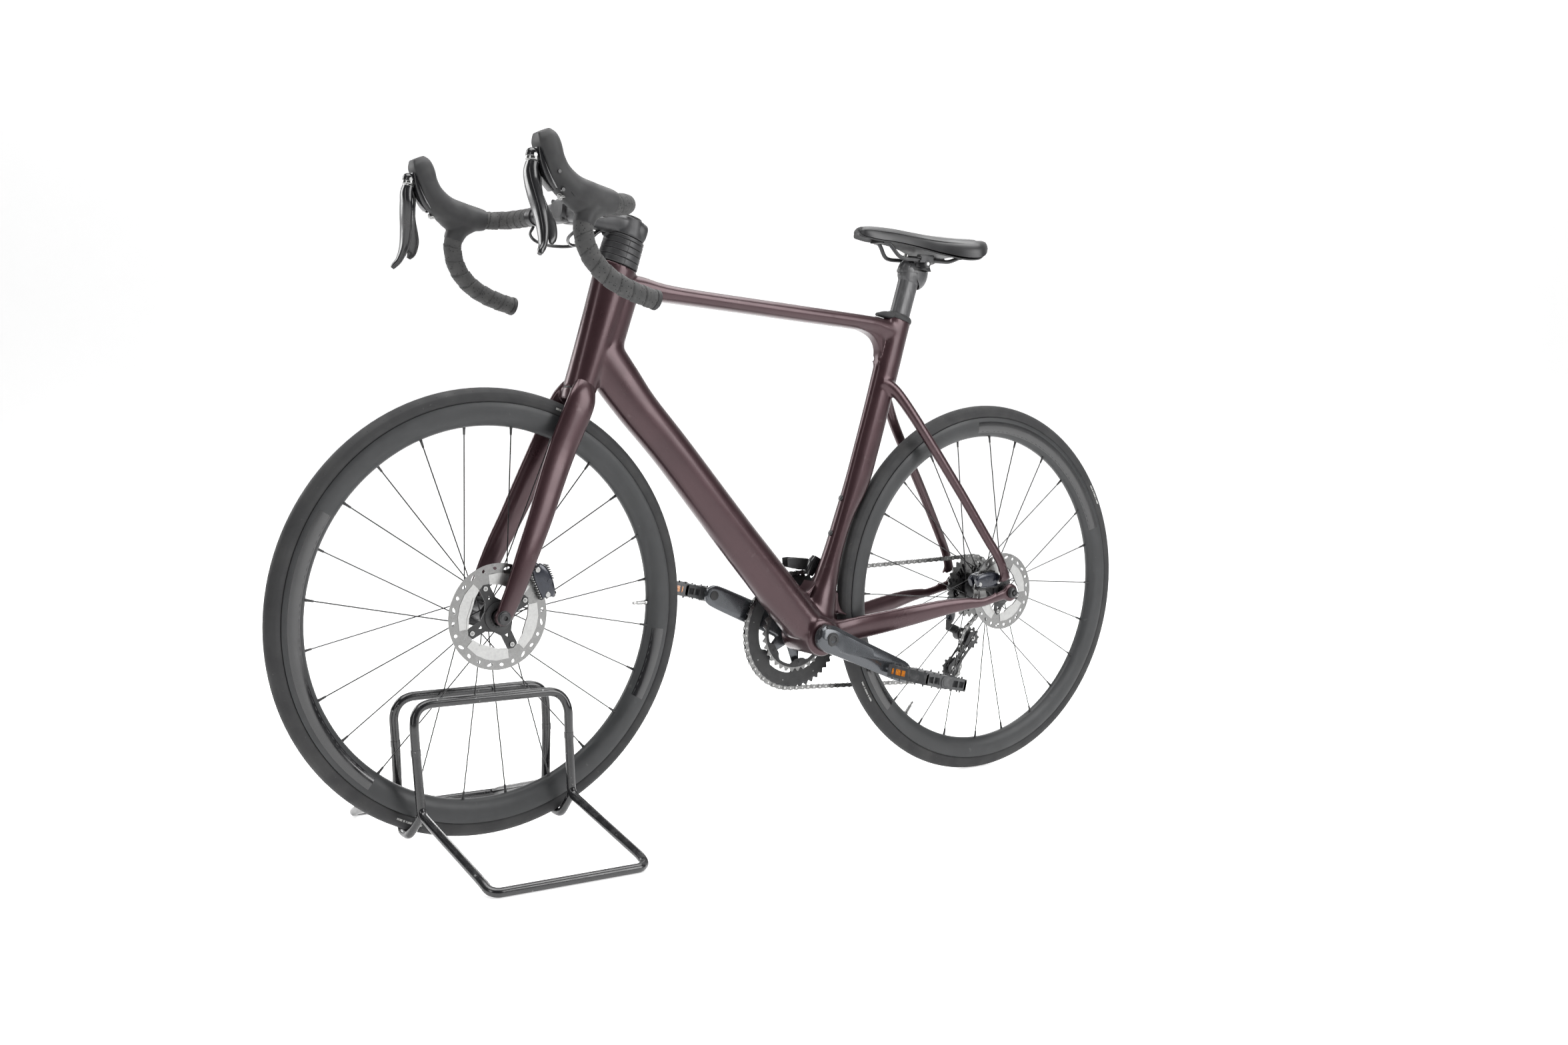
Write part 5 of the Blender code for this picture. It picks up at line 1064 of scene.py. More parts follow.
def wrapped_tape(side, word):
    """Tape laid in overlapping turns: a spiral step with a groove runs the whole length of the bar."""
    rows = smooth(mirror_rows(TAPE_ROUTE, side), 36)
    travelled = 0.0
    rings = []
    sides = 44
    normal = None
    for i, row in enumerate(rows):
        point = Vector(row)
        before = Vector(rows[max(i - 1, 0)])
        after = Vector(rows[min(i + 1, len(rows) - 1)])
        travelled += (point - before).length
        along = (after - before).normalized()
        if normal is None:
            normal = along.orthogonal().normalized()
        normal = (normal - along * normal.dot(along)).normalized()
        other = along.cross(normal)
        ring = []
        for k in range(sides):
            share = k / sides
            angle = 2 * math.pi * share
            turn = (travelled / TAPE_PITCH + share * side) % 1.0
            edge = min(turn / 0.035, 1.0)
            radius = TAPE_RADIUS + TAPE_STEP * edge * (1.0 - 0.8 * turn) + 0.00012 * math.sin(turn * 21 + i * 0.07)
            radius -= TAPE_GROOVE * max(0.0, 1.0 - abs(turn - 0.02) / 0.09)
            ring.append(point + (normal * math.cos(angle) + other * math.sin(angle)) * radius)
        rings.append(ring)
    form = Form().skin(rings)
    piece("wrapped_tape_" + word, form, "fork", "tape", ["bar_tape_" + word], angle=60)

    end = Vector(rows[-1])
    out = (end - Vector(rows[-3])).normalized()
    plug = Form()
    profile = [(0.0146, -0.004), (0.015, -0.001), (0.0148, 0.0012), (0.0136, 0.0026)]
    profile += [(0.0102, 0.0032), (0.0098, 0.002), (0.0001, 0.002), (0.0001, -0.004)]
    plug.turned(profile, end - out * 0.0022, 40, 0, out)
    piece("bar_plug_" + word, plug, "fork", "hood", angle=30)

    start = Vector(rows[0])
    band = Form().rod(start - Y_AXIS * side * 0.0004, start + Y_AXIS * side * 0.015, 0.0146, 0.0149, sides=44)
    band.rod(start + Y_AXIS * side * 0.0146, start + Y_AXIS * side * 0.0152, 0.01515, sides=44)
    piece("tape_finish_" + word, band, "fork", "satin", bevel=0.0004)


def hood(side, word):
    rows = mirror_rows(HOOD, side)
    form = Form()
    rings = oval_rings(rows, 5, 36, 0.86)
    for ring in rings:
        for point in ring:
            # the front of the head is cut flat, where the lever's bracket comes out
            point.x = max(point.x, -0.54 + max(0.0, 1.026 - point.z) * 0.42)
    form.skin(rings)
    skirt = [
        (-0.428, 0.2048, 0.9545, 0.0158, 0.0158), (-0.442, 0.2058, 0.949, 0.0162, 0.016),
        (-0.456, 0.207, 0.94, 0.0163, 0.016), (-0.4635, 0.2083, 0.929, 0.0159, 0.0157),
        (-0.466, 0.2092, 0.9205, 0.0151, 0.0151),
    ]
    form.skin(oval_rings(mirror_rows(skirt, side), 4, 36, 1.0))
    web = [
        (-0.435, 0.205, 0.956, 0.012, 0.015), (-0.464, 0.206, 0.948, 0.016, 0.016),
        (-0.488, 0.2055, 0.962, 0.015, 0.0155),
    ]
    form.skin(oval_rings(mirror_rows(web, side), 4, 30, 1.0))
    made = moulded("hood_cover_" + word, form, "fork", "hood", ["hood_" + word], 0.00125, 7)
    trim = Form()
    for lift, half in ((0.0, 0.0164), (0.0007, 0.0158)):
        path = []
        for k in range(0, 17):
            share = k / 16
            x = -0.487 - 0.033 * share
            z = 0.9545 + 0.05 * share - 0.004 * math.sin(share * math.pi)
            path.append((x, (0.205 + half + 0.0018 - 0.003 * share) * side, z + lift))
    trim.skin(sweep_rings(path, 0.00035, 6))
    piece("hood_seam_" + word, trim, "fork", "gloss", angle=60)
    # the moulded body that shows between the cover and the lever
    nose = [
        (-0.512, 0.205, 0.965, 0.006, 0.011), (-0.5195, 0.205, 0.976, 0.008, 0.012),
        (-0.5275, 0.205, 0.992, 0.0074, 0.0118), (-0.5325, 0.205, 1.008, 0.0066, 0.0108),
        (-0.5345, 0.205, 1.02, 0.0052, 0.009),
    ]
    body = Form().skin(oval_rings(mirror_rows(nose, side), 5, 28, 0.7))
    for x, z in ((-0.506, 0.964), (-0.512, 0.988)):
        a = Vector((x, (0.205 + 0.015) * side, z))
        body.rod(a, a + Y_AXIS * side * 0.004, 0.0028, sides=18)
    piece("lever_body_" + word, body, "fork", "gloss", bevel=0.0004)
    # port screw on the lower front of the bracket
    port = Form()
    a = Vector((-0.4985, 0.21 * side, 0.957))
    out = Vector((-0.8, 0.25 * side, -0.2)).normalized()
    port.rod(a, a + out * 0.0075, 0.005, sides=24)
    port.rod(a + out * 0.0072, a + out * 0.0095, 0.004, 0.0032, sides=24)
    piece("bleed_port_" + word, port, "fork", "nickel", bevel=0.0004)
    return made


def levers(side, word):
    pivot = Vector((LEVER_PIVOT.x, LEVER_PIVOT.y * side, LEVER_PIVOT.z))
    down = Vector((-0.1, 0.05 * side, -0.99)).normalized()
    cap = Form()
    dome = [(0.0001, -0.0102), (0.0042, -0.0098), (0.0072, -0.0082), (0.009, -0.005), (0.0095, -0.001)]
    dome += [(0.0095, 0.001), (0.0088, 0.0016), (0.0001, 0.0016)]
    cap.turned(dome, pivot, 36, 0, down)
    band = [(0.0001, 0.0014), (0.009, 0.0014), (0.0093, 0.002), (0.0093, 0.0062), (0.0088, 0.007), (0.0001, 0.007)]
    cap.turned(band, pivot, 36, 1, down)
    pin_a = pivot - Y_AXIS * 0.0098
    cap.rod(pin_a, pivot + Y_AXIS * 0.0098, 0.003, sides=20, look=1)
    cap.block(pivot + Vector((0.003, 0, -0.003)), (0.01, 0.011, 0.012), None, 0)
    piece(
        "lever_pivot_cap_" + word, cap, word + "_lever_pivot", ["gloss", "nickel"], ["lever_pivot_" + word],
        bevel=0.0007,
    )

    blade = Form()
    rings = oval_rings(mirror_rows(LEVER, side), 7, 36, 0.74)
    # a long flute down the front of the blade
    count = len(rings)
    for i, ring in enumerate(rings):
        share = i / (count - 1)
        depth = 0.0016 * max(0.0, math.sin(min(max((share - 0.16) / 0.62, 0.0), 1.0) * math.pi))
        centre = sum(ring, Vector()) / len(ring)
        for k, point in enumerate(ring):
            away = point - centre
            if away.y * side > 0 and abs(away.x) < 0.0062:
                ring[k] = point - Y_AXIS * side * depth * (1 - (away.x / 0.0062) ** 2)
    blade.skin(rings)
    tip = Vector((LEVER[-2][0], LEVER[-2][1] * side, LEVER[-2][2]))
    ball = [
        (0.0001, -0.0044), (0.0026, -0.0036), (0.0042, -0.0014), (0.0044, 0.001), (0.0032, 0.0034),
        (0.0001, 0.0044),
    ]
    blade.turned(ball, tip, 28, 0, Vector((-0.55, 0.2 * side, -0.8)).normalized())
    pin = Vector((-0.5415, (0.2085 + 0.0058) * side, 0.97))
    blade.rod(pin, pin + Y_AXIS * side * 0.003, 0.0023, sides=18, look=1)
    piece(
        "lever_blade_" + word, blade, word + "_brake_lever", ["gloss", "nickel"], ["brake_lever_" + word],
        angle=48,
    )

    paddle = Form().skin(oval_rings(mirror_rows(PADDLE, side), 6, 24, 0.7))
    arm = [LEVER_PIVOT + Vector((0.005, 0, -0.012)), (-0.5336, 0.2065, 0.98), (-0.5328, 0.209, 0.962)]
    arm.append((-0.5314, 0.2125, 0.95))
    arm = [(p[0], p[1] * side, p[2]) for p in arm]
    paddle.skin(sweep_rings(smooth(arm, 6), 0.0024, 14))
    piece(
        "shift_blade_" + word, paddle, word + "_shift_paddle", "gloss", ["shift_paddle_" + word],
        angle=48,
    )


def spacers():
    form = Form()
    start = 0.5566
    heights = (0.01, 0.0098, 0.0098, 0.0092, 0.006)
    for i, height in enumerate(heights):
        low = start + 0.0003
        high = start + height - 0.0003
        rings = []
        for lift, shrink in ((low, 0.0009), (low + 0.0008, 0.0), (high - 0.0008, 0.0), (high, 0.0009)):
            middle = steer_at(lift, -0.0015)
            rings.append(oval(middle, STEER_DIR, 0.0344 - shrink - 0.0003 * i, 0.0243 - shrink, 72, 0.95))
        form.skin(rings)
        form.skin(
            [oval(steer_at(lift, -0.0015), STEER_DIR, 0.0325, 0.0222, 48, 0.95) for lift in (start, start + height)]
        )
        start += height
    # the vertical parting line of the split rings
    for side in (-1, 1):
        edge = steer_at(0.578, 0.0, 0.0) + Y_AXIS * side * 0.0242
        form.block(edge, (0.001, 0.0008, 0.038), Matrix.Rotation(math.pi / 2 - HEAD_ANGLE, 4, "Y"), 1)
    guide = [steer_at(0.598, 0.026), steer_at(0.598, 0.032), steer_at(0.598, 0.0362)]
    form.skin(sweep_rings(guide, [0.0085, 0.0072, 0.0062], 24), 1)
    piece("headset_spacers", form, "fork", ["satin", "hood"], ["spacer_stack"], bevel=0.0003)


def stem():
    stations = [
        (*steer_at(0.6165, -0.03), 0.0115, 0.0135), (*steer_at(0.6165, -0.0275), 0.016, 0.018),
        (*steer_at(0.6165, -0.015), 0.0178, 0.0208), (*steer_at(0.6165, 0.012), 0.0175, 0.021),
        (*steer_at(0.6135, 0.035), 0.016, 0.019), (*steer_at(0.606, 0.075), 0.0155, 0.0182),
        (BAR_CENTRE.x + 0.024, 0, BAR_CENTRE.z - 0.001, 0.0155, 0.019),
        (BAR_CENTRE.x + 0.012, 0, BAR_CENTRE.z, 0.0183, 0.0212),
        (BAR_CENTRE.x - 0.002, 0, BAR_CENTRE.z + 0.001, 0.0188, 0.0214),
    ]
    form = Form().skin(oval_rings(stations, 5, 36, 0.72))
    collar = ((0.6022, 0.0325, 0.0232), (0.62, 0.029, 0.0222), (0.632, 0.0245, 0.0206))
    form.skin([oval(steer_at(lift, -0.0005), STEER_DIR, deep, wide, 48, 0.9) for lift, deep, wide in collar])
    moulded("stem_forging", form, "fork", "satin", ["stem"], 0.0014, 5)

    face = [
        (BAR_CENTRE.x - 0.0032, 0, BAR_CENTRE.z + 0.0012, 0.0186, 0.0213),
        (BAR_CENTRE.x - 0.01, 0, BAR_CENTRE.z + 0.002, 0.0188, 0.0214),
        (BAR_CENTRE.x - 0.016, 0, BAR_CENTRE.z + 0.0026, 0.0172, 0.021),
        (BAR_CENTRE.x - 0.0205, 0, BAR_CENTRE.z + 0.003, 0.013, 0.02),
    ]
    plate = Form().skin(oval_rings(face, 4, 36, 0.72))
    for side in (-1, 1):
        for z in (-0.0125, 0.0155):
            a = BAR_CENTRE + Vector((-0.015, side * 0.0148, z))
            plate.rod(a, a + Vector((-0.0042, 0, 0.0004)), 0.0033, sides=20, look=1)
    piece("stem_face_plate", plate, "fork", ["satin", "matt"], bevel=0.0008, angle=40)

    top = Form()
    profile = [(0.0001, 0.6318), (0.0196, 0.6318), (0.0203, 0.6326), (0.0198, 0.6344), (0.015, 0.6352)]
    profile += [(0.0062, 0.6352), (0.0056, 0.634), (0.0001, 0.634)]
    top.turned(profile, STEER_BASE, 48, 0, STEER_DIR)
    top.rod(steer_at(0.6336), steer_at(0.6356), 0.0042, sides=24, look=1)
    for lift in (0.61, 0.623):
        for side in (-1, 1):
            a = steer_at(lift, -0.0272, side * 0.0085)
            top.rod(a, a + (steer_at(0, -0.004) - steer_at(0)), 0.003, sides=18, look=1)
    piece("stem_top_cap", top, "fork", ["satin", "matt"], bevel=0.0004)

    bar = Form()
    profile = []
    for y, r in ((0.0, 0.0158), (0.044, 0.0158), (0.05, 0.0156), (0.062, 0.014), (0.072, 0.0128), (0.101, 0.0125)):
        profile.append((r, y))
    whole = [(r, -y) for r, y in reversed(profile[1:])] + profile
    rings = []
    for r, y in whole:
        rings.append(
            [
                BAR_CENTRE + Vector((r * math.cos(a), y, r * math.sin(a))) for a in [
                    2 * math.pi * k / 44 for k in range(44)
                ]
            ]
        )
    bar.skin(rings)
    piece("bar_centre", bar, "fork", "satin", ["handlebar"], angle=40)


HOSE_RADIUS = 0.0025


def hoses():
    """Two hydraulic hoses, from under the tape's inner end in a loop below the bar to the port."""
    port = steer_at(0.598, 0.036)
    for side, word in ((-1, "left"), (1, "right")):
        route = [
            (-0.387, side * 0.09, 0.94), (-0.4, side * 0.074, 0.927), (-0.402, side * 0.05, 0.915),
            (-0.385, side * 0.027, 0.908), (-0.355, side * 0.012, 0.911),
            (port.x - 0.012, side * 0.002 * 2, port.z - 0.002), (port.x, side * 0.003, port.z),
        ]
        points = [Vector(p) for p in smooth(route, 5)]
        data = bpy.data.curves.new("brake_hose_" + word, "CURVE")
        data.dimensions = "3D"
        data.bevel_depth = HOSE_RADIUS
        data.bevel_resolution = 4
        data.use_fill_caps = True
        spline = data.splines.new("POLY")
        spline.points.add(len(points) - 1)
        for target, point in zip(spline.points, points):
            target.co = (*point, 1)
        hose = bpy.data.objects.new("brake_hose_" + word, data)
        bpy.context.scene.collection.objects.link(hose)
        data.materials.append(LOOKS["gloss"])
        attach(hose, "fork")
        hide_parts("brake_hoses")


# ---------------------------------------------------------------- drivetrain
def pitch_radius(teeth):
    return teeth * CHAIN_PITCH / (2 * math.pi)


def toothed(teeth, tip=0.0019, root=0.0036, narrow=1.0):
    """A sprocket's outline: a round seat for each roller between two straight flanks."""
    base = pitch_radius(teeth)
    step = 2 * math.pi / teeth
    outline = []
    shape = ((-0.5, -root), (-0.4, -root * 0.86), (-0.26, -root * 0.25), (-0.1 * narrow, tip))
    shape += ((0.1 * narrow, tip), (0.26, -root * 0.25), (0.4, -root * 0.86))
    for k in range(teeth):
        for share, lift in shape:
            angle = step * (k + share)
            outline.append(((base + lift) * math.cos(angle), (base + lift) * math.sin(angle)))
    return outline


def slots(count, inner, outer, width, phase=0.0, steps=5):
    """Round-cornered windows in a ring between two radii."""
    made = []
    for k in range(count):
        middle_angle = phase + 2 * math.pi * k / count
        loop = []
        for radius, way in ((outer, 1), (inner, -1)):
            half = math.radians(width) / 2
            for i in range(steps + 1):
                share = -1 + 2 * i / steps
                pull = 0.0012 * abs(share) ** 6 * (-1 if radius == outer else 1)
                angle = middle_angle + way * share * half
                loop.append(((radius + pull) * math.cos(angle), (radius + pull) * math.sin(angle)))
        made.append(loop)
    return made


def cassette():
    form = Form()
    for k, teeth in enumerate(COGS):
        across = FIRST_COG_Y + COG_SPACING * k
        base = pitch_radius(teeth)
        loops = [toothed(teeth), circle(0.0176, 30)]
        if base > 0.034:
            loops += slots(6, 0.0235, base - 0.0085, 34, 0.2 + 0.13 * k)
        form.plate(loops, 0.0016, side_plane(REAR_HUB.x, across, REAR_HUB.z))
        if k:
            ring = [(0.0168, across - 0.0027), (0.0205, across - 0.0027), (0.0205, across - 0.0009)]
            ring.append((0.0168, across - 0.0009))
            form.turned([(r, h) for r, h in ring], Vector((REAR_HUB.x, 0, REAR_HUB.z)), 32, 1)
    last = FIRST_COG_Y + COG_SPACING * (len(COGS) - 1)
    ring = [(0.0152, last + 0.0009), (0.0196, last + 0.0009), (0.02, last + 0.0014)]
    ring += [(0.0196, last + 0.0018), (0.0152, last + 0.0018)]
    form.turned(ring, Vector((REAR_HUB.x, 0, REAR_HUB.z)), 40, 1)
    for k in range(12):
        angle = 2 * math.pi * k / 12
        place = REAR_HUB + Vector((0.0163 * math.cos(angle), last + 0.001, 0.0163 * math.sin(angle)))
        form.block(place, (0.0022, 0.0022, 0.0022), Matrix.Rotation(-angle, 4, "Y"), 1)
    piece("cassette_cogs", form, "cassette", ["cog", "satin"], ["cassette"], angle=30)


def crank_point(side, radius, across):
    angle = -CRANK_DROP if side < 0 else math.pi - CRANK_DROP
    return BRACKET + Vector((radius * math.cos(angle), across, radius * math.sin(angle)))


ARM = [
    # along the arm, half depth, distance out, half thickness, place of the ridge
    (-0.023, 0.01, 0.056, 0.008, -0.3),
    (-0.016, 0.0186, 0.0562, 0.01, -0.3),
    (0.0, 0.0234, 0.057, 0.0108, -0.3),
    (0.015, 0.023, 0.0582, 0.0104, -0.42),
    (0.028, 0.0224, 0.059, 0.0096, -0.55),
    (0.05, 0.0217, 0.061, 0.0088, -0.45),
    (0.08, 0.0209, 0.063, 0.008, -0.2),
    (0.11, 0.0203, 0.0648, 0.0075, 0.1),
    (0.14, 0.0198, 0.066, 0.007, 0.42),
    (0.16, 0.0192, 0.0666, 0.0066, 0.5),
    (0.1725, 0.018, 0.0668, 0.0062, 0.4),
    (0.181, 0.0148, 0.0668, 0.006, 0.3),
    (0.187, 0.0075, 0.0668, 0.0052, 0.2),
]


def arm_rings(side):
    """A forged arm whose outer face breaks along a ridge that runs from boss to pedal."""
    along = (crank_point(side, 1, 0) - crank_point(side, 0, 0)).normalized()
    deep = Y_AXIS.cross(along)
    if deep.z < 0:
        deep = -deep
    rings = []
    for radius, depth, across, thick, ridge in smooth(ARM, 4):
        centre = crank_point(side, radius, side * across)
        shape = [(-0.62, 0.78), (ridge - 0.05, 1.0), (ridge + 0.05, 1.0), (0.7, 0.66), (1.0, 0.18), (1.0, -0.5)]
        shape += [(0.78, -1.0), (-0.78, -1.0), (-1.0, -0.5), (-1.0, 0.24)]
        rings.append([centre + deep * (u * depth) + Y_AXIS * (side * v * thick) for u, v in shape])
    return rings


SPIDER_ANGLES = [math.pi - CRANK_DROP + math.radians(a) for a in (58, 122, 238, 302)]


def spindle(form, side, look):
    start = crank_point(side, CRANK_LENGTH, side * 0.06)
    flange = crank_point(side, CRANK_LENGTH, side * 0.074)
    end = crank_point(side, CRANK_LENGTH, side * 0.17)
    form.rod(flange, end, 0.006, 0.005, sides=24, look=look)
    form.rod(start, start - Y_AXIS * side * 0.0004, 0.008, sides=30, look=look)
    form.rod(
        crank_point(side, CRANK_LENGTH, side * 0.0728), flange + Y_AXIS * side * 0.0025, 0.0088, sides=6, look=look,
    )


def cranks():
    left = Form().skin(arm_rings(-1))
    left_arm = piece("crank_left_forging", left, "crankset", "crank", ["crank_arm_left"], 0.0016, 3, 22)
    left_arm.modifiers["bevel"].harden_normals = True
    trim = Form()
    spindle(trim, -1, 0)
    face = BRACKET - Y_AXIS * 0.0672
    cap = [(0.0106, 0.0), (0.0106, -0.0008), (0.0098, -0.0014), (0.0064, -0.0012), (0.0058, 0.0022), (0.0001, 0.0026)]
    cap.append((0.0001, 0.006))
    cap.append((0.0106, 0.006))
    trim.turned(cap, face, 40, 0)
    for k in range(8):
        angle = 2 * math.pi * k / 8
        place = face + Vector((0.0058 * math.cos(angle), 0.0006, 0.0058 * math.sin(angle)))
        trim.block(place, (0.0014, 0.0032, 0.0016), Matrix.Rotation(-angle, 4, "Y"), 0)
    for across in (-0.0512, -0.0604):
        a = crank_point(-1, -0.011, across) + Vector((0.003, 0, 0.017))
        out = Vector((-0.72, 0, 0.69))
        trim.rod(a - out * 0.004, a + out * 0.0022, 0.0036, sides=20, look=1)
        b = crank_point(-1, -0.0185, across) + Vector((0.0, 0, -0.006))
        trim.rod(b + X_AXIS * 0.004, b - X_AXIS * 0.003, 0.0034, sides=20, look=1)
    trim.block(crank_point(-1, -0.0205, -0.056), (0.005, 0.0012, 0.02), None, 0)
    piece("crank_left_fittings", trim, "crankset", ["matt", "satin"], bevel=0.0003, segments=1)

    form = Form().skin(arm_rings(1))
    form.rod(BRACKET + Y_AXIS * 0.0455, BRACKET + Y_AXIS * 0.064, 0.0205, 0.0222, sides=44)
    for angle in SPIDER_ANGLES:
        out = Vector((math.cos(angle), 0, math.sin(angle)))
        rows = []
        for reach, depth, across, half in (
            (0.006, 0.017, 0.054, 0.006), (0.022, 0.014, 0.053, 0.005), (0.04, 0.0105, 0.0518, 0.0032),
            (0.052, 0.0085, 0.0512, 0.0022), (0.061, 0.0062, 0.051, 0.0018),
        ):
            place = BRACKET + out * reach
            rows.append((place.x, across, place.z, depth, half))
        form.skin(oval_rings(rows, 4, 24, 0.7))
    moulded("crank_right_forging", form, "crankset", "crank", ["crank_arm_right"], 0.0014, 4)
    axle = Form()
    axle.rod(BRACKET - Y_AXIS * 0.0672, BRACKET + Y_AXIS * 0.05, 0.0119, sides=36)
    spindle(axle, 1, 0)
    for angle in SPIDER_ANGLES:
        tip = BRACKET + Vector((0.056 * math.cos(angle), 0, 0.056 * math.sin(angle)))
        axle.rod(tip + Y_AXIS * 0.0392, tip + Y_AXIS * 0.0532, 0.0056, sides=28, look=0)
        axle.rod(tip + Y_AXIS * 0.0384, tip + Y_AXIS * 0.0394, 0.0042, 0.0046, sides=28, look=1)
        axle.rod(tip + Y_AXIS * 0.0376, tip + Y_AXIS * 0.0386, 0.0024, sides=6, look=0)
    piece("crank_right_fittings", axle, "crankset", ["matt", "satin"], bevel=0.0003, segments=1)


def chainrings():
    big = Form()
    hole = []
    for k in range(96):
        angle = 2 * math.pi * k / 96
        near = min(abs(math.remainder(angle - a, 2 * math.pi)) for a in SPIDER_ANGLES)
        share = min(max((near - math.radians(6.5)) / math.radians(7.0), 0.0), 1.0)
        radius = 0.064 + 0.0097 * (3 * share**2 - 2 * share**3)
        hole.append((radius * math.cos(angle), radius * math.sin(angle)))
    place = side_plane(BRACKET.x, BIG_RING_Y, BRACKET.z)
    big.plate([toothed(50, 0.0019, 0.0034), circle(0.094, 96)], 0.0018, place, 0)
    face = circle(0.0946, 96)
    big.plate([face, hole], 0.0022, place, 1)
    for k in range(16):
        angle = 2 * math.pi * (k + 0.4) / 16
        out = Vector((math.cos(angle), 0, math.sin(angle)))
        pin = BRACKET + out * (0.0905 - 0.003 * (k % 2)) + Y_AXIS * (BIG_RING_Y - 0.0011)
        if k % 2:
            big.rod(pin, pin - Y_AXIS * 0.0004, 0.0014, sides=12, look=2)
        else:
            big.block(pin, (0.009, 0.0006, 0.0016), Matrix.Rotation(math.pi / 2 - angle + 0.35, 4, "Y"), 1)
    piece("ring_fifty", big, "crankset", ["satin", "matt", "cog"], ["chainring_big"], 0.0003, 1, 40)

    small = Form()
    place = side_plane(BRACKET.x, SMALL_RING_Y, BRACKET.z)
    small.plate([toothed(34, 0.002, 0.0034), circle(0.0628, 72)], 0.0019, place, 0)
    inner = []
    for k in range(72):
        angle = 2 * math.pi * k / 72
        near = min(abs(math.remainder(angle - a, 2 * math.pi)) for a in SPIDER_ANGLES)
        share = min(max((near - math.radians(8)) / math.radians(12), 0.0), 1.0)
        radius = 0.0492 + 0.0085 * (3 * share**2 - 2 * share**3)
        inner.append((radius * math.cos(angle), radius * math.sin(angle)))
    small.plate([circle(0.0632, 72), inner], 0.0021, place, 1)
    piece("ring_thirty_four", small, "crankset", ["cog", "matt"], ["chainring_small"], 0.0002, 1, 40)


def tangent(first, second):
    """Where the chain leaves one wheel and meets the next; each is (x, z, radius, turn)."""
    x1, z1, r1, turn1 = first
    x2, z2, r2, turn2 = second
    gap = Vector((x2 - x1, z2 - z1))
    length = gap.length
    unit = gap / length
    side = Vector((-unit.y, unit.x))
    share = (turn2 * r2 - turn1 * r1) / length
    normal = unit * share + side * math.sqrt(1 - share * share)
    return Vector((x1, z1)) - normal * (turn1 * r1), Vector((x2, z2)) - normal * (turn2 * r2)


def chain_line():
    """Closely spaced points of the chain's closed centre line."""
    stops = [
        (BRACKET.x, BRACKET.z, pitch_radius(50), -1, BIG_RING_Y),
        (REAR_HUB.x, REAR_HUB.z, pitch_radius(COGS[0]), -1, FIRST_COG_Y),
        (GUIDE_PULLEY.x, GUIDE_PULLEY.z, 0.0224, 1, FIRST_COG_Y),
        (TENSION_PULLEY.x, TENSION_PULLEY.z, 0.0224, -1, FIRST_COG_Y),
    ]
    runs = [tangent(stops[i][:4], stops[(i + 1) % 4][:4]) for i in range(4)]
    line = []
    for i, (x, z, radius, turn, across) in enumerate(stops):
        arrive = runs[i - 1][1] - Vector((x, z))
        leave = runs[i][0] - Vector((x, z))
        first = math.atan2(arrive.y, arrive.x)
        sweep = (math.atan2(leave.y, leave.x) - first) * turn % (2 * math.pi)
        count = max(4, math.ceil(sweep * radius / 0.0008))
        for k in range(count):
            angle = first + turn * sweep * k / count
            line.append(Vector((x + radius * math.cos(angle), across, z + radius * math.sin(angle))))
        start = Vector((runs[i][0].x, across, runs[i][0].y))
        far = stops[(i + 1) % 4][4]
        end = Vector((runs[i][1].x, far, runs[i][1].y))
        count = max(2, math.ceil((end - start).length / 0.0008))
        for k in range(count):
            share = k / count
            place = start.lerp(end, share)
            ease = min(max((share - 0.12) / 0.76, 0.0), 1.0)
            place.y = across + (far - across) * ease
            line.append(place)
    return line


def link_outline(radius, waist):
    """One link plate: two round ends with a drawn-in waist."""
    half = CHAIN_PITCH / 2
    outline = []
    for centre, first in ((half, -110), (-half, 70)):
        for k in range(9):
            angle = math.radians(first + 27.5 * k)
            outline.append((centre + radius * math.cos(angle), radius * math.sin(angle)))
        outline.append((0.0, waist if centre > 0 else -waist))
    return outline


def chain():
    line = chain_line()
    lengths = [0.0]
    for a, b in zip(line, line[1:] + line[:1]):
        lengths.append(lengths[-1] + (b - a).length)
    total = lengths[-1]
    count = 2 * round(total / CHAIN_PITCH / 2)
    pins = []
    at = 0
    for k in range(count):
        want = total * k / count
        while lengths[at + 1] < want:
            at += 1
        share = (want - lengths[at]) / (lengths[at + 1] - lengths[at])
        pins.append(line[at].lerp(line[(at + 1) % len(line)], share))
    outer = link_outline(0.0041, 0.0027)
    inner = link_outline(0.004, 0.003)
    form = Form()
    for k, pin in enumerate(pins):
        after = pins[(k + 1) % count]
        along = (after - pin).normalized()
        centre = (pin + after) / 2
        up = along.cross(Y_AXIS).normalized()
        across = up.cross(along).normalized()
        turn = Matrix((along, up, across)).transposed().to_4x4()
        place = Matrix.Translation(centre) @ turn
        offset, shape = ((0.0023, outer), (0.00148, inner))[k % 2]
        for side in (-1, 1):
            form.plate([shape], 0.0008, place @ Matrix.Translation((0, 0, side * offset)), 0)
        form.rod(pin - across * 0.00115, pin + across * 0.00115, 0.0038, sides=16, look=1)
        form.rod(pin - across * 0.0029, pin + across * 0.0029, 0.0017, sides=12, look=1)
    piece("chain_links", form, "frame", ["chain", "nickel"], ["chain"], angle=40)


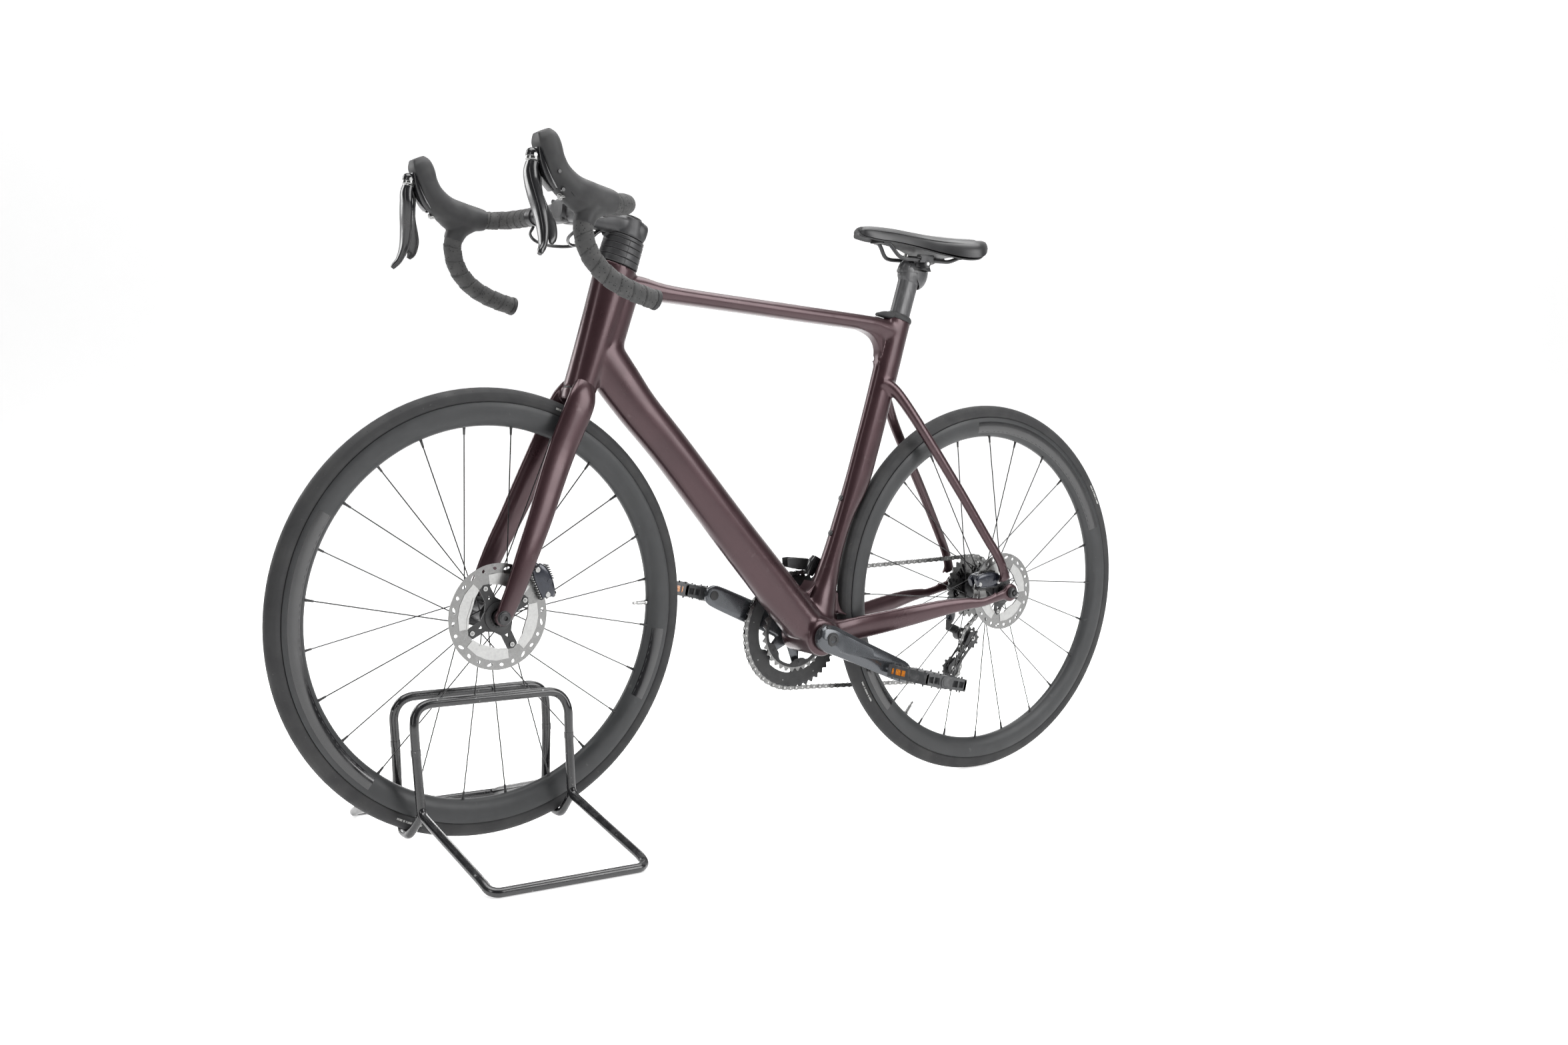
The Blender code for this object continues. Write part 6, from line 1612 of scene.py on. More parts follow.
def pulley_wheel(name, node, centre):
    outline = []
    for k in range(11):
        for share, radius in ((-0.5, 0.0168), (-0.3, 0.0176), (-0.12, 0.0213), (0.12, 0.0213), (0.3, 0.0176)):
            angle = 2 * math.pi * (k + share) / 11
            outline.append((radius * math.cos(angle), radius * math.sin(angle)))
    form = Form()
    place = side_plane(*centre)
    form.plate([outline, circle(0.007, 22)] + slots(5, 0.0095, 0.014, 40), 0.0022, place, 0)
    form.turned([(0.0036, -0.0017), (0.0082, -0.0017), (0.0082, 0.0017), (0.0036, 0.0017)], centre, 28, 1)
    piece(name, form, node, ["matt", "nickel"], [node], bevel=0.0003, segments=1)


def rear_changer():
    eye = REAR_HUB + Vector((0.006, 0.0792, -0.034))
    form = Form()
    form.rod(eye, eye + Y_AXIS * 0.01, 0.01, sides=32)
    shift_pivot = Vector((0.512, 0.084, 0.296))
    form.rod(shift_pivot - Z_AXIS * 0.0098, shift_pivot + Z_AXIS * 0.0098, 0.0056, sides=24)
    form.block((eye + shift_pivot) / 2 + Y_AXIS * 0.004, (0.012, 0.008, 0.017))
    moulded("changer_knuckle", form, "frame", "satin", ["rd_knuckle"], 0.0009, 4)
    bolt = Form()
    bolt.rod(eye + Y_AXIS * 0.0098, eye + Y_AXIS * 0.0112, 0.007, 0.0062, sides=28)
    bolt.rod(shift_pivot + Z_AXIS * 0.0096, shift_pivot + Z_AXIS * 0.0106, 0.004, sides=20)
    piece("changer_bolt", bolt, "frame", "nickel", bevel=0.0004)

    mount = Vector((0.478, 0.056, 0.262))
    link = Form()
    rows = []
    for t, lift, depth, half in (
        (0.16, -0.001, 0.0074, 0.0046), (0.3, 0.0, 0.01, 0.0054), (0.5, 0.0, 0.012, 0.0054),
        (0.68, 0.0005, 0.0105, 0.0052), (0.82, 0.001, 0.0076, 0.0044),
    ):
        spot = shift_pivot.lerp(mount, t) + Z_AXIS * lift
        rows.append((spot.x, spot.y, spot.z, depth, half))
    link.skin(oval_rings(rows, 5, 28, 0.62))
    piece("changer_outer_link", link, "changer_link", "navy", ["rd_link"], angle=50)

    pivot = Vector((0.5, 0.029, 0.245))
    body = Form()
    profile = [(0.0001, 0.012), (0.0112, 0.012), (0.0121, 0.0132), (0.0121, 0.0255), (0.0106, 0.0285)]
    profile += [(0.006, 0.0292), (0.0001, 0.0292)]
    body.turned([(r, h) for r, h in profile], pivot, 40)
    arm = [
        (pivot.x, 0.052, pivot.z + 0.0045, 0.0078, 0.0058),
        ((pivot.x + mount.x) / 2, 0.056, (pivot.z + mount.z) / 2 + 0.001, 0.0082, 0.006),
        (mount.x, mount.y, mount.z - 0.004, 0.0076, 0.0052),
    ]
    body.skin(oval_rings(arm, 5, 26, 0.7))
    body.rod(mount - Z_AXIS * 0.0098, mount + Z_AXIS * 0.0098, 0.0056, sides=24)
    moulded("changer_inner_body", body, "changer_body", "satin", ["rd_body"], 0.0009, 4)

    span = TENSION_PULLEY - GUIDE_PULLEY
    length = span.length
    unit = span / length
    cage = Form()
    local = Matrix((unit, unit.cross(Y_AXIS), -Y_AXIS)).transposed().to_4x4()
    for offset, look in ((-0.0062, 0), (0.0078, 0)):
        outline = []
        for a in range(-80, 100, 20):
            angle = math.radians(a)
            outline.append((length + 0.0118 * math.cos(angle), 0.0118 * math.sin(angle)))
        outline.append((length * 0.7, 0.0086))
        outline.append((length * 0.34, 0.009))
        for a in range(100, 280, 20):
            angle = math.radians(a)
            outline.append((0.0128 * math.cos(angle), 0.0128 * math.sin(angle)))
        outline.append((length * 0.34, -0.0078))
        outline.append((length * 0.7, -0.0074))
        windows = [
            [(length * 0.24, -0.0048), (length * 0.4, -0.0036), (length * 0.4, 0.0044), (length * 0.24, 0.0056)],
            [(length * 0.48, -0.0032), (length * 0.72, -0.004), (length * 0.72, 0.0042), (length * 0.48, 0.0034)],
        ]
        spot = Matrix.Translation(GUIDE_PULLEY + Y_AXIS * offset) @ local
        cage.plate([outline] + windows, 0.0016, spot, look)
    for centre in (GUIDE_PULLEY, TENSION_PULLEY):
        cage.rod(centre - Y_AXIS * 0.007, centre + Y_AXIS * 0.0084, 0.003, sides=20, look=1)
        cage.rod(centre - Y_AXIS * 0.0082, centre - Y_AXIS * 0.007, 0.0046, 0.005, sides=24, look=1)
        cage.rod(centre - Y_AXIS * 0.0084, centre - Y_AXIS * 0.0079, 0.0022, sides=6, look=0)
    cage.rod(pivot + Y_AXIS * 0.0076, pivot + Y_AXIS * 0.0117, 0.009, sides=32, look=0)
    stop = TENSION_PULLEY + unit * 0.015
    cage.rod(stop - Y_AXIS * 0.0064, stop + Y_AXIS * 0.008, 0.0022, sides=16, look=0)
    piece("changer_cage_plates", cage, "changer_cage", ["satin", "nickel"], ["rd_cage"], 0.0004, 2, 30)
    pulley_wheel("guide_wheel", "guide_pulley", GUIDE_PULLEY)
    pulley_wheel("tension_wheel", "tension_pulley", TENSION_PULLEY)

    housing = [
        (0.518, 0.076, 0.304), (0.533, 0.08, 0.301), (0.54, 0.079, 0.314), (0.53, 0.0775, 0.327),
        (0.516, 0.0765, 0.333),
    ]
    lead = Form().skin(sweep_rings(smooth(housing, 8), 0.0012, 12))
    piece("changer_wire", lead, "frame", "gloss", angle=60)


def front_changer():
    form = Form()
    rows = [
        (0.1185, 0.023, 0.378, 0.0075, 0.0062), (0.1215, 0.0225, 0.386, 0.01, 0.0068),
        (0.129, 0.022, 0.398, 0.0112, 0.007), (0.1345, 0.022, 0.408, 0.0085, 0.0062),
    ]
    form.skin(oval_rings(rows, 5, 28, 0.6))
    form.rod((0.124, 0.017, 0.393), (0.124, 0.03, 0.393), 0.0058, sides=24)
    piece("front_changer_body", form, "frame", "gloss", ["fd_body"], angle=50)
    bolts = Form()
    bolts.rod((0.1335, 0.0285, 0.404), (0.1335, 0.0298, 0.404), 0.0034, sides=20)
    bolts.rod((0.124, 0.0298, 0.393), (0.124, 0.0308, 0.393), 0.004, sides=20)
    piece("front_changer_bolts", bolts, "frame", "nickel", bevel=0.0003)

    rise = BRACKET + Z_AXIS * 0.117
    turn = Matrix.Rotation(0.1, 4, "Y")
    cage = Form()
    for offset, drop in ((-0.0085, 0.0), (0.0075, 0.0)):
        outline = [(-0.035, 0.008), (-0.032, -0.007), (-0.01, -0.0098), (0.02, -0.0092), (0.034, -0.007)]
        outline += [(0.035, 0.004), (0.02, 0.0098), (-0.005, 0.01), (-0.025, 0.0098)]
        spot = Matrix.Translation(rise + Vector((0.012, BIG_RING_Y + offset, drop))) @ turn
        cage.plate([outline], 0.0014, spot @ Matrix.Rotation(math.pi / 2, 4, "X"), 0)
    for centre, size in (
        ((0.04, BIG_RING_Y - 0.0005, 0.006), (0.006, 0.017, 0.005)),
        ((0.0, BIG_RING_Y - 0.0005, 0.0094), (0.014, 0.017, 0.0018)),
    ):
        cage.block(rise + Vector(centre), size, turn, 0)
    piece("front_changer_cage", cage, "front_changer", "satin", ["fd_cage"], 0.0005, 2, 30)


PEDAL_PITCH = math.radians(12)


def pedal(side, word):
    """A resin platform: walls with windows, bars to the barrel, moulded pins and reflectors."""
    centre = crank_point(side, CRANK_LENGTH, side * 0.129)
    long = 0.047
    wide = 0.05
    high = 0.0106
    form = Form()
    edge = [(-long, -high * 0.62), (-long + 0.006, -high), (long - 0.006, -high), (long, -high * 0.62)]
    edge += [(long, high * 0.62), (long - 0.006, high), (-long + 0.006, high), (-long, high * 0.62)]
    windows = []
    for way in (-1, 1):
        first = [(way * 0.015, -0.0056), (way * 0.027, -0.0056), (way * 0.027, 0.0056), (way * 0.0165, 0.0056)]
        second = [(way * 0.03, -0.0056), (way * 0.0395, -0.005), (way * 0.041, 0.005), (way * 0.03, 0.0056)]
        windows += [first, second]
    for across, thick in ((-wide + 0.0022, 0.0044), (wide - 0.0022, 0.0044)):
        place = side_plane(0, across, 0)
        hole = circle(0.0088, 22) if across * side > 0 else circle(0.007, 22)
        form.plate([edge] + windows + [hole], thick, place, 0)
    wall = [(-wide, -high), (wide, -high), (wide, high), (-wide, high)]
    for way in (-1, 1):
        inner_half = -side * 0.023
        window = [(inner_half - 0.018, -0.0052), (inner_half + 0.018, -0.0052)]
        window += [(inner_half + 0.018, 0.0052), (inner_half - 0.018, 0.0052)]
        other = side * 0.021
        open_half = [(other - 0.015, -0.005), (other + 0.015, -0.005), (other + 0.015, 0.005), (other - 0.015, 0.005)]
        place = Matrix.Translation((way * (long - 0.0028), 0, 0)) @ Matrix(
            ((0, 0, 1, 0), (1, 0, 0, 0), (0, 1, 0, 0), (0, 0, 0, 1))
        )
        form.plate([wall, window, open_half], 0.005, place, 0)
        form.block((way * (long - 0.0038), inner_half, 0), (0.0046, 0.036, 0.0104), None, 1)
        for across in (-0.033, 0.0, 0.033):
            form.block((way * 0.027, across, 0), (0.038, 0.005, 0.014), None, 0)
        form.block((way * 0.0285, -0.0165 * side, -0.001), (0.034, 0.0035, 0.012), None, 0)
    form.rod((0, -0.0512, 0), (0, 0.0512, 0), 0.0118, 0.0118, sides=36)
    for offset in (-0.03, 0.03):
        form.rod((0, offset - 0.008, 0), (0, offset + 0.008, 0), 0.0128, sides=36)
    form.rod((0, side * 0.0505, 0), (0, side * 0.0518, 0), 0.0086, 0.0078, sides=32)
    for way in (-1, 1):
        for up in (-1, 1):
            for across in (-0.04, -0.02, 0.0, 0.02, 0.04):
                base = Vector((way * 0.043, across, up * (high - 0.0008)))
                form.rod(base, base + Z_AXIS * up * 0.0042, 0.0018, 0.0013, sides=10)
            for x in (0.014, 0.029):
                base = Vector((way * x, side * (wide - 0.0024), up * (high - 0.0008)))
                form.rod(base, base + Z_AXIS * up * 0.0036, 0.0018, 0.0013, sides=10)
                base = Vector((way * x, -side * (wide - 0.0024), up * (high - 0.0008)))
                form.rod(base, base + Z_AXIS * up * 0.003, 0.0018, 0.0013, sides=10)
    placed = form.moved(Matrix.Translation(centre) @ Matrix.Rotation(PEDAL_PITCH, 4, "Y"))
    piece(
        "pedal_platform_" + word, placed, word + "_pedal", ["pedal", "reflector"], ["pedal_" + word],
        0.0006, 2, 30,
    )


# ---------------------------------------------------------------- brakes
def callipers():
    place = Matrix.Translation((-0.4365, -0.0405, 0.403)) @ Matrix.Rotation(-0.43, 4, "Y")
    form = Form()
    for side in (-1, 1):
        rows = [
            (-0.002, side * 0.0078, -0.025, 0.01, 0.0046), (0.001, side * 0.0082, -0.016, 0.0128, 0.005),
            (0.002, side * 0.0082, 0.0, 0.0142, 0.0052), (0.0015, side * 0.0082, 0.014, 0.0132, 0.005),
            (-0.001, side * 0.0078, 0.025, 0.0092, 0.0044),
        ]
        half = Form().skin(oval_rings(rows, 5, 28, 0.62))
        form.join(half)
    form.block((0.01, 0, -0.016), (0.009, 0.018, 0.011), None, 0, 0.85)
    form.block((0.01, 0, 0.015), (0.009, 0.018, 0.011), None, 0, 0.85)
    for k in range(7):
        form.block((0.015, 0, -0.003 + 0.0036 * k), (0.01, 0.017, 0.0013), Matrix.Rotation(0.2, 4, "Y"), 1)
    for z in (-0.0205, 0.0215):
        form.rod((-0.002, -0.0125, z), (-0.002, -0.0142, z), 0.0044, 0.004, sides=24, look=2)
    form.rod((0.0085, -0.01, -0.004), (0.0085, -0.0138, -0.004), 0.0052, 0.0046, sides=28, look=0)
    form.rod((0.006, 0.0, -0.025), (0.013, 0.0, -0.031), 0.004, 0.0034, sides=22, look=1)
    form.rod((-0.002, 0.0, -0.027), (0.016, -0.002, -0.0265), 0.003, sides=18, look=1)
    for k in range(11):
        form.block((-0.0128, -0.0075, -0.021 + 0.004 * k), (0.0022, 0.006, 0.0021), None, 2)
    form.block((-0.0112, 0, 0), (0.004, 0.019, 0.05), None, 1)
    placed = form.moved(place)
    piece("front_brake_body", placed, "fork", ["navy", "matt", "nickel"], ["front_caliper"], 0.0006, 2, 32)

    place = Matrix.Translation((0.462, -0.0555, 0.36)) @ Matrix.Rotation(-0.05, 4, "Y")
    form = Form()
    for side in (-1, 1):
        rows = [
            (-0.0285, side * 0.008, -0.002, 0.008, 0.0044), (-0.02, side * 0.0085, 0.001, 0.0122, 0.005),
            (0.0, side * 0.0085, 0.002, 0.0138, 0.0052), (0.017, side * 0.0085, 0.001, 0.0124, 0.005),
            (0.0275, side * 0.008, -0.002, 0.0078, 0.0042),
        ]
        form.skin(oval_rings(rows, 5, 28, 0.6))
    form.block((-0.021, 0, 0.008), (0.012, 0.018, 0.009), None, 0, 0.85)
    form.block((0.019, 0, 0.008), (0.012, 0.018, 0.009), None, 0, 0.85)
    for k in range(7):
        form.block((-0.006 + 0.0036 * k, -0.001, 0.0125), (0.0013, 0.018, 0.0095), None, 1)
    form.rod((-0.008, -0.01, 0.001), (-0.008, -0.014, 0.001), 0.0056, 0.005, sides=28, look=0)
    for x in (-0.023, 0.022):
        form.rod((x, -0.012, -0.004), (x, -0.014, -0.004), 0.0042, 0.0038, sides=24, look=2)
    form.block((0.0, 0.0005, -0.013), (0.048, 0.017, 0.0036), None, 1)
    form.rod((0.026, 0, 0.006), (0.033, 0.002, 0.011), 0.0036, 0.003, sides=20, look=1)
    placed = form.moved(place)
    piece("rear_brake_body", placed, "frame", ["navy", "matt", "nickel"], ["rear_caliper"], 0.0006, 2, 32)


# ---------------------------------------------------------------- seat
SADDLE = [
    # along X, half width, top, depth of the edge below the top
    (0.184, 0.005, 0.972, 0.004),
    (0.1862, 0.011, 0.9752, 0.01),
    (0.1915, 0.016, 0.978, 0.015),
    (0.203, 0.0188, 0.9802, 0.019),
    (0.22, 0.02, 0.9806, 0.0215),
    (0.26, 0.022, 0.979, 0.022),
    (0.3, 0.03, 0.9755, 0.024),
    (0.34, 0.047, 0.9725, 0.03),
    (0.38, 0.065, 0.9725, 0.037),
    (0.412, 0.07, 0.974, 0.037),
    (0.433, 0.062, 0.9748, 0.028),
    (0.442, 0.049, 0.9742, 0.018),
    (0.445, 0.038, 0.9732, 0.011),
]
RAIL_Y = 0.022


def saddle_section(row, width=1.0, sink=0.0):
    """One section of the padding: a crowned top that rolls over the shell's edge."""
    x, half, top, drop = row
    points = []
    for k in range(25):
        share = -1 + k / 12
        sag = drop * abs(share) ** 2.7
        groove = 0.001 * math.exp(-((share / 0.16) ** 2)) if 0.23 < x < 0.43 else 0.0
        points.append(Vector((x, half * width * math.sin(share * math.pi / 2), top - sag - groove - sink)))
    for k in range(1, 8):
        share = 1 - k / 4
        height = top - drop + 0.0052 * (1 - abs(share) ** 2) + 0.0006
        points.append(Vector((x, half * 0.93 * width * share, height - sink)))
    return points


def saddle():
    rows = smooth(SADDLE, 5)
    rings = [saddle_section(row) for row in rows]
    form = Form().skin(rings)
    cover = piece("saddle_padding", form, "saddle", "saddle", ["saddle"], angle=60)
    swell(cover, 0.0014)
    # the moulded shell under the padding, with its lip
    under = []
    for row in rows[3:-3]:
        x, half, top, drop = row
        points = []
        for k in range(17):
            share = -1 + k / 8
            rise = 0.0075 * (1 - abs(share) ** 2.2)
            points.append(Vector((x, half * 0.9 * share, top - drop + rise - 0.001)))
        for k in range(17):
            share = 1 - k / 8
            rise = 0.0075 * (1 - abs(share) ** 2.2)
            points.append(Vector((x, half * 0.88 * share, top - drop + rise - 0.0034)))
        under.append(points)
    shell = Form().skin(under)
    for side in (-1, 1):
        shell.block((0.402, side * 0.0322, 0.942), (0.018, 0.013, 0.01), None, 0, 0.7)
        shell.block((0.393, side * 0.0286, 0.938), (0.01, 0.011, 0.008), None, 0, 0.8)
    shell.block((0.237, 0, 0.957), (0.02, 0.03, 0.007), None, 0, 0.8)
    piece("saddle_shell", shell, "saddle", "matt", bevel=0.0006, angle=40)
    # two low welts that run along the flanks of the cover
    welts = Form()
    for side in (-1, 1):
        path = []
        for row in rows[10:-8]:
            x, half, top, drop = row
            share = 0.66
            path.append((x, side * half * math.sin(share * math.pi / 2), top - drop * share**2.7 - 0.0002))
        welts.skin(sweep_rings(path, 0.00055, 8))
    piece("saddle_seams", welts, "saddle", "saddle", angle=60)

    rails = Form()
    for side in (-1, 1):
        route = [
            (0.235, side * 0.012, 0.956), (0.248, side * 0.014, 0.952), (0.264, side * 0.019, 0.934),
            (0.278, side * 0.0215, 0.9292), (0.3, side * RAIL_Y, 0.929), (0.36, side * RAIL_Y, 0.929),
            (0.378, side * 0.0235, 0.93), (0.395, side * 0.029, 0.937), (0.403, side * 0.032, 0.9405),
        ]
        rails.skin(sweep_rings(smooth(route, 7), 0.0035, 22))
    rails.skin(sweep_rings([(0.237, -0.013, 0.9555), (0.234, 0.0, 0.956), (0.237, 0.013, 0.9555)], 0.0034, 18))
    piece("saddle_rail_wires", rails, "saddle", "satin", ["saddle_rails"], angle=60)


def swell(thing, most):
    """Cloth pressure puffs the padding out a little; no point may move further than most."""
    start = [v.co.copy() for v in thing.data.vertices]
    modifier = thing.modifiers.new("cloth", "CLOTH")
    settings = modifier.settings
    settings.use_pressure = True
    settings.uniform_pressure_force = 3.0
    settings.tension_stiffness = 40
    settings.compression_stiffness = 40
    settings.bending_stiffness = 8
    settings.effector_weights.gravity = 0
    scene = bpy.context.scene
    for number in range(1, 9):
        scene.frame_set(number)
    graph = bpy.context.evaluated_depsgraph_get()
    made = thing.evaluated_get(graph).to_mesh()
    ended = [v.co.copy() for v in made.vertices]
    thing.evaluated_get(graph).to_mesh_clear()
    thing.modifiers.remove(modifier)
    scene.frame_set(1)
    for vertex, before, after in zip(thing.data.vertices, start, ended):
        move = after - before
        if move.length > most:
            move = move.normalized() * most
        vertex.co = before + move
    thing.data.update()


def seatpost():
    top = seat_at(0.657)
    stations = [
        (*seat_at(0.4565), 0.0197, 0.0125), (*seat_at(0.54), 0.0197, 0.0125), (*seat_at(0.626), 0.0197, 0.0126),
        (*seat_at(0.64), 0.0212, 0.0131), (*seat_at(0.649), 0.0262, 0.0139),
        (top.x + 0.0036, 0, top.z - 0.003, 0.0316, 0.0148), (top.x + 0.0042, 0, top.z + 0.002, 0.0328, 0.015),
    ]
    form = Form().skin(oval_rings(stations, 7, 40, 0.86))
    piece("seatpost_blade", form, "seatpost", "post", ["seatpost"], 0.0014, 3, 50)

    head = seat_at(0.665)
    tilt = Matrix.Rotation(0.12, 4, "Y")
    clamp = Form()
    clamp.block(head + Vector((0.01, 0, 0.002)), (0.048, 0.029, 0.009), tilt, 0, 0.86)
    for side in (-1, 1):
        clamp.block(head + Vector((0.011, side * 0.012, 0.01)), (0.028, 0.007, 0.015), None, 0, 0.9)
        for lift, wide in ((0.0112, 0.034), (0.0205, 0.033)):
            clamp.block(head + Vector((0.012, side * 0.022, lift)), (wide, 0.0115, 0.0046), None, 0, 0.92)
        clamp.block(head + Vector((0.012, side * 0.027, 0.016)), (0.03, 0.0016, 0.01), None, 0, 0.9)
    clamp.rod(head + Vector((0.013, -0.0275, 0.007)), head + Vector((0.013, 0.0275, 0.007)), 0.0072, sides=36)
    clamp.rod(
        head + Vector((0.013, -0.0285, 0.007)), head + Vector((0.013, -0.0274, 0.007)), 0.0058, 0.0066, sides=32,
    )
    piece("seat_clamp", clamp, "seatpost", "satin", bevel=0.0007, angle=35)
    bolts = Form()
    bolts.rod(head + Vector((0.013, -0.029, 0.007)), head + Vector((0.013, -0.027, 0.007)), 0.0032, sides=20)
    for low, high in (((0.0345, 0.001), (0.0275, 0.0245)), ((-0.019, -0.002), (-0.0138, 0.0225))):
        a = head + Vector((low[0], 0, low[1]))
        b = head + Vector((high[0], 0, high[1]))
        bolts.rod(a, b, 0.0024, sides=18)
        along = (b - a).normalized()
        bolts.rod(b - along * 0.005, b, 0.0044, sides=24)
        bolts.rod(a, a + along * 0.005, 0.004, sides=24)
    piece("seat_clamp_bolts", bolts, "seatpost", "nickel", bevel=0.0004)


# ---------------------------------------------------------------- stand
STAND_TUBE = 0.007
STAND_GAP = 0.042
STAND_TOP_GAP = 0.032
STAND_FOOT = 0.2498


def rounded(corners, reach, steps):
    """A closed polyline with every corner eased over a distance no longer than reach."""
    made = []
    count = len(corners)
    for i, corner in enumerate(corners):
        here = Vector(corner)
        before = Vector(corners[i - 1])
        after = Vector(corners[(i + 1) % count])
        cut = min(reach, (before - here).length * 0.48, (after - here).length * 0.48)
        start = here + (before - here).normalized() * cut
        end = here + (after - here).normalized() * cut
        for k in range(steps + 1):
            t = k / steps
            made.append(start * (1 - t) ** 2 + here * 2 * t * (1 - t) + end * t * t)
    return made


def stand():
    for side, word in ((-1, "left"), (1, "right")):
        gap = STAND_GAP * side
        foot = STAND_FOOT * side
        top = STAND_TOP_GAP * side
        middle_y = gap + (top - gap) * 0.56
        corners = [
            (-0.625, gap, 0.07), (-0.632, middle_y, 0.16), (-0.6355, top * 1.15, 0.202),
            (-0.6325, top * 1.05, 0.217), (-0.6235, top, 0.227), (-0.6105, top, 0.231), (-0.411, top, 0.231),
            (-0.398, top, 0.227), (-0.388, top * 1.05, 0.217), (-0.383, top * 1.15, 0.202),
            (-0.381, middle_y, 0.16), (-0.378, gap, 0.07), (-0.3645, foot * 0.9, 0.016),
            (-0.366, foot * 0.965, 0.009), (-0.379, foot, 0.007), (-0.389, foot, 0.007), (-0.596, foot, 0.007),
            (-0.606, foot, 0.007), (-0.615, foot * 0.965, 0.009), (-0.6165, foot * 0.9, 0.016),
        ]
        path = rounded(corners, 0.012, 5)
        form = Form().skin(sweep_rings(path, STAND_TUBE - 0.0001, 24, closed=True), closed=True)
        # sleeves where the hoop is joined, and the seam of each joint
        for low, high in (
            ((-0.6317, middle_y, 0.157), (-0.6326, middle_y, 0.166)),
            ((-0.3809, middle_y, 0.157), (-0.3813, middle_y, 0.166)),
        ):
            form.rod(low, high, STAND_TUBE + 0.0005, sides=28)
        if side < 0:
            for x_top, x_low in ((-0.625, -0.6305), (-0.378, -0.3795)):
                bend = (x_top + x_low) / 2
                route = [
                    (x_top, -STAND_GAP, 0.07), (bend, -0.028, 0.052), (x_low, -0.014, 0.0365), (x_low, 0.0, 0.033),
                    (x_low, 0.014, 0.0365), (bend, 0.026, 0.052), (x_top, 0.0334, 0.064),
                ]
                form.skin(sweep_rings(smooth(route, 8), STAND_TUBE * 0.9, 22))
        # the bead of weld where a cradle meets the hoop
        for x in (-0.6255, -0.3785):
            for k in range(9):
                angle = 2 * math.pi * k / 9
                spot = Vector((x + 0.0058 * math.cos(angle), gap - side * 0.0052, 0.0665 + 0.005 * math.sin(angle)))
                form.rod(spot - Z_AXIS * 0.0012, spot + Z_AXIS * 0.0012, 0.0016, sides=8)
        piece("stand_tube_" + word, form, "stand", "stand", ["stand_" + word], angle=60)


# ---------------------------------------------------------------- studio
def floor_material():
    look = Nodes("studio_floor", (0.9, 0.9, 0.9), 0.55, 0.0, Specular_IOR_Level=0.25, Emission_Strength=0.58)
    look.shader.inputs["Emission Color"].default_value = (1, 1, 1, 1)
    look.tint(look.ramp(look.noise(0.8, 2.0), 0.3, 0.7, 0.0, 0.3), (0.87, 0.87, 0.87))
    return look.material


def studio():
    """A pale floor that curves up into a backdrop."""
    rows = []
    for k in range(33):
        if k < 8:
            rows.append((-9.0 + 1.9 * k, 0.0))
        else:
            angle = math.radians(90 * (k - 8) / 16) if k < 25 else math.pi / 2
            rise = 0.0 if k < 25 else (k - 24) * 1.0
            rows.append((4.3 + 3.0 * math.sin(angle), 3.0 - 3.0 * math.cos(angle) + rise))
    out = Vector((0.591, 0.802, 0))
    across = Vector((0.802, -0.591, 0))
    form = Form()
    points = []
    faces = []
    for forward, height in rows:
        for way in (-14, 14):
            points.append(out * forward + across * way + Z_AXIS * height)
    for k in range(len(rows) - 1):
        faces.append((2 * k, 2 * k + 1, 2 * k + 3, 2 * k + 2))
    form.add(points, faces)
    mesh = bpy.data.meshes.new("studio_floor")
    mesh.from_pydata(form.points, [], form.faces)
    thing = bpy.data.objects.new("studio_floor", mesh)
    bpy.context.scene.collection.objects.link(thing)
    mesh.materials.append(floor_material())
    mesh.shade_smooth()


WALL_RADIUS = 8.9
WALL_CURVE = 3.0
WALL_TOP = 16.0


def surround():
    """A pale wall round the other sides, seen by the camera only, so it sends no light to the bicycle."""
    angles = [math.radians(degrees) for degrees in range(2, 91, 8)]
    flat = WALL_RADIUS - WALL_CURVE
    rows = [(flat + WALL_CURVE * math.sin(a), WALL_CURVE * (1 - math.cos(a))) for a in angles]
    rows.append((WALL_RADIUS, WALL_TOP))
    points = []
    faces = []
    sides = 96
    for radius, height in rows:
        points += [(x, y, height) for x, y in circle(radius, sides)]
    for r in range(len(rows) - 1):
        for k in range(sides):
            j = (k + 1) % sides
            faces.append((r * sides + k, r * sides + j, (r + 1) * sides + j, (r + 1) * sides + k))
    mesh = bpy.data.meshes.new("studio_wall")
    mesh.from_pydata(points, [], faces)
    thing = bpy.data.objects.new("studio_wall", mesh)
    bpy.context.scene.collection.objects.link(thing)
    mesh.materials.append(bpy.data.materials["studio_floor"])
    mesh.shade_smooth()
    thing.visible_diffuse = False
    thing.visible_glossy = False
    thing.visible_transmission = False
    thing.visible_shadow = False


def area_light(name, place, target, size, power, colour=(1, 1, 1)):
    data = bpy.data.lights.new(name, "AREA")
    data.shape = "RECTANGLE"
    data.size, data.size_y = size
    data.energy = power
    data.color = colour
    lamp = bpy.data.objects.new(name, data)
    lamp.location = place
    lamp.rotation_euler = (Vector(target) - Vector(place)).to_track_quat("-Z", "Y").to_euler()
    bpy.context.scene.collection.objects.link(lamp)


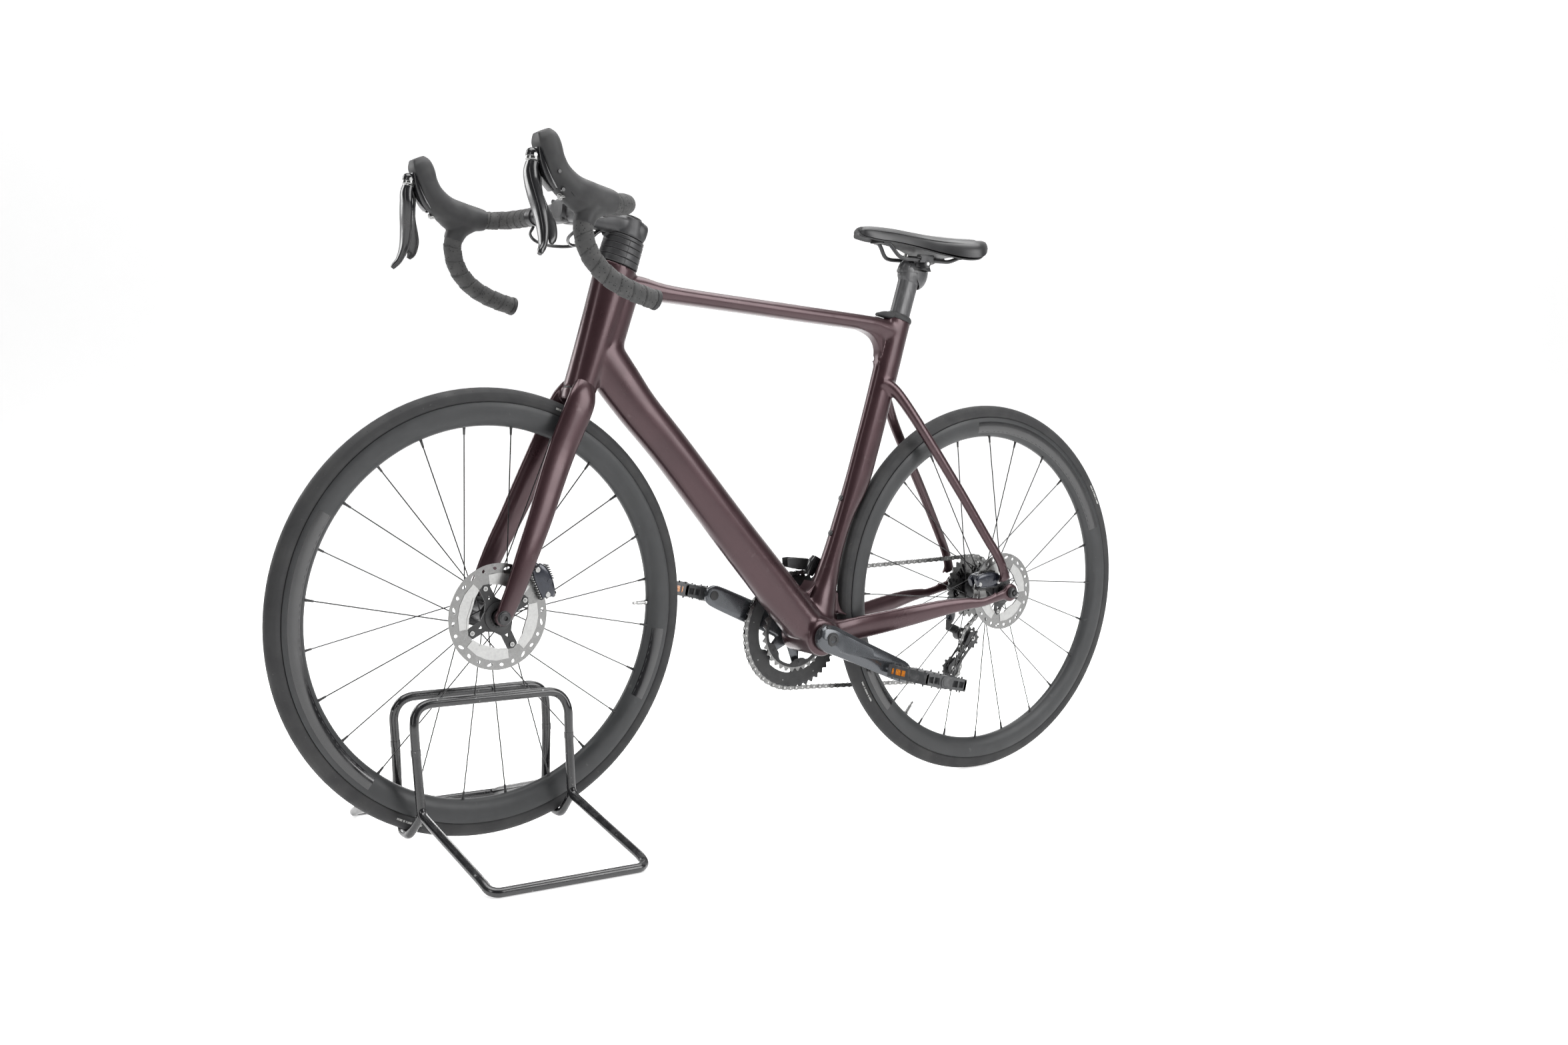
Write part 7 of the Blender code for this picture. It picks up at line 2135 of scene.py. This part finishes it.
def lights():
    world = bpy.data.worlds.new("studio")
    world.use_nodes = True
    background = world.node_tree.nodes["Background"]
    background.inputs["Color"].default_value = (1, 1, 1, 1)
    background.inputs["Strength"].default_value = 0.115
    bpy.context.scene.world = world
    area_light("overhead", (0.0, -0.2, 3.0), (0, 0, 0.4), (4.0, 2.0), 150)
    area_light("left_front", (-3.6, -1.6, 1.6), (-0.2, 0, 0.6), (0.8, 2.4), 22)
    area_light("right_front", (2.2, -3.4, 2.0), (0.1, 0, 0.6), (1.8, 2.6), 105)
    area_light("rear_left", (-2.2, 2.8, 1.8), (0, 0, 0.6), (1.2, 2.2), 55)
    area_light("rear_right", (2.4, 2.6, 2.0), (0, 0, 0.6), (1.2, 2.2), 30)


# the photo's camera, solved from the bicycle in the picture
CAMERA_LENS = 38.1087
CAMERA_PLACE = (-1.6128, -2.2514, 0.713)
CAMERA_RIGHT = (0.80612, -0.5912, 0.02566)
CAMERA_FORWARD = (0.591, 0.80214, -0.08541)


def camera():
    data = bpy.data.cameras.new("camera")
    data.lens = CAMERA_LENS
    data.sensor_width = 36
    data.clip_end = 100
    eye = bpy.data.objects.new("camera", data)
    right = Vector(CAMERA_RIGHT).normalized()
    forward = Vector(CAMERA_FORWARD).normalized()
    forward = (forward - right * forward.dot(right)).normalized()
    up = right.cross(forward)
    turn = Matrix((right, up, -forward)).transposed().to_4x4()
    eye.matrix_world = Matrix.Translation(CAMERA_PLACE) @ turn
    bpy.context.scene.collection.objects.link(eye)
    bpy.context.scene.camera = eye


# ---------------------------------------------------------------- assembly
camera()
hoses()
frame_shell()
frame_fittings()
fork()
wheels()
spacers()
stem()
for side, word in ((-1, "left"), (1, "right")):
    wrapped_tape(side, word)
    hood(side, word)
    levers(side, word)
cassette()
cranks()
chainrings()
chain()
rear_changer()
front_changer()
for side, word in ((-1, "left"), (1, "right")):
    pedal(side, word)
callipers()
saddle()
seatpost()
stand()
studio()
surround()
lights()
bpy.context.scene.view_settings.view_transform = "Standard"
